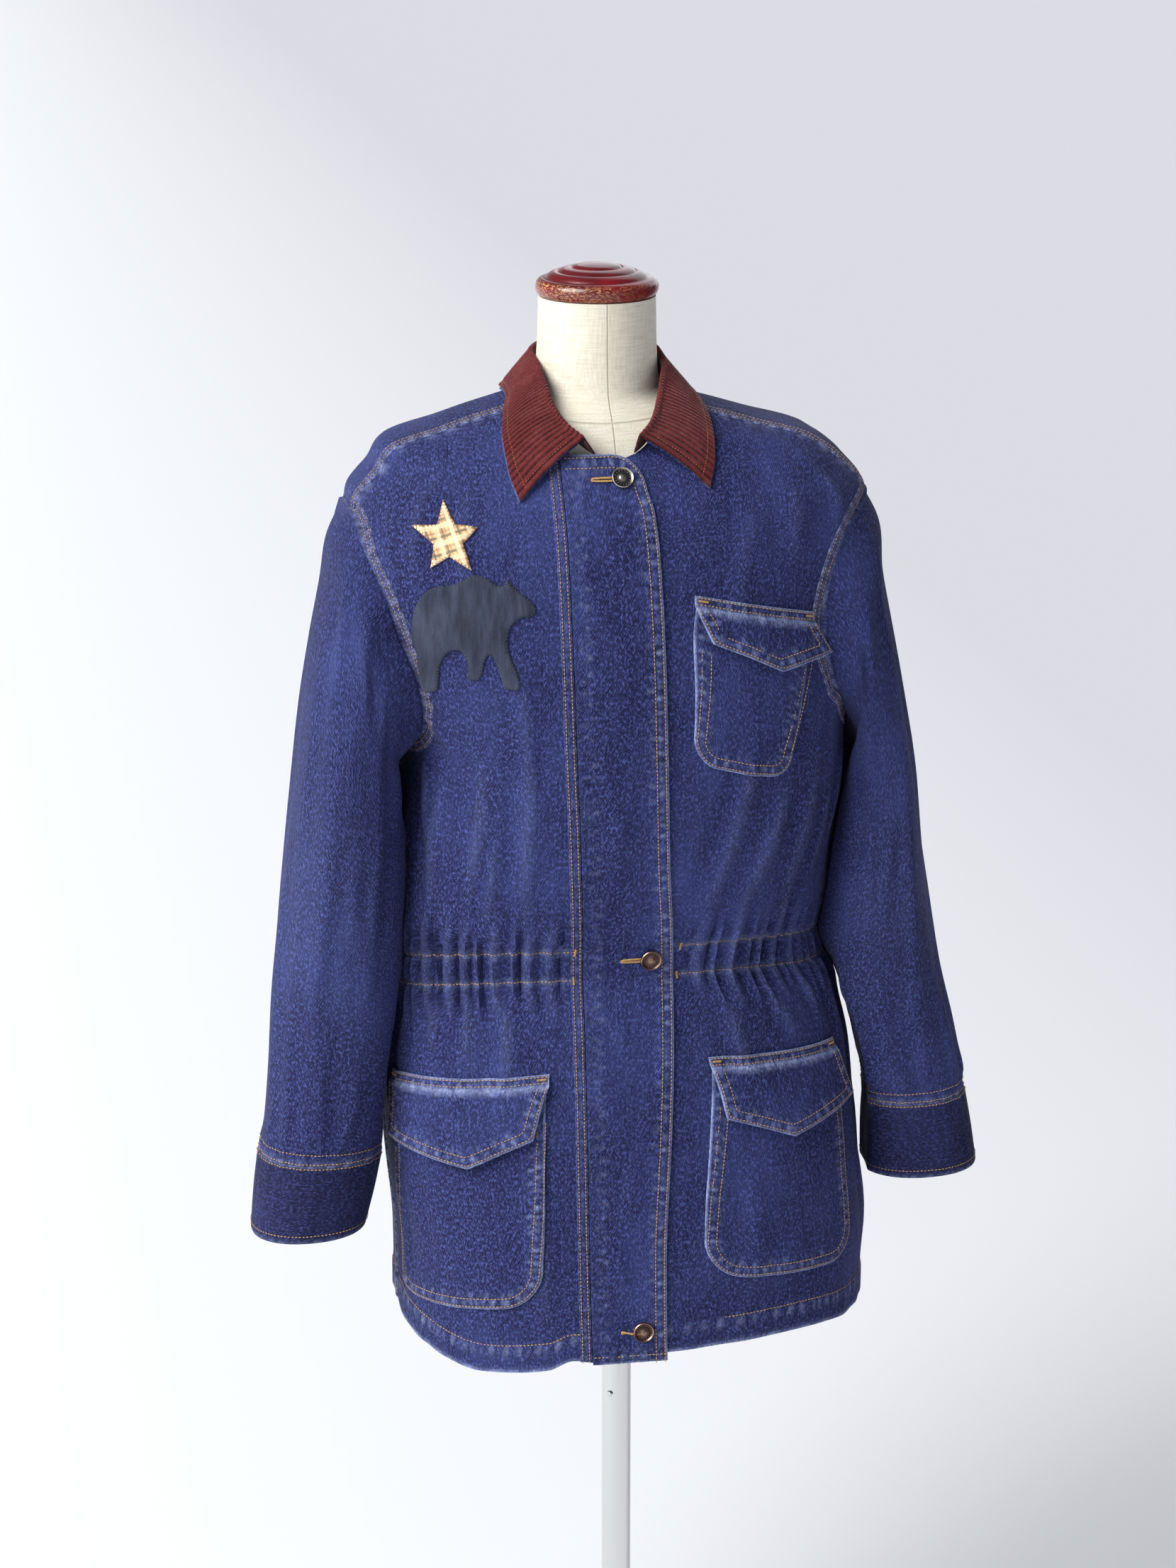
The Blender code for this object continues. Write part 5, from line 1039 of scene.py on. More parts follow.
def seamWear(points, lines, reach=0.007):
    # How worn the cloth is for being near a seam, and how puckered: 0 to 1 each.
    flat = points.reshape(-1, 3)
    wear, pucker = np.zeros(len(flat)), np.zeros(len(flat))
    for line in lines:
        run = cumulative(line)
        for start in range(0, len(flat), 6000):
            part = flat[start:start + 6000]
            gap = np.linalg.norm(part[:, None, :] - line[None, ::2, :], axis=2)
            nearest = gap.argmin(axis=1)
            near = gap[np.arange(len(part)), nearest]
            wavy = ripple(run[::2][nearest], 0.013)
            close = np.exp(-(near / reach) ** 2)
            wear[start:start + 6000] = np.maximum(wear[start:start + 6000], close * np.clip(2 * wavy - 0.9, 0, 1))
            pucker[start:start + 6000] += np.exp(-(near / (2 * reach)) ** 2) * (wavy - 0.5)
    return wear.reshape(points.shape[:2]), pucker.reshape(points.shape[:2])


def panelPart(u, z, lines, way, thick=cloth["denim"]):
    points = body(u, z)
    out = normalOf(body, u, z)
    wear, pucker = seamWear(points, lines)
    points = points + (0.0011 * pucker)[..., None] * out
    step = np.linalg.norm(np.diff(points, axis=1), axis=2)
    across = np.concatenate((np.zeros((len(u), 1)), np.cumsum(step, axis=1)), axis=1)
    across = way * across + (points[:, :1, 0] if way < 0 or u[0, 0] < 60 else -across[:, -1:] / 2)
    down = -cumulative(points[:, int(points.shape[1] * 0.4)])
    uv = np.stack(np.broadcast_arrays(across, down[:, None]), -1)
    folded = bodyFold(u, z)
    ridge = folded - (np.roll(folded, 4, 1) + np.roll(folded, -4, 1)) / 2
    ridge[:, :4] = ridge[:, -4:] = 0
    above = z - hemHeight(u)
    run = np.radians(u) * 0.178
    hem = np.exp(-(above / 0.0022) ** 2) * (0.35 + 0.65 * ripple(run, 0.021)) \
        + 0.6 * np.exp(-((above - 0.0190) / 0.0040) ** 2) * np.clip(2 * ripple(run, 0.0088) - 1.0, 0, 1)
    channel = np.exp(-((np.abs(z - waistLine(u)) - waist["half"]) / 0.0030) ** 2) * ripple(run, 0.008) * 0.35
    wear = np.clip(0.45 * wear + 24 * np.clip(ridge, 0, 0.0022) + 0.8 * hem + channel, 0, 0.9)
    return layShell(points, out, thick, uv, wear)


def frontGrid(side):
    half = cloth["halfSeam"]
    seamZ = alongSeam(side, panelSizes["seamRows"])
    seamU = shift(shoulderSeam(seamZ, side), seamZ, -half)
    ring = np.linspace(armholeSizes["seamStep"], armholeSizes["points"] / 2, panelSizes["armRows"])[1:-1]
    armU, armZ = armhole(ring, side, half)
    low = lowRows()
    z = np.concatenate((seamZ, armZ, low))
    outer = np.concatenate((seamU, armU, shift(np.full(len(low), 90.0), low, -half)))
    inner = frontEdge(side, z)
    inner[0] = side * (outer[0] - 2.0)
    share = np.linspace(0, 1, panelSizes["frontColumns"])
    u = inner[:, None] + (side * outer - inner)[:, None] * share
    z = np.repeat(z[:, None], len(share), axis=1)
    return u, z + rowBend(u, z)


def shoulderPath(side):
    z = alongSeam(side, 40)
    return np.stack((side * shoulderSeam(z, side), z), axis=1)


def armPath(side, first=0.0, last=24.0, count=200):
    u, z = armhole(np.linspace(first, last, count), side)
    return np.stack((side * u, z), axis=1)


def sidePath(side):
    z = np.linspace(armholeSizes["z"] - armholeSizes["half"], hemHeight(side * 90.0) + 0.001, 120)
    return np.stack((np.full(120, side * 90.0), z), axis=1)


def ridgePath():
    # The seam between the placket and the right front, from its top down.
    z = np.linspace(placketSizes["top"] - 0.004, placketTable[0, 0] + 0.002, 200)
    return np.stack((angleAtX(smooth(placketTable, 1, z) - 0.0003, z), z), axis=1)


def line3d(path):
    return body(path[:, 0], path[:, 1])


def makeFront(side):
    u, z = frontGrid(side)
    lines = [line3d(evenPath(bodyPlace, path, 0.002)) for path in
             (shoulderPath(side), armPath(side, 1.0, 12.0), sidePath(side))]
    parts = [panelPart(u, z, lines, side)]
    fold = armPath(side, 1.1, 11.5)
    parts.append(seamFold(bodyPlace, fold, 0.0095, lift=0.0001, side=side))
    if side < 0:
        parts.append(seamFold(bodyPlace, ridgePath(), 0.0100, lift=0.0001, wearing=0.35))
    return makeMesh("front_" + sideWords[side] + "_cloth", parts, denim)


def makeBack():
    half = cloth["halfSeam"]
    ring = np.linspace(armholeSizes["yokeStep"], armholeSizes["points"] / 2, 60)[:-1]
    armU, armZ = armhole(armholeSizes["points"] - ring, 1, half)
    armZ[0] -= 2 * half
    low = lowRows()
    z = np.concatenate((armZ, low))
    edge = np.concatenate((armU, shift(np.full(len(low), 90.0), low, half)))
    share = np.linspace(0, 1, panelSizes["backColumns"])
    u = edge[:, None] + (360.0 - 2 * edge)[:, None] * share
    z = np.repeat(z[:, None], len(share), axis=1)
    z = z + rowBend(u, z)
    lines = [line3d(evenPath(bodyPlace, path, 0.002)) for path in
             (sidePath(1), sidePath(-1), armPath(1, 12.0, 20.0), armPath(-1, 12.0, 20.0), backYokePath())]
    parts = [panelPart(u, z, lines, 1)]
    for side in (-1, 1):
        parts.append(seamFold(bodyPlace, armPath(side, 12.5, 20.0), 0.0095, lift=0.0001, side=side))
        parts.append(seamFold(bodyPlace, sidePath(side), 0.0095, lift=0.0001, side=-side))
    return makeMesh("back_cloth", parts, denim)


def backYokePath():
    u, z = armhole(armholeSizes["points"] - armholeSizes["yokeStep"], 1)
    angles = np.linspace(float(u), 360.0 - float(u), 160)
    return np.stack((angles, np.full(160, float(z))), axis=1)


def yokeHalf(side):
    # Half of the yoke's upper and lower edges, with perStep points for each step of the solid's.
    fine, half = panelSizes["perStep"], cloth["halfSeam"]
    seamZ = alongSeam(side, 8 * fine + 1)[::-1]
    seamU = shift(shoulderSeam(seamZ, side), seamZ, half)
    past = seamTop(side)[1] + 3
    numbers = np.arange(past, 91, 8.0 / fine)
    neckU, neckZ = np.interp(numbers, np.arange(91), neckAngles), np.interp(numbers, np.arange(91), neckHeights)
    neckU, neckZ = np.append(neckU, neckAngles[-1]), np.append(neckZ, neckHeights[-1])
    upper = np.array((np.concatenate((seamU, neckU)), np.concatenate((seamZ, neckZ))))
    steps = np.linspace(armholeSizes["points"] + armholeSizes["seamStep"],
                        armholeSizes["points"] - armholeSizes["yokeStep"], 5 * fine + 1)
    armU, armZ = armhole(steps % armholeSizes["points"], side, half)
    armU[0], armZ[0] = seamU[0], seamZ[0]
    seamBack = np.linspace(armU[-1], 180.0, 11 * fine + 1)[1:]
    lower = np.array((np.concatenate((armU, seamBack)),
                      np.concatenate((armZ, np.full(len(seamBack), armZ[-1])))))
    return upper, lower


def resample(rows, count):
    at = np.linspace(0, 1, count)
    return np.array([np.interp(at, np.linspace(0, 1, len(row)), row) for row in rows])


def yokeRows(side, count):
    upper, lower = yokeHalf(side)
    edges = [resample(edge, count) for edge in (upper, lower)]
    plans = [smoothBody(side * even[0], even[1])[:, :2] for even in edges]
    offs = [even - np.array(fromAbove(*plan.T)) for even, plan in zip(edges, plans)]
    rows = []
    for share in np.linspace(0, 1, panelSizes["yokeRows"]):
        plan = plans[0] * (1 - share) + plans[1] * share
        rows.append(np.array(fromAbove(*plan.T)) + offs[0] * (1 - share) + offs[1] * share)
    return np.array(rows)


def makeYoke():
    left, right = yokeRows(1, 120), yokeRows(-1, 120)
    u = np.concatenate((left[:, 0], 360.0 - right[:, 0, ::-1][:, 1:]), axis=1)
    z = np.concatenate((left[:, 1], right[:, 1, ::-1][:, 1:]), axis=1)
    lines = [line3d(evenPath(bodyPlace, path, 0.002)) for path in
             (shoulderPath(1), shoulderPath(-1), armPath(1, 20.0, 25.0), armPath(-1, 20.0, 25.0), backYokePath())]
    points = body(u, z)
    out = normalOf(body, u, z)
    wear, pucker = seamWear(points, lines)
    points = points + (0.0009 * pucker)[..., None] * out
    down = np.cumsum(np.linalg.norm(np.diff(points, axis=0, prepend=points[:1]), axis=-1), axis=0)
    uv = np.stack((points[..., 0], -down), -1)
    parts = [layShell(points, out, cloth["denim"], uv, 0.5 * wear)]
    parts.append(seamFold(bodyPlace, backYokePath(), 0.0100, lift=0.0001, side=-1))
    for side in (-1, 1):
        parts.append(seamFold(bodyPlace, shoulderPath(side), 0.0110, lift=0.0001, side=-side))
    return makeMesh("yoke_cloth", parts, denim)


# Sleeves and cuffs

def clearOfBody(points, side):
    centre, half, front, back, square = bodySection(points[..., 2])
    depth = np.where(points[..., 1] < 0, front, back) + sleeveSizes["clear"]
    flat = np.clip(1 - (np.abs(points[..., 1]) / depth) ** square, 0, 1) ** (1 / square)
    folds = bodyFold(side * 90.0 - side * 20.0 * np.sign(-points[..., 1]), points[..., 2])
    at, high, deep = sleeveSizes["pocket"]
    folds = np.clip(folds, 0, 1) + deep * window((points[..., 2] - at) / high)
    least = side * centre + (half + sleeveSizes["clear"] + folds) * flat
    moved = points.copy()
    moved[..., 0] = side * np.maximum(side * points[..., 0], least)
    return moved


def sleeveRing(row, turn, side):
    outX, outZ, inX, inZ, midY, halfY = sleeveTables[side][row]
    s, c = np.sin(np.radians(turn)), np.cos(np.radians(turn))
    wide = np.sign(c) * np.abs(c) ** (2 / sleeveSizes["square"])
    deep = np.sign(s) * np.abs(s) ** (2 / sleeveSizes["square"])
    x = (outX + inX) / 2 + wide * (outX - inX) / 2
    z = (outZ + inZ) / 2 + wide * (outZ - inZ) / 2
    return np.stack((side * x, midY - deep * halfY, z), axis=-1)


def armRing(turn, side):
    u, z = armhole(turn / 360.0 * armholeSizes["points"], side, -cloth["halfSeam"])
    ring = body(side * u, z)
    ring[..., 0] += side * 0.0001
    return ring


def sleeveCoarse(side):
    # The middles of the armhole's ring and of each section, for the shares of the first ones.
    turn = np.arange(24) * 15.0
    return armRing(turn, side).mean(axis=0), [sleeveRing(k, turn, side).mean(axis=0) for k in range(12)]


sleeveMiddles = {side: sleeveCoarse(side) for side in (-1, 1)}


def sleeve(turn, row, side):
    turn, row = np.broadcast_arrays(np.asarray(turn, float), np.asarray(row, float))
    first = armRing(turn, side)
    armMiddle, middles = sleeveMiddles[side]
    rings = [first]
    radial = np.stack((side * np.cos(np.radians(turn)), -np.sin(np.radians(turn)), 0 * turn), axis=-1)
    for number in range(12):
        ring = sleeveRing(number, turn, side)
        if number < len(sleeveSizes["blend"]):
            moved = first + middles[number] - armMiddle
            ring = ring + sleeveSizes["blend"][number] * (moved - ring)
        for at, middle, rows, width, depth in sleeveFolds:
            high = depth * np.exp(-(wrapped(turn - at) / width) ** 2) * window((number - middle) / rows)
            ring = ring + high[..., None] * radial
        rings.append(clearOfBody(ring, side))
    rings = np.array(rings)
    k = np.clip(np.floor(row).astype(int), 0, 11)
    f = (row - k)[..., None]

    def pick(index):
        index = np.clip(index, 0, 12)
        return np.take_along_axis(rings, np.broadcast_to(index[None, ..., None], (1, *index.shape, 3)), axis=0)[0]

    points = smoothBetween(pick(k - 1), pick(k), pick(k + 1), pick(k + 2), f)
    off = np.zeros(turn.shape)
    for at, fromRow, toAt, toRow, wide, deep in sleeveCreases:
        along = (row - fromRow) / (toRow - fromRow)
        across = wrapped(turn - at - (toAt - at) * along + 2.5 * np.sin(5 * along + at))
        fade = window((along - 0.5) / creaseLook["reach"]) * creaseLook["sleeve"] * deep / 1000
        off = off + fade * creaseShape(across, wide)
    head = np.exp(-(row / 0.22) ** 2) * 0.0013 * (ripple(turn * 0.0017, 0.014) - 0.5)
    foot = np.exp(-((row - 11.0) / 0.55) ** 2) * 0.0016 * (ripple(turn * 0.0010, 0.013) - 0.5)
    edge = np.clip(row / 0.1, 0, 1)
    points = points + (off * edge + (head * edge + foot))[..., None] * radial
    return np.where((row > 0.02)[..., None], clearOfBody(points, side), points)


def sleevePlace(side):
    return {"at": lambda a, b: sleeve(a, b, side), "steps": (1.0, 0.02), "sign": None}


def outwardSign(place, a, b, side):
    # Which way the surface's own normal points: away from the sleeve's axis is out.
    place["sign"] = 1.0
    normal = placeNormal(place, np.array([a]), np.array([b]))[0]
    if normal[0] * side < 0:
        place["sign"] = -1.0
    return place


def ringNormals(points, side):
    out = gridNormals(points, ring=True)
    if np.mean(out[len(out) // 2, :6, 0]) * side < 0:
        out = -out
    return out


def lengthAround(points):
    # How far round its ring each point is, with the ring's whole length last.
    closed = np.concatenate((points, points[:, :1]), axis=1)
    step = np.linalg.norm(np.diff(closed, axis=1), axis=2)
    return np.concatenate((np.zeros((len(points), 1)), np.cumsum(step, axis=1)), axis=1)


def makeSleeve(side):
    turn = np.arange(sleeveSizes["around"]) * 360.0 / sleeveSizes["around"]
    rows = 11.0 * np.linspace(0, 1, sleeveSizes["rows"]) ** 1.08
    points = sleeve(turn[None, :], rows[:, None] + 0 * turn[None, :], side)
    out = ringNormals(points, side)
    around = lengthAround(points)
    down = -cumulative(points[:, 20])
    uv = np.stack(np.broadcast_arrays(-side * around + 0.5 * side, down[:, None]), -1)
    place = outwardSign(sleevePlace(side), 10.0, 5.0, side)
    head = 0.7 * ripple(turn * 0.0017, 0.014)[None, :] * np.exp(-(rows / 0.05) ** 2)[:, None]
    foot = 0.6 * ripple(turn * 0.0010, 0.013)[None, :] * np.exp(-((rows - 11.0) / 0.10) ** 2)[:, None]
    elbow = 0.03 * np.exp(-((rows - 6.5) / 2.2) ** 2)[:, None] \
        * (0.5 + 0.5 * np.cos(np.radians(turn - 30)))[None, :]
    wear = np.clip(0.8 * head + 0.6 * foot + elbow, 0, 1)
    made = makeMesh("sleeve_" + sideWords[side] + "_cloth",
                    [layShell(points, out, cloth["denim"], uv, wear, True)], denim)
    return made, place


cuffWall = 0.0021


def cuffAt(turn, share, side):
    top = sleeve(turn, np.full(np.shape(turn), 11.0), side) - np.array((0, 0, cloth["halfSeam"]))
    low = sleeve(turn, np.full(np.shape(turn), 12.0), side)
    middle = sleeveMiddles[side][1][11]
    away = (top + low) / 2 - middle
    away[..., 2] = 0
    share = np.asarray(share, float)
    swell = 0.0007 + 0.0006 * window((share - 0.5) / 0.5) \
        + 0.0009 * (ripple(turn * 0.0011, 0.016) - 0.5) * window(share / 0.5)
    soft = 0.0016 * np.exp(-((turn - 70 - 20 * share) / 16) ** 2) \
        - 0.0014 * np.exp(-((turn - 105 + 15 * share) / 14) ** 2)
    points = top * (1 - share)[..., None] + low * share[..., None]
    return points + (swell + soft * share * (1 - 0.4 * share))[..., None] * unit(away)


def makeCuff(side):
    turn = np.arange(96) * 3.75
    share = np.concatenate(((0.0, 0.012, 0.03), np.linspace(0.06, 0.94, 20), (0.97, 0.988, 1.0)))
    grid = [np.full(96, s) for s in share]
    points = np.array([cuffAt(turn, s, side) for s in grid])
    out = ringNormals(points, side)
    roll = np.array([0.0006 * (1 - min(s, 1 - s) / 0.03) ** 2 if min(s, 1 - s) < 0.03 else 0.0 for s in share])
    points = points - roll[:, None, None] * out
    around = lengthAround(points)
    uv = np.stack(np.broadcast_arrays(-0.07 * share[:, None], around), -1)
    lines = np.exp(-(share / 0.03) ** 2) + np.exp(-((1 - share) / 0.035) ** 2)
    wear = np.clip(lines[:, None] * (0.1 + 0.8 * ripple(turn * 0.0011, 0.01))[None, :], 0, 1) * 0.6
    made = makeMesh("cuff_" + sideWords[side] + "_cloth",
                    [layShell(points, out, cuffWall, uv, wear, True)], cuffDenim)
    place = outwardSign({"at": lambda a, b: cuffAt(a, b, side), "steps": (1.0, 0.02), "sign": None},
                        10.0, 0.5, side)
    return made, place


# Pieces sewn on the panels

def smoothLoop(outline, per):
    # A closed curve through the outline's points.
    p = np.asarray(outline, float)
    made = []
    for k in range(len(p)):
        p0, p1, p2, p3 = (p[(k + i) % len(p)] for i in (-1, 0, 1, 2))
        made += [smoothBetween(p0, p1, p2, p3, f) for f in np.arange(per) / per]
    return np.array(made)


def denseLoop(outline, step):
    # The same outline with points about step apart, its corners kept.
    p = np.asarray(outline, float)
    made = []
    for a, b in zip(p, np.roll(p, -1, axis=0)):
        count = max(1, int(round(np.linalg.norm(b - a) / step)))
        made += [a + (b - a) * i / count for i in range(count)]
    return np.array(made)


def inset(outline, distance):
    # The outline moved inwards, its corners mitred.
    p = np.asarray(outline, float)
    keep = np.linalg.norm(p - np.roll(p, 1, axis=0), axis=1) > 1e-6
    p = p[keep]
    area = np.sum(p[:, 0] * np.roll(p[:, 1], -1) - np.roll(p[:, 0], -1) * p[:, 1])
    before, after = unit(p - np.roll(p, 1, axis=0)), unit(np.roll(p, -1, axis=0) - p)
    left = np.array((-1.0, 1.0)) * np.sign(area)
    n0, n1 = before[:, ::-1] * left, after[:, ::-1] * left
    middle = unit(n0 + n1)
    return p + middle * (distance / np.maximum((middle * n1).sum(1), 0.35))[:, None]


def toOutline(points, outline):
    # Distance of each point to a closed outline, how far round it the nearest place is, and whether inside.
    a, b = outline, np.roll(outline, -1, axis=0)
    run = cumulative(np.concatenate((outline, outline[:1])))
    along = b - a
    length2 = np.maximum((along ** 2).sum(1), 1e-14)
    rel = points[:, None, :] - a[None]
    t = np.clip((rel * along[None]).sum(2) / length2, 0, 1)
    gap = np.linalg.norm(rel - t[..., None] * along[None], axis=2)
    k = gap.argmin(axis=1)
    n = np.arange(len(points))
    crosses = (a[None, :, 1] > points[:, 1:2]) != (b[None, :, 1] > points[:, 1:2])
    rise = np.where(crosses, along[None, :, 1], 1.0)
    hit = points[:, :1] < (points[:, 1:2] - a[None, :, 1]) / rise * along[None, :, 0] + a[None, :, 0]
    return gap[n, k], run[k] + t[n, k] * np.sqrt(length2[k]), (crosses & hit).sum(1) % 2 == 1


def cutCloth(outline, spacing, rims=(0.0010, 0.0024, 0.0042, 0.0066, 0.0092, 0.0116)):
    # Triangles that fill an outline, close together along its edge.
    edge = denseLoop(outline, 0.0026)
    low, high = edge.min(axis=0), edge.max(axis=0)
    columns = np.arange(low[0] + spacing / 2, high[0], spacing)
    rows = np.arange(low[1] + spacing / 2, high[1], spacing * 0.866)
    inner = np.array([(x + (k % 2) * spacing / 2, y) for k, y in enumerate(rows) for x in columns])
    gap, _, inside = toOutline(inner, edge)
    inner = inner[inside & (gap > (rims[-1] + spacing * 0.6 if rims else spacing * 0.5))]
    loops = []
    for rim in rims:
        loop = denseLoop(inset(outline, rim), 0.0028)
        gap, _, inside = toOutline(loop, edge)
        loops.append(loop[inside & (gap > rim * 0.93)])
    points = np.concatenate([edge, *loops, inner])
    bound = [(i, (i + 1) % len(edge)) for i in range(len(edge))]
    made, _, faces, *_ = delaunay_2d_cdt([Vector(p) for p in points], bound, [], 1, 1e-7)
    return np.array([tuple(v) for v in made]), [tuple(f) for f in faces], edge


def sewnEdge(gap, run, fold=0.0115, rise=0.0007):
    # The height that a turned and topstitched edge adds: thick to its fold, dipped at two rows.
    thick = rise * ease((fold + 0.0012 - gap) / 0.0024)
    dips = 0.00055 * (np.exp(-((gap - 0.0024) / 0.0011) ** 2) + np.exp(-((gap - 0.0092) / 0.0012) ** 2))
    pucker = 0.00095 * ripple(run, 0.0092) * np.exp(-((gap - 0.0062) / 0.0062) ** 2)
    roll = 0.0008 * ease(1 - gap / 0.0010)
    return thick - dips + pucker - roll


def edgeWear(gap, run, fold=0.0115):
    # Pale along the very edge, and where the cloth puckers up between the two rows of stitches.
    edge = np.exp(-(gap / 0.0013) ** 2) * (0.55 + 0.45 * ripple(run, 0.031))
    pucker = np.exp(-((gap - 0.0058) / 0.0026) ** 2) * np.clip(2.2 * ripple(run, 0.0068) - 1.1, 0, 1)
    outer = np.exp(-((gap - fold) / 0.0022) ** 2) * np.clip(2.0 * ripple(run + 0.003, 0.0075) - 1.15, 0, 1)
    return np.clip(0.95 * edge + 0.55 * pucker + 0.40 * outer, 0, 1)


def overlay(name, outline, toBody, lift, thick, finish, side=1, spacing=0.0042, rims=None, feature=None,
            worn=None):
    # A piece of cloth on the body, with its own flat plane. Gives the piece and its upper surface.
    plan, tris, edge = cutCloth(outline, spacing) if rims is None else cutCloth(outline, spacing, rims)
    u, z = toBody(plan[:, 0], plan[:, 1])
    gap, run, _ = toOutline(plan, edge)
    out = normalOf(body, u, z)
    base = lift(plan[:, 0], plan[:, 1]) if callable(lift) else np.full(len(plan), lift)
    extra = feature(plan, gap, run) if feature else 0.0
    top = body(u, z) + (base + thick + extra)[:, None] * out
    wear = worn(plan, gap, run) if worn else np.zeros(len(plan))
    made = makeMesh(name, [layShape(top, out, thick, tris, plan * np.array((side, 1.0)), wear)], finish)

    def surface(x, y):
        a, b = toBody(x, y)
        high = lift(x, y) if callable(lift) else lift
        return body(a, b) + (np.zeros(np.shape(x)) + high + thick)[..., None] * normalOf(body, a, b)

    return made, {"at": surface, "steps": (0.0008, 0.0008), "sign": float(side)}


def byArc(startX, zAt, side):
    start = float(angleAtX(startX, zAt))
    turn = start + side * np.linspace(-20.0, 110.0, 521)
    length = cumulative(smoothBody(turn, np.full(521, zAt)))
    length -= length[80]
    return lambda distance: np.interp(distance, length, turn)


def arcPoints(centre, radius, first, last, count):
    turn = np.radians(np.linspace(first, last, count))
    return [(centre[0] + radius * math.cos(t), centre[1] + radius * math.sin(t)) for t in turn]


# Soft creases on each pocket and flap: share across and down of both ends, width and depth in mm
bagCreases = ((0.25, 0.30, 0.45, 0.62, 9, 1.0), (0.72, 0.28, 0.66, 0.70, 10, 1.1), (0.40, 0.70, 0.70, 0.86, 8, 0.9),
              (0.12, 0.45, 0.20, 0.80, 8, 0.9), (0.90, 0.40, 0.86, 0.78, 7, 0.8))
flapCreases = ((0.16, 0.02, 0.20, 0.34, 5, 1.0), (0.33, 0.00, 0.38, 0.42, 6, 1.1), (0.52, 0.02, 0.50, 0.55, 7, 1.0),
               (0.70, 0.00, 0.64, 0.40, 6, 1.1), (0.86, 0.02, 0.84, 0.32, 5, 0.9))


def softCreases(plan, table, width, height):
    total = np.zeros(len(plan))
    for x0, y0, x1, y1, wide, deep in table:
        along, off = alongLine(plan[:, 0], plan[:, 1], x0 * width, -y0 * height, x1 * width, -y1 * height)
        total += window((along - 0.5) / 0.75) * deep / 1000 * np.exp(-(off * 1000 / wide) ** 2)
    return total


def makePocket(label):
    side, x, top, width, height, corner, tilt, near, far = pockets[label]
    nearX, nearDown, tipX, tipDown, farX, farDown = flaps[label]
    toAngle = byArc(x, top - 0.4 * height, side)
    across = math.tan(math.radians(tilt))

    def toBody(a, b):
        return toAngle(a), top + b + a * across

    left, right = -near * height, width + far * height
    bag = [(0.0, 0.0)]
    bag += arcPoints((left + corner, corner - height), corner, 180, 270, 14)
    bag += [((left + right) * 0.5, -height - 0.001)]
    bag += arcPoints((right - corner, corner - height), corner, 270, 360, 14)
    bag += [(width, 0.0)]

    def bagFeature(plan, gap, run):
        covered = ease((-plan[:, 1] - 0.016) / 0.012)
        return sewnEdge(gap, run) * covered + softCreases(plan, bagCreases, width, height) * ease(gap / 0.02)

    bagPiece, bagPlace = overlay(label + "_pocket_cloth", bag, toBody, cloth["lift"], pocketSizes["wall"],
                                 denim, side, feature=bagFeature, worn=lambda p, g, r: edgeWear(g, r))
    rise = pocketSizes["rise"]
    band = pocketSizes["band"]
    flap = [(-band, rise), (-band, -0.001), (nearX * 0.45, -nearDown * 0.5), (nearX, -nearDown),
            ((nearX + tipX) / 2, -(nearDown + tipDown) / 2 + 0.0008), (tipX, -tipDown),
            ((tipX + farX) / 2, -(tipDown + farDown) / 2 + 0.0008), (farX, -farDown),
            (width + (farX - width) * 0.5, -farDown * 0.5), (width + band, -0.001), (width + band, rise)]

    def flapLift(a, b):
        down = np.clip((rise - b) / (rise + nearDown), 0, 1.4)
        over = ease((0.0015 - b) / 0.0035)
        return cloth["lift"] + (pocketSizes["flapLift"] - cloth["lift"]) * over + pocketSizes["proud"] * down ** 2

    def flapFeature(plan, gap, run):
        below = ease((-plan[:, 1] - 0.001) / 0.004)
        band = 0.0005 * ripple(plan[:, 0] + 0.3, 0.009) * (1 - below)
        step = -0.0007 * np.exp(-((plan[:, 1] + 0.0002) / 0.0012) ** 2)
        return sewnEdge(gap, run) * below + band + step + softCreases(plan, flapCreases, width, height * 0.5) * below

    def flapWear(plan, gap, run):
        fold = np.exp(-((plan[:, 1] + 0.0020) / 0.0016) ** 2) * (0.4 + 0.7 * ripple(plan[:, 0], 0.014))
        return np.clip(edgeWear(gap, run) + 0.85 * fold, 0, 1)

    flapPiece, flapPlace = overlay(label + "_flap_cloth", flap, toBody, flapLift, pocketSizes["flapWall"], denim,
                                   side, spacing=0.0034, feature=flapFeature, worn=flapWear)
    bagNode, flapNode = pocketNodes[label]
    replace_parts(bagPiece, bagNode)
    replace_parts(flapPiece, flapNode)
    rows, tacks = [], []
    for depth in (0.0024, 0.0092):
        loop = inset(bag, depth)
        path = np.concatenate(([loop[0] + (0, -0.030)], loop[1:-1], [loop[-1] + (0, -0.030)]))
        rows.append(stitchLine(bagPlace, denseLine(path, 0.003), lift=0.0010))
    for depth in (0.0024, 0.0092):
        loop = inset(flap, depth)
        path = np.array([(loop[1][0], -0.003), *loop[2:9], (loop[9][0], -0.003)])
        rows.append(stitchLine(flapPlace, denseLine(path, 0.003), lift=0.0009))
    for level in (rise - 0.0016, 0.0012):
        path = np.array(((0.0005, level), (width - 0.0005, level)))
        rows.append(stitchLine(flapPlace, denseLine(path, 0.003), lift=0.0006))
    for tackX in (0.0045, width - 0.0045):
        path = np.array(((tackX - 0.0035, rise - 0.0038), (tackX + 0.0035, rise - 0.0038)))
        tacks.append(stitchLine(flapPlace, path, lift=0.0009, step=0.0006, lean=math.pi / 2))
    return rows, tacks, [bagPiece, flapPiece]


def denseLine(path, step):
    path = np.asarray(path, float)
    length = cumulative(path)
    at = np.linspace(0, length[-1], max(2, int(length[-1] / step) + 1))
    return np.stack([np.interp(at, length, path[:, k]) for k in (0, 1)], axis=1)


def frontView(x, z):
    return angleAtX(x, z), z


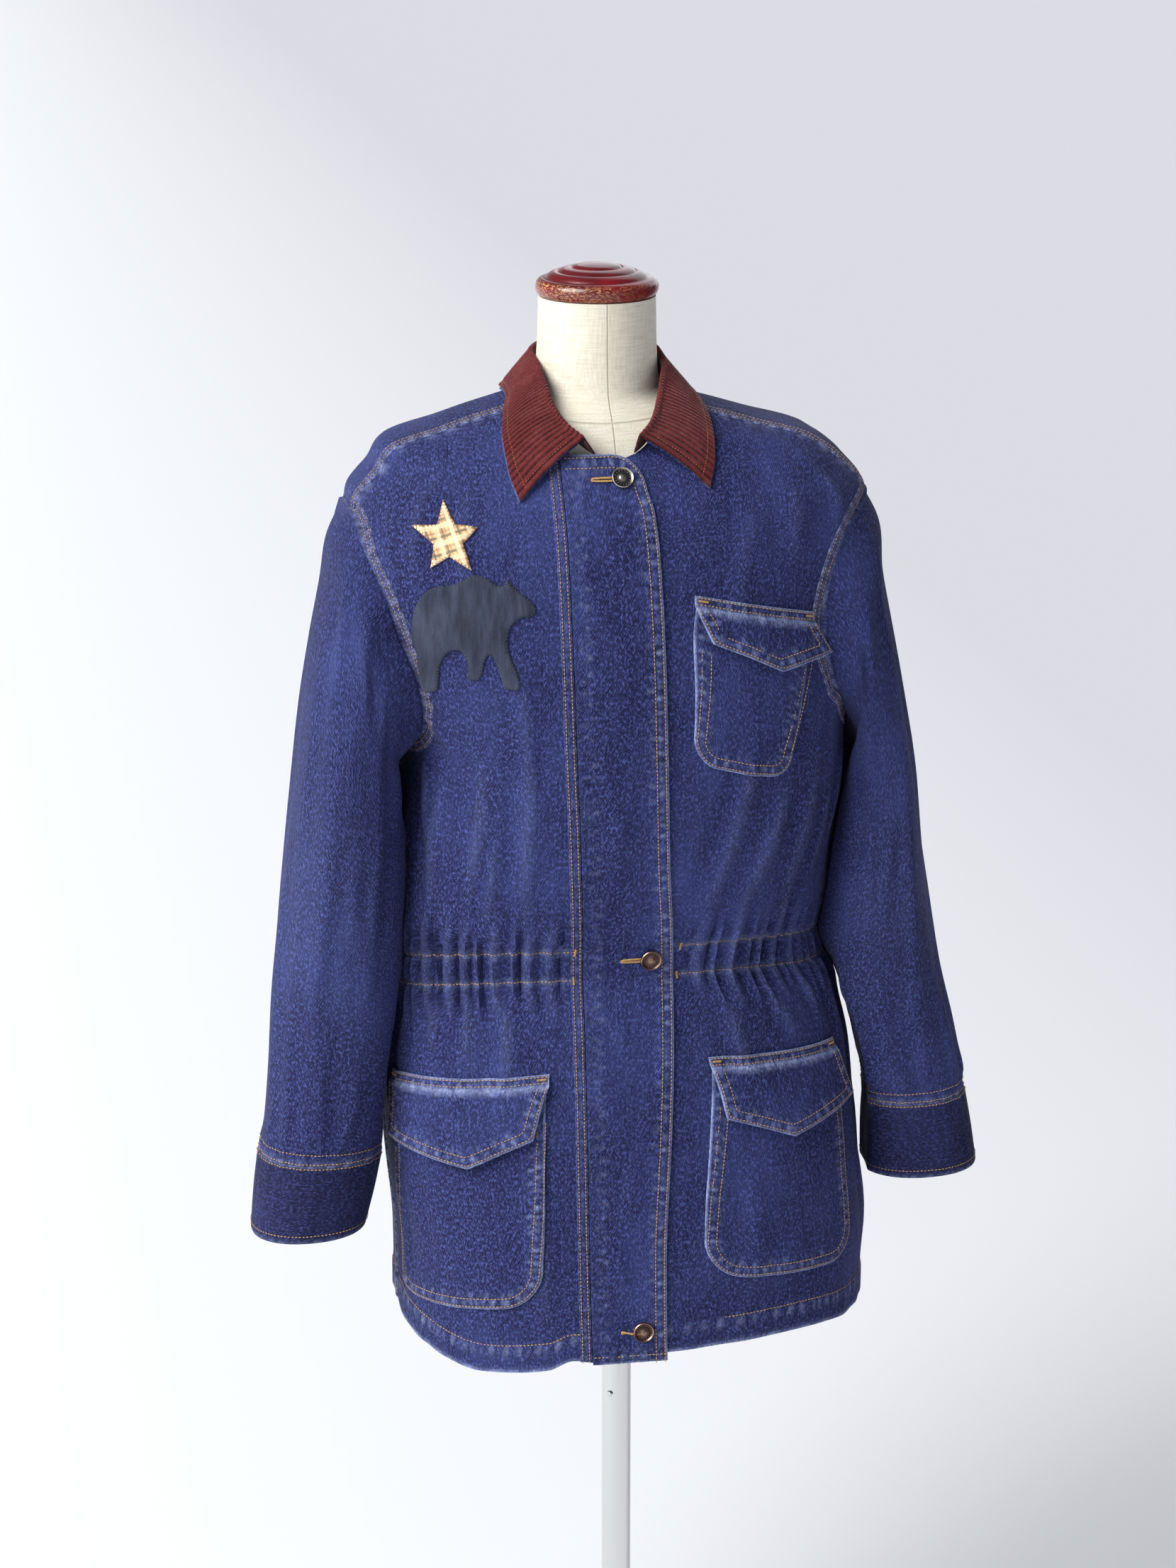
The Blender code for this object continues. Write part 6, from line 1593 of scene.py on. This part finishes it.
placketCreases = np.array((
    # x and z of both ends, width and depth in millimetres
    (-0.050, 1.190, -0.010, 1.120, 7, 1.0), (-0.045, 1.120, -0.020, 1.060, 7, 1.0),
    (-0.015, 1.100, -0.030, 1.000, 8, 0.9), (-0.050, 1.040, -0.030, 0.950, 7, 1.0),
    (-0.020, 0.960, -0.040, 0.870, 7, 1.0), (-0.008, 0.900, -0.018, 0.840, 6, 0.9),
    (-0.040, 0.790, -0.012, 0.740, 8, 1.1), (-0.015, 0.790, 0.005, 0.750, 6, 1.0),
    (-0.035, 0.720, -0.015, 0.640, 8, 1.0), (-0.010, 0.660, -0.025, 0.580, 7, 0.9),
    (-0.035, 0.600, -0.020, 0.520, 7, 0.9), (0.000, 0.560, -0.010, 0.500, 6, 0.8),
))


def makePlacket():
    lowZ, topZ, bend = placketTable[0, 0], placketSizes["top"], placketSizes["round"]
    freeZ = topZ - bend
    heights = np.append(np.arange(lowZ, freeZ, 0.012), freeZ)
    free = [(float(smooth(placketTable, 2, z)), z) for z in heights]
    ridge = [(float(smooth(placketTable, 1, z)), z) for z in heights]
    corner = free[-1][0] - bend
    topLine = arcPoints((corner, freeZ), bend, 0, 90, 12)[1:] + [(corner - 0.016, topZ + 0.0005)]
    outline = free + topLine + [(ridge[-1][0], topZ + 0.001)] + ridge[::-1]

    def feature(plan, gap, run):
        total = np.zeros(len(plan))
        for x0, z0, x1, z1, wide, deep in placketCreases:
            along, off = alongLine(plan[:, 0], plan[:, 1], x0, z0, x1, z1)
            total += window((along - 0.5) / 0.75) * deep / 1000 * (
                np.exp(-(off * 1000 / wide) ** 2) - 0.5 * np.exp(-((off * 1000 - 1.6 * wide) / wide) ** 2))
        ridgeX = smooth(placketTable, 1, plan[:, 1])
        sewn = ease((plan[:, 0] - ridgeX - 0.003) / 0.010)
        return sewnEdge(gap, run, 0.0125, 0.0005) * sewn + 0.0004 * (1 - sewn) + total * ease(gap / 0.012)

    def placketWear(plan, gap, run):
        sewn = ease((plan[:, 0] - smooth(placketTable, 1, plan[:, 1]) - 0.003) / 0.010)
        return edgeWear(gap, run, 0.0125) * (0.06 + 0.94 * sewn)

    piece, place = overlay("placket_cloth", outline, frontView, cloth["lift"], placketSizes["wall"], denim,
                           feature=feature, worn=placketWear)
    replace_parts(piece, "placket")
    rows = []
    for depth in (0.0022, 0.0095):
        path = [(x - depth, z) for x, z in free] + arcPoints((corner, freeZ), bend - depth, 0, 90, 12)[1:]
        path.append((ridge[-1][0] + 0.004, topZ - depth))
        rows.append(stitchLine(place, denseLine(path, 0.003), lift=0.0009))
    for depth in (0.0024, 0.0080):
        rows.append(stitchLine(bodyPlace, ridgePath(), depth, 0.0010))
    hemRow = [(ridge[0][0] + 0.002, lowZ + 0.0065), (free[0][0] - 0.002, lowZ + 0.0065)]
    rows.append(stitchLine(place, denseLine(hemRow, 0.003), lift=0.0008))
    holes = []
    for (x, z), end in zip(buttons["places"], buttonholes["ends"]):
        length = x - end
        loop = []
        for t in np.linspace(0, 2 * math.pi, 60):
            loop.append((end + length / 2 + length / 2 * math.cos(t),
                         z - 0.0005 + buttonholes["half"] * np.sign(math.sin(t)) * abs(math.sin(t)) ** 0.5))
        holes.append(stitchLine(place, denseLine(loop, 0.0006), lift=0.0011, step=0.0006,
                                lean=math.pi / 2 * 0.86))
    return piece, rows, holes


def starOutline():
    points = []
    for k in range(5):
        for radius, half in ((star["outer"] * star["reach"][k], 0), (star["inner"], 36)):
            turn = math.radians(90 + star["turn"] + 72 * k + half)
            points.append((star["x"] + radius * math.cos(turn) * 0.93, star["z"] + radius * math.sin(turn)))
    return points


def makePatches():
    edges = (0.0008, 0.0020, 0.0034)

    def puffed(plan, gap, run):
        return 0.0006 * ease(gap / 0.003) + 0.0005 * ripple(run, 0.0042) * np.exp(-((gap - 0.0014) / 0.0014) ** 2) \
            - 0.0004 * ease(1 - gap / 0.0008)

    starPiece, starPlace = overlay("star_patch_cloth", starOutline(), frontView, cloth["lift"], cloth["patch"],
                                   plaid, spacing=0.0030, rims=edges, feature=puffed)
    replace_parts(starPiece, "star_patch")
    outline = [(bear["x"] + x / 1000, bear["z"] + z / 1000) for x, z in bear["outline"]]
    outline = smoothLoop(outline, 4)

    def bearFeature(plan, gap, run):
        lines = np.sin((plan[:, 0] + 0.12 * plan[:, 1]) * 2 * np.pi / 0.0105 + 1.6 * np.sin(plan[:, 1] * 90)
                       + 2.2 * np.sin(plan[:, 0] * 160))
        return puffed(plan, gap, run) + 0.0007 * np.clip(lines, 0, 1) ** 2 * ease(gap / 0.006)

    bearPiece, bearPlace = overlay("bear_patch_cloth", outline, frontView, cloth["lift"], cloth["patch"], cotton,
                                   spacing=0.0032, rims=edges, feature=bearFeature)
    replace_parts(bearPiece, "bear_patch")
    threads = []
    for place, shape, lift in ((starPlace, starOutline(), 0.0004), (bearPlace, outline, 0.0005)):
        loop = inset(shape, 0.0006)
        threads.append([stitchLine(place, denseLine(np.concatenate((loop, loop[:1])), 0.0015), lift=lift,
                                   step=0.0015, lean=math.radians(62))])
    return starPiece, bearPiece, *threads


# Collar

def collarColumns(count):
    share = np.linspace(-1, 1, count)
    side, along = np.where(share < 0, -1.0, 1.0), np.abs(share)
    turn = np.radians(180.0 - (180.0 - collarSizes["neckEnd"]) * along)
    c = np.cos(turn)
    baseX = neckSizes["x"] + side * (neckSizes["half"] - cloth["corduroy"]) * np.sin(turn)
    baseY = neckSizes["y"] - np.where(c > 0, neckSizes["front"], neckSizes["back"]) * c
    base = np.stack((baseX, baseY, heightAt(baseX, baseY) + 0.0009), axis=-1)
    middle, foldX, foldY, foldZ, edgeX, edgeY, swell = [smooth(collarTable, i, along) for i in range(1, 8)]
    crest = np.stack((middle + side * foldX, foldY, foldZ), axis=-1)
    edgeX = middle + side * edgeX
    edge = np.stack((edgeX, edgeY, heightAt(edgeX, edgeY) + collarSizes["clear"]), axis=-1)
    out = edge - crest
    out[:, 2] = 0
    return base, crest, edge, unit(out), swell[:, None]


def throughRows(rows, per):
    # A smooth loft through rows of points, with per rows for each step.
    rows = np.asarray(rows)
    made = []
    for k in range(len(rows) - 1):
        p0, p1, p2, p3 = (rows[min(max(k + i, 0), len(rows) - 1)] for i in (-1, 0, 1, 2))
        made += [smoothBetween(p0, p1, p2, p3, f) for f in np.arange(per) / per]
    made.append(rows[-1])
    return np.array(made)


def collarRows(count):
    base, crest, edge, out, swell = collarColumns(count)
    up = np.array((0.0, 0.0, 1.0))
    turn, drop = collarSizes["turn"], collarSizes["drop"]
    standTop = crest - turn * out - drop * up
    leafTop = crest + turn * out - drop * up
    stand = throughRows([base, (base + standTop) / 2, standTop, crest, leafTop], 3)
    leaf = []
    for share in np.linspace(0, 1, 15)[1:]:
        rise = swell * 4 * share * (1 - share)
        leaf.append(leafTop + (edge - leafTop) * share + rise * (out * 0.5 + up * 0.85))
    leaf = np.array(leaf)
    need = heightAt(leaf[..., 0], leaf[..., 1]) + collarSizes["clear"]
    soft = 0.0012
    leaf[..., 2] = need + soft * np.log1p(np.exp(np.clip((leaf[..., 2] - need) / soft, -30, 30)))
    return stand, leaf


def evenUv(rows, columns, length, width):
    return np.stack(np.broadcast_arrays(np.linspace(0, width, columns)[None, :],
                                        np.linspace(0, length, rows)[:, None]), -1)


def makeCollar():
    wales, per = collarSizes["wales"], collarSizes["perWale"]
    count = wales * per + 1
    stand, leaf = collarRows(count)
    rows = np.concatenate((stand, leaf))
    out = gridNormals(rows)
    if out[len(stand) - 4, count // 2, 2] < 0:
        out = -out
    wave = 0.5 - 0.5 * np.cos(2 * np.pi * np.arange(count) / per)
    wave = wave ** 0.7
    first = 3 * 2
    # raised marks the wale tops: it shapes the ribs and is the mask for the collar's painted shade between the wales
    raised = np.concatenate((np.zeros(first), np.ones(len(rows) - first)))[:, None] * wave[None, :]
    lastRow = np.ones(len(rows))
    lastRow[-1] = 0.2
    stitch = 1 - 0.55 * np.exp(-((np.arange(len(rows)) - (len(rows) - 3)) / 0.7) ** 2)
    high = collarSizes["rib"] * raised * (lastRow * stitch)[:, None] - 0.0004 * (1 - stitch)[:, None]
    points = rows + high[..., None] * out
    uv = evenUv(len(rows), count, 0.09, 0.41)
    made = makeMesh("collar_corduroy", [layShell(points, out, cloth["corduroy"], uv, raised)], corduroy,
                    "wale")
    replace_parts(made, "collar")
    plainStand, plainLeaf = collarRows(180)
    under = np.concatenate((plainStand[-1:], plainLeaf))
    outUnder = gridNormals(under)
    if outUnder[0, 90, 2] < 0:
        outUnder = -outUnder
    low = cloth["corduroy"] + collarSizes["underGap"]
    top = under - low * outUnder
    reach = unit(top[-1] - top[-2])
    top[-1] = top[-1] + collarSizes["peek"] * 1.5 * reach
    top[0] = top[0] + 0.6 * (top[1] - top[0])
    uv = evenUv(len(top), 180, 0.06, 0.41)
    edge = np.zeros(top.shape[:2])
    edge[-2:] = 0.15
    undercollar = makeMesh("undercollar_cloth", [layShell(top, outUnder, cloth["denim"], uv, edge)], denim)
    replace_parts(undercollar, "undercollar")
    edgeRow = (slice(-3, -2), slice(4, -4))
    endRows = [(slice(len(stand) + 1, -2), slice(column, column + 1)) for column in (7, count - 8)]
    rows = []
    for place, lift in ((edgeRow, 0.0002), *[(place, 0.0004) for place in endRows]):
        line, normal = points[place].reshape(-1, 3), out[place].reshape(-1, 3)
        rows.append({"points": line + lift * normal, "lay": unit(np.gradient(line, axis=0)), "out": normal})
    return made, undercollar, rows


# Buttons, the form and its stand

def lathe(profile, steps):
    # Points of a turned shape, rows by steps, from the top down its outer side.
    turn = np.radians(np.arange(steps) * 360.0 / steps)
    profile = np.asarray(profile, float)
    return np.stack((profile[:, :1] * np.cos(turn), profile[:, :1] * np.sin(turn),
                     np.repeat(profile[:, 1:2], steps, axis=1)), axis=-1)


def turnedMesh(name, profile, steps, layer, values, finish, at=None, turn=None, extra=None):
    # A closed turned piece. values gives the attribute for each point of the profile.
    rows = lathe(profile, steps)
    cage = bmesh.new()
    tag = cage.verts.layers.float.new(layer)
    rings = []
    for number, row in enumerate(rows):
        ring = []
        pole = abs(profile[number][0]) < 1e-9
        for k, point in enumerate(row):
            if pole and k:
                ring.append(ring[0])
                continue
            vert = cage.verts.new(point)
            vert[tag] = values[number]
            ring.append(vert)
        rings.append(ring)
    for a, b in zip(rings[:-1], rings[1:]):
        for k in range(steps):
            n = (k + 1) % steps
            corners = []
            for vert in (a[k], b[k], b[n], a[n]):
                if vert not in corners:
                    corners.append(vert)
            if len(corners) > 2:
                cage.faces.new(corners)
    for place, size in extra or ():
        made = bmesh.ops.create_icosphere(cage, subdivisions=1, radius=size)
        for vert in made["verts"]:
            vert[tag] = 1.0
            vert.co = Vector((vert.co.x, vert.co.y, vert.co.z * 0.8)) + Vector(place)
    bmesh.ops.recalc_face_normals(cage, faces=cage.faces)
    for vert in cage.verts:
        point = turn @ vert.co if turn else vert.co.copy()
        vert.co = point + Vector(at) if at is not None else point
    return makePiece(name, cageMesh(name, cage), finish, 44.0)


def makeButtons():
    for number, (x, z) in enumerate(buttons["places"]):
        node = f"button_{number + 1}"
        low, high = (np.array(v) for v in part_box(node))
        u = float(angleAtX(x, z))
        normal = normalOf(smoothBody, np.array([u]), np.array([z]))[0]
        turn = Vector(normal).to_track_quat("Z", "Y")
        thick = 0.0028
        base = (low + high) / 2 - normal * thick / 2
        ring = buttons["dotRing"]
        dots = [((ring * math.cos(a), ring * math.sin(a), 0.0017), buttons["dotSize"])
                for a in np.arange(buttons["dots"]) * 2 * math.pi / buttons["dots"]]
        heights = [p[1] for p in buttons["profile"]]
        values = [min(1.0, max(0.0, (h - 0.0016) / 0.0009)) for h in heights]
        finish = silverButton if number == 0 else copperButton
        piece = turnedMesh(node + "_struck", buttons["profile"], 56, "raised", values, finish,
                           base, turn, dots)
        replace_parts(piece, node)


formLow = np.array((
    (0.600, -0.006, 0.140, 0.095, 0.105), (0.612, -0.006, 0.156, 0.108, 0.120),
    (0.660, -0.008, 0.166, 0.114, 0.130), (0.740, -0.010, 0.156, 0.106, 0.120),
    (0.860, -0.013, 0.126, 0.092, 0.094), (0.980, -0.016, 0.142, 0.106, 0.104),
    (1.060, -0.018, 0.154, 0.116, 0.112), (1.130, -0.020, 0.162, 0.110, 0.112),
    (1.180, -0.020, 0.166, 0.098, 0.104), (1.204, -0.020, 0.1670, 0.0895, 0.096),
))
formHigh = ((1.2200, 0.0055), (1.2270, 0.0050), (1.2350, 0.0040), (1.2425, 0.0030), (1.2500, 0.0024))
formNeck = np.array((
    (1.2590, -0.0195, 0.0560, 0.0540, 0.0550), (1.2720, -0.0185, 0.0500, 0.0495, 0.0500),
    (1.2950, -0.0180, 0.0478, 0.0478, 0.0478), (1.3343, -0.0178, 0.0468, 0.0468, 0.0468),
))


def makeForm():
    turn = np.radians(np.arange(120) * 3.0)
    rows = [oval(*row[1:], 2.2, turn, row[0]) for row in formLow]
    for height, under in formHigh:
        u, z = np.degrees(turn), np.full(120, height)
        rows.append(smoothBody(u, z) - (cloth["denim"] + under) * normalOf(smoothBody, u, z))
    rows += [oval(*row[1:], 2.0, turn, row[0]) for row in formNeck]
    fine = throughRows(rows, 5)
    bottom = fine[0].mean(axis=0)
    top = fine[-1].mean(axis=0)
    rings = np.concatenate((bottom + (fine[:1] - bottom) * np.array((0.001, 0.5, 0.9))[:, None, None], fine,
                            top + (fine[-1:] - top) * np.array((0.9, 0.5, 0.001))[:, None, None]))
    cage = bmesh.new()
    verts = [[cage.verts.new(p) for p in ring] for ring in rings]
    for a, b in zip(verts[:-1], verts[1:]):
        for k in range(120):
            n = (k + 1) % 120
            cage.faces.new((a[k], a[n], b[n], b[k]))
    cage.faces.new(verts[0])
    cage.faces.new(verts[-1])
    bmesh.ops.remove_doubles(cage, verts=cage.verts, dist=1e-6)
    bmesh.ops.recalc_face_normals(cage, faces=cage.faces)
    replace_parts(makePiece("linen_form", cageMesh("linen_form", cage), linen), "form_torso")


cap = {"x": -0.0178, "profile": (
    (0.0, 1.3600), (0.0050, 1.3599), (0.0100, 1.3595), (0.0150, 1.3587), (0.0186, 1.3577), (0.0196, 1.3566),
    (0.0202, 1.3562), (0.0210, 1.3568), (0.0225, 1.3569), (0.0265, 1.3560), (0.0298, 1.3548), (0.0307, 1.3538),
    (0.0313, 1.3533), (0.0322, 1.3538), (0.0345, 1.3534), (0.0378, 1.3520), (0.0398, 1.3506), (0.0405, 1.3494),
    (0.0412, 1.3487), (0.0440, 1.3486), (0.0462, 1.3477), (0.0480, 1.3459), (0.0490, 1.3436), (0.0492, 1.3414),
    (0.0488, 1.3388), (0.0476, 1.3365), (0.0455, 1.3346), (0.0, 1.3346))}
pole = {"radius": 0.0125, "top": 0.5995, "low": 0.0083, "snapZ": 0.385, "snapAngle": -37.0}
basePlate = {"radius": 0.175, "height": 0.008}


def makeStand():
    values = [max(0.0, 1 - abs(r - 0.0480) / 0.0030) if z > 1.3360 else 0.4 for r, z in cap["profile"]]
    piece = turnedMesh("neck_cap_lacquered", cap["profile"], 120, "edge", values, lacquer,
                       (cap["x"], 0.0, 0.0))
    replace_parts(piece, "neck_cap")
    r = pole["radius"]
    profile = [(0.0, pole["top"]), (r - 0.0006, pole["top"]), (r, pole["top"] - 0.0006)]
    profile += [(r, z) for z in np.linspace(0.55, 0.05, 11)]
    profile += [(r, pole["low"] + 0.0006), (r - 0.0006, pole["low"]), (0.0, pole["low"])]
    piece = turnedMesh("chrome_pole", profile, 72, "edge", [0.0] * len(profile), chrome)
    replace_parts(piece, "pole")
    radius, height = basePlate["radius"], basePlate["height"]
    edge = arcPoints((radius - 0.0032, height - 0.0032), 0.0032, 90, 0, 7)
    profile = [(0.0, height), (0.020, height), (0.100, height), (0.150, height)] + edge
    profile += [(radius, 0.0006), (radius - 0.0006, 0.0), (0.100, 0.0), (0.0, 0.0)]
    piece = turnedMesh("base_plate", profile, 144, "edge", [0.0] * len(profile), powderCoat)
    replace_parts(piece, "base")
    turn = math.radians(pole["snapAngle"])
    reach = r + 0.0002
    where = (math.sin(turn) * reach, -math.cos(turn) * reach, pole["snapZ"])
    out = Vector((math.sin(turn), -math.cos(turn), 0)).to_track_quat("Z", "Y")
    profile = [(0.0, 0.0017), (0.0008, 0.0016), (0.0016, 0.0012), (0.0023, 0.0007), (0.0026, 0.0003),
               (0.0026, 0.0), (0.0, 0.0)]
    piece = turnedMesh("snap_button", profile, 32, "edge", [0.0] * 7, chrome, where, out)
    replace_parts(piece, "pole_button")


# The stage and its light

# light and dark are the floor's painted window light and painted shade across x, over reach metres
stage = {"floor": 60.0, "light": "#fafcfd", "dark": "#c9c9cf", "reach": 1.5, "low": "#d0d3d9",
         "high": "#5a5f66", "fade": (0.06, 0.40)}
# The window's light comes from the viewer's left, with a weak lamp on the other side
sun = {"towards": (-0.72, -0.31, 0.62), "strength": 5.0, "spread": 46.0, "colour": (1.0, 0.995, 0.98)}
backSun = {"towards": (0.52, 0.76, 0.38), "strength": 0.8, "spread": 60.0, "colour": (0.94, 0.97, 1.0)}
# Black cards that only gloss sees: they draw the dark bands in the chrome and the lacquer
flags = (
    # from x, y, to x, y, height
    ("sideFlag", 1.02, -1.70, 1.02, 0.90, 1.60),
    ("poleFlag", -0.12, -0.95, 0.42, -0.88, 0.42),
)
fill = {"place": (2.9, -2.4, 1.8), "size": 2.4, "power": 3.0, "colour": (0.90, 0.94, 1.0)}


def addLamp(name, kind, power, colour, towards):
    data = bpy.data.lights.new(name, kind)
    data.energy = power
    data.color = colour
    lamp = addObject(name, data)
    lamp.rotation_euler = Vector(towards).to_track_quat("Z", "Y").to_euler()
    return lamp


def addSheet(name, corners, finish):
    # A flat sheet of the stage, with four corners.
    mesh = bpy.data.meshes.new(name)
    mesh.from_pydata(corners, [], [(0, 1, 2, 3)])
    sheet = addObject(name, mesh)
    mesh.materials.append(finish)
    return sheet


def makeStage():
    # Matt pale paint, with painted light: bright towards the window on the left, painted shade greyer towards +x
    finish, tree, shader = newFinish("paleFloor", Roughness=0.9, Specular_IOR_Level=0.1)
    where = addNode(tree, "ShaderNodeTexCoord").outputs["Object"]
    parts = addNode(tree, "ShaderNodeSeparateXYZ", links={0: where})
    across = ranged(tree, parts.outputs[0], -stage["reach"], stage["reach"])
    tree.links.new(blendColour(tree, across, stage["light"], stage["dark"]), shader.inputs["Base Color"])
    half = stage["floor"]
    addSheet("floor", [(-half, -half, 0), (half, -half, 0), (half, half, 0), (-half, half, 0)], finish)
    felt = newFinish("blackFelt", Base_Color=linear("#0c0c0d"), Roughness=1.0)[0]
    for name, x0, y0, x1, y1, top in flags:
        card = addSheet(name, [(x0, y0, 0), (x1, y1, 0), (x1, y1, top), (x0, y0, top)], felt)
        card.visible_camera = card.visible_diffuse = card.visible_shadow = False
    world = bpy.data.worlds.new("studio")
    bpy.context.scene.world = world
    world.use_nodes = True
    # The room is pale along its walls and dim overhead
    tree = world.node_tree
    view = addNode(tree, "ShaderNodeTexCoord").outputs["Generated"]
    height = addNode(tree, "ShaderNodeSeparateXYZ", links={0: view}).outputs[2]
    tone = blendColour(tree, ranged(tree, height, *stage["fade"]), stage["low"], stage["high"])
    tree.links.new(tone, tree.nodes["Background"].inputs[0])
    for name, light in (("window", sun), ("backSun", backSun)):
        lamp = addLamp(name, "SUN", light["strength"], light["colour"], light["towards"])
        lamp.data.angle = math.radians(light["spread"])
    side = addLamp("fill", "AREA", fill["power"], fill["colour"], Vector(fill["place"]) - Vector((0, 0, 0.95)))
    side.location = fill["place"]
    side.data.size = fill["size"]
    bpy.context.scene.view_settings.view_transform = "Standard"


# Making

pieces = {}
for side, word in sideWords.items():
    pieces["front_" + word] = makeFront(side)
    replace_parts(pieces["front_" + word], "front_" + word)
pieces["back"] = makeBack()
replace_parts(pieces["back"], "back")
pieces["yoke"] = makeYoke()
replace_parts(pieces["yoke"], "yoke")
print("panels made")

topRows = []
for side, word in sideWords.items():
    pieces["sleeve_" + word], armPlace = makeSleeve(side)
    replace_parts(pieces["sleeve_" + word], "sleeve_" + word)
    pieces["cuff_" + word], cuffPlace = makeCuff(side)
    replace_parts(pieces["cuff_" + word], "cuff_" + word)
    around = np.linspace(0, 360, 90)
    for row in (10.97, 10.72):
        topRows.append(stitchLine(armPlace, np.stack((around, np.full(90, row)), 1), lift=0.0004))
    for share in (0.035, 0.90):
        topRows.append(stitchLine(cuffPlace, np.stack((around, np.full(90, share)), 1), lift=0.0005))
print("sleeves made")

pieces["placket"], placketRows, holeRows = makePlacket()
topRows += placketRows
tackRows = []
for label in pockets:
    rows, tacks, made = makePocket(label)
    topRows += rows
    tackRows += tacks
    pieces[label + "_pocket"], pieces[label + "_flap"] = made
pieces["star"], pieces["bear"], starRows, bearRows = makePatches()
print("pockets and patches made")

pieces["collar"], pieces["undercollar"], collarThreads = makeCollar()


def seamRows():
    # Two rows on each felled seam, the waist channel's two, and the hem's.
    rows = []
    for side in (-1, 1):
        for depth in (0.0024, 0.0074):
            rows.append(stitchLine(bodyPlace, armPath(side, 1.1, 11.5), side * depth, 0.0009))
            rows.append(stitchLine(bodyPlace, armPath(side, 12.5, 20.0), side * depth, 0.0009))
            rows.append(stitchLine(bodyPlace, sidePath(side), -side * depth, 0.0009))
            rows.append(stitchLine(bodyPlace, shoulderPath(side), -side * depth * 1.15, 0.0009))
    for depth in (0.0024, 0.0076):
        rows.append(stitchLine(bodyPlace, backYokePath(), -depth, 0.0009))
    for low, high in ((-89.0, -9.8), (11.5, 89.0), (91.0, 269.0)):
        u = np.linspace(low, high, 200)
        for edge in (-1, 1):
            rows.append(stitchLine(bodyPlace, np.stack((u, waistLine(u) + edge * waist["half"]), 1), 0.0, 0.0004))
    for low, high in ((-89.0, -8.0), (11.0, 89.0), (91.0, 269.0)):
        u = np.linspace(low, high, 200)
        rows.append(stitchLine(bodyPlace, np.stack((u, hemHeight(u) + 0.0235), 1), 0.0, 0.0004))
    return rows


def waistTacks():
    rows = []
    for x in (-0.0597, 0.0250):
        z = waist["z"]
        u = float(angleAtX(x, z))
        for edge in (-1, 1):
            middle = float(waistLine(u)) + edge * waist["half"]
            rows.append(stitchLine(bodyPlace, np.array(((u, middle - 0.0030), (u, middle + 0.0030))), 0.0, 0.0012,
                                   0.0006, math.pi / 2))
    return rows


sew("topstitching", topRows + seamRows(), tanThread, "top")
sew("bar_tacks", tackRows + waistTacks(), paleThread, "satin")
sew("buttonholes", holeRows, paleThread, "satin")
sew("collar_stitching", collarThreads, rustThread, "fine")
sew("star_whipstitch", starRows, rustThread, "whip")
sew("bear_whipstitch", bearRows, inkThread, "whip")
makeButtons()
makeForm()
makeStand()
makeStage()
print("form and stand made")

# Each piece's cut: width, length, area, how it is held and what it lies on
cuts = {
    "front_right": (0.31, 0.80, 0.180, "hung", ["form_torso"]),
    "front_left": (0.33, 0.80, 0.195, "hung", ["form_torso"]),
    "back": (0.60, 0.66, 0.359, "hung", ["form_torso"]),
    "yoke": (0.50, 0.215, 0.102, "draped", ["form_torso"]),
    "sleeve_right": (0.52, 0.55, 0.178, "hung", ["yoke"]),
    "sleeve_left": (0.52, 0.55, 0.168, "hung", ["yoke"]),
    "cuff_right": (0.29, 0.073, None, "gathered", ["sleeve_right"]),
    "cuff_left": (0.29, 0.073, None, "gathered", ["sleeve_left"]),
    "placket": (0.077, 0.755, 0.055, "laid", ["front_right"]),
    "chest_pocket": (0.110, 0.139, 0.0126, "laid", ["front_left"]),
    "chest_flap": (0.103, 0.060, 0.0052, "laid", ["front_left"]),
    "hip_right_pocket": (0.157, 0.196, 0.0299, "laid", ["front_right"]),
    "hip_right_flap": (0.155, 0.079, 0.0103, "laid", ["front_right"]),
    "hip_left_pocket": (0.150, 0.189, 0.0257, "laid", ["front_left"]),
    "hip_left_flap": (0.146, 0.079, 0.0089, "laid", ["front_left"]),
    "star": (0.050, 0.055, 0.0013, "laid", ["front_right"]),
    "bear": (0.092, 0.098, 0.0065, "laid", ["front_right"]),
    "collar": (0.42, 0.105, 0.037, "folded", ["yoke"]),
    "undercollar": (0.42, 0.062, 0.0238, "folded", ["yoke"]),
}


def clothArea(obj):
    return sum(face.area for face in obj.data.polygons) / 2


for name, (width, length, area, held, on) in cuts.items():
    print("cut", name, round(area or width * length, 4), "cloth", round(clothArea(pieces[name]), 4))

bpy.context.view_layer.update()
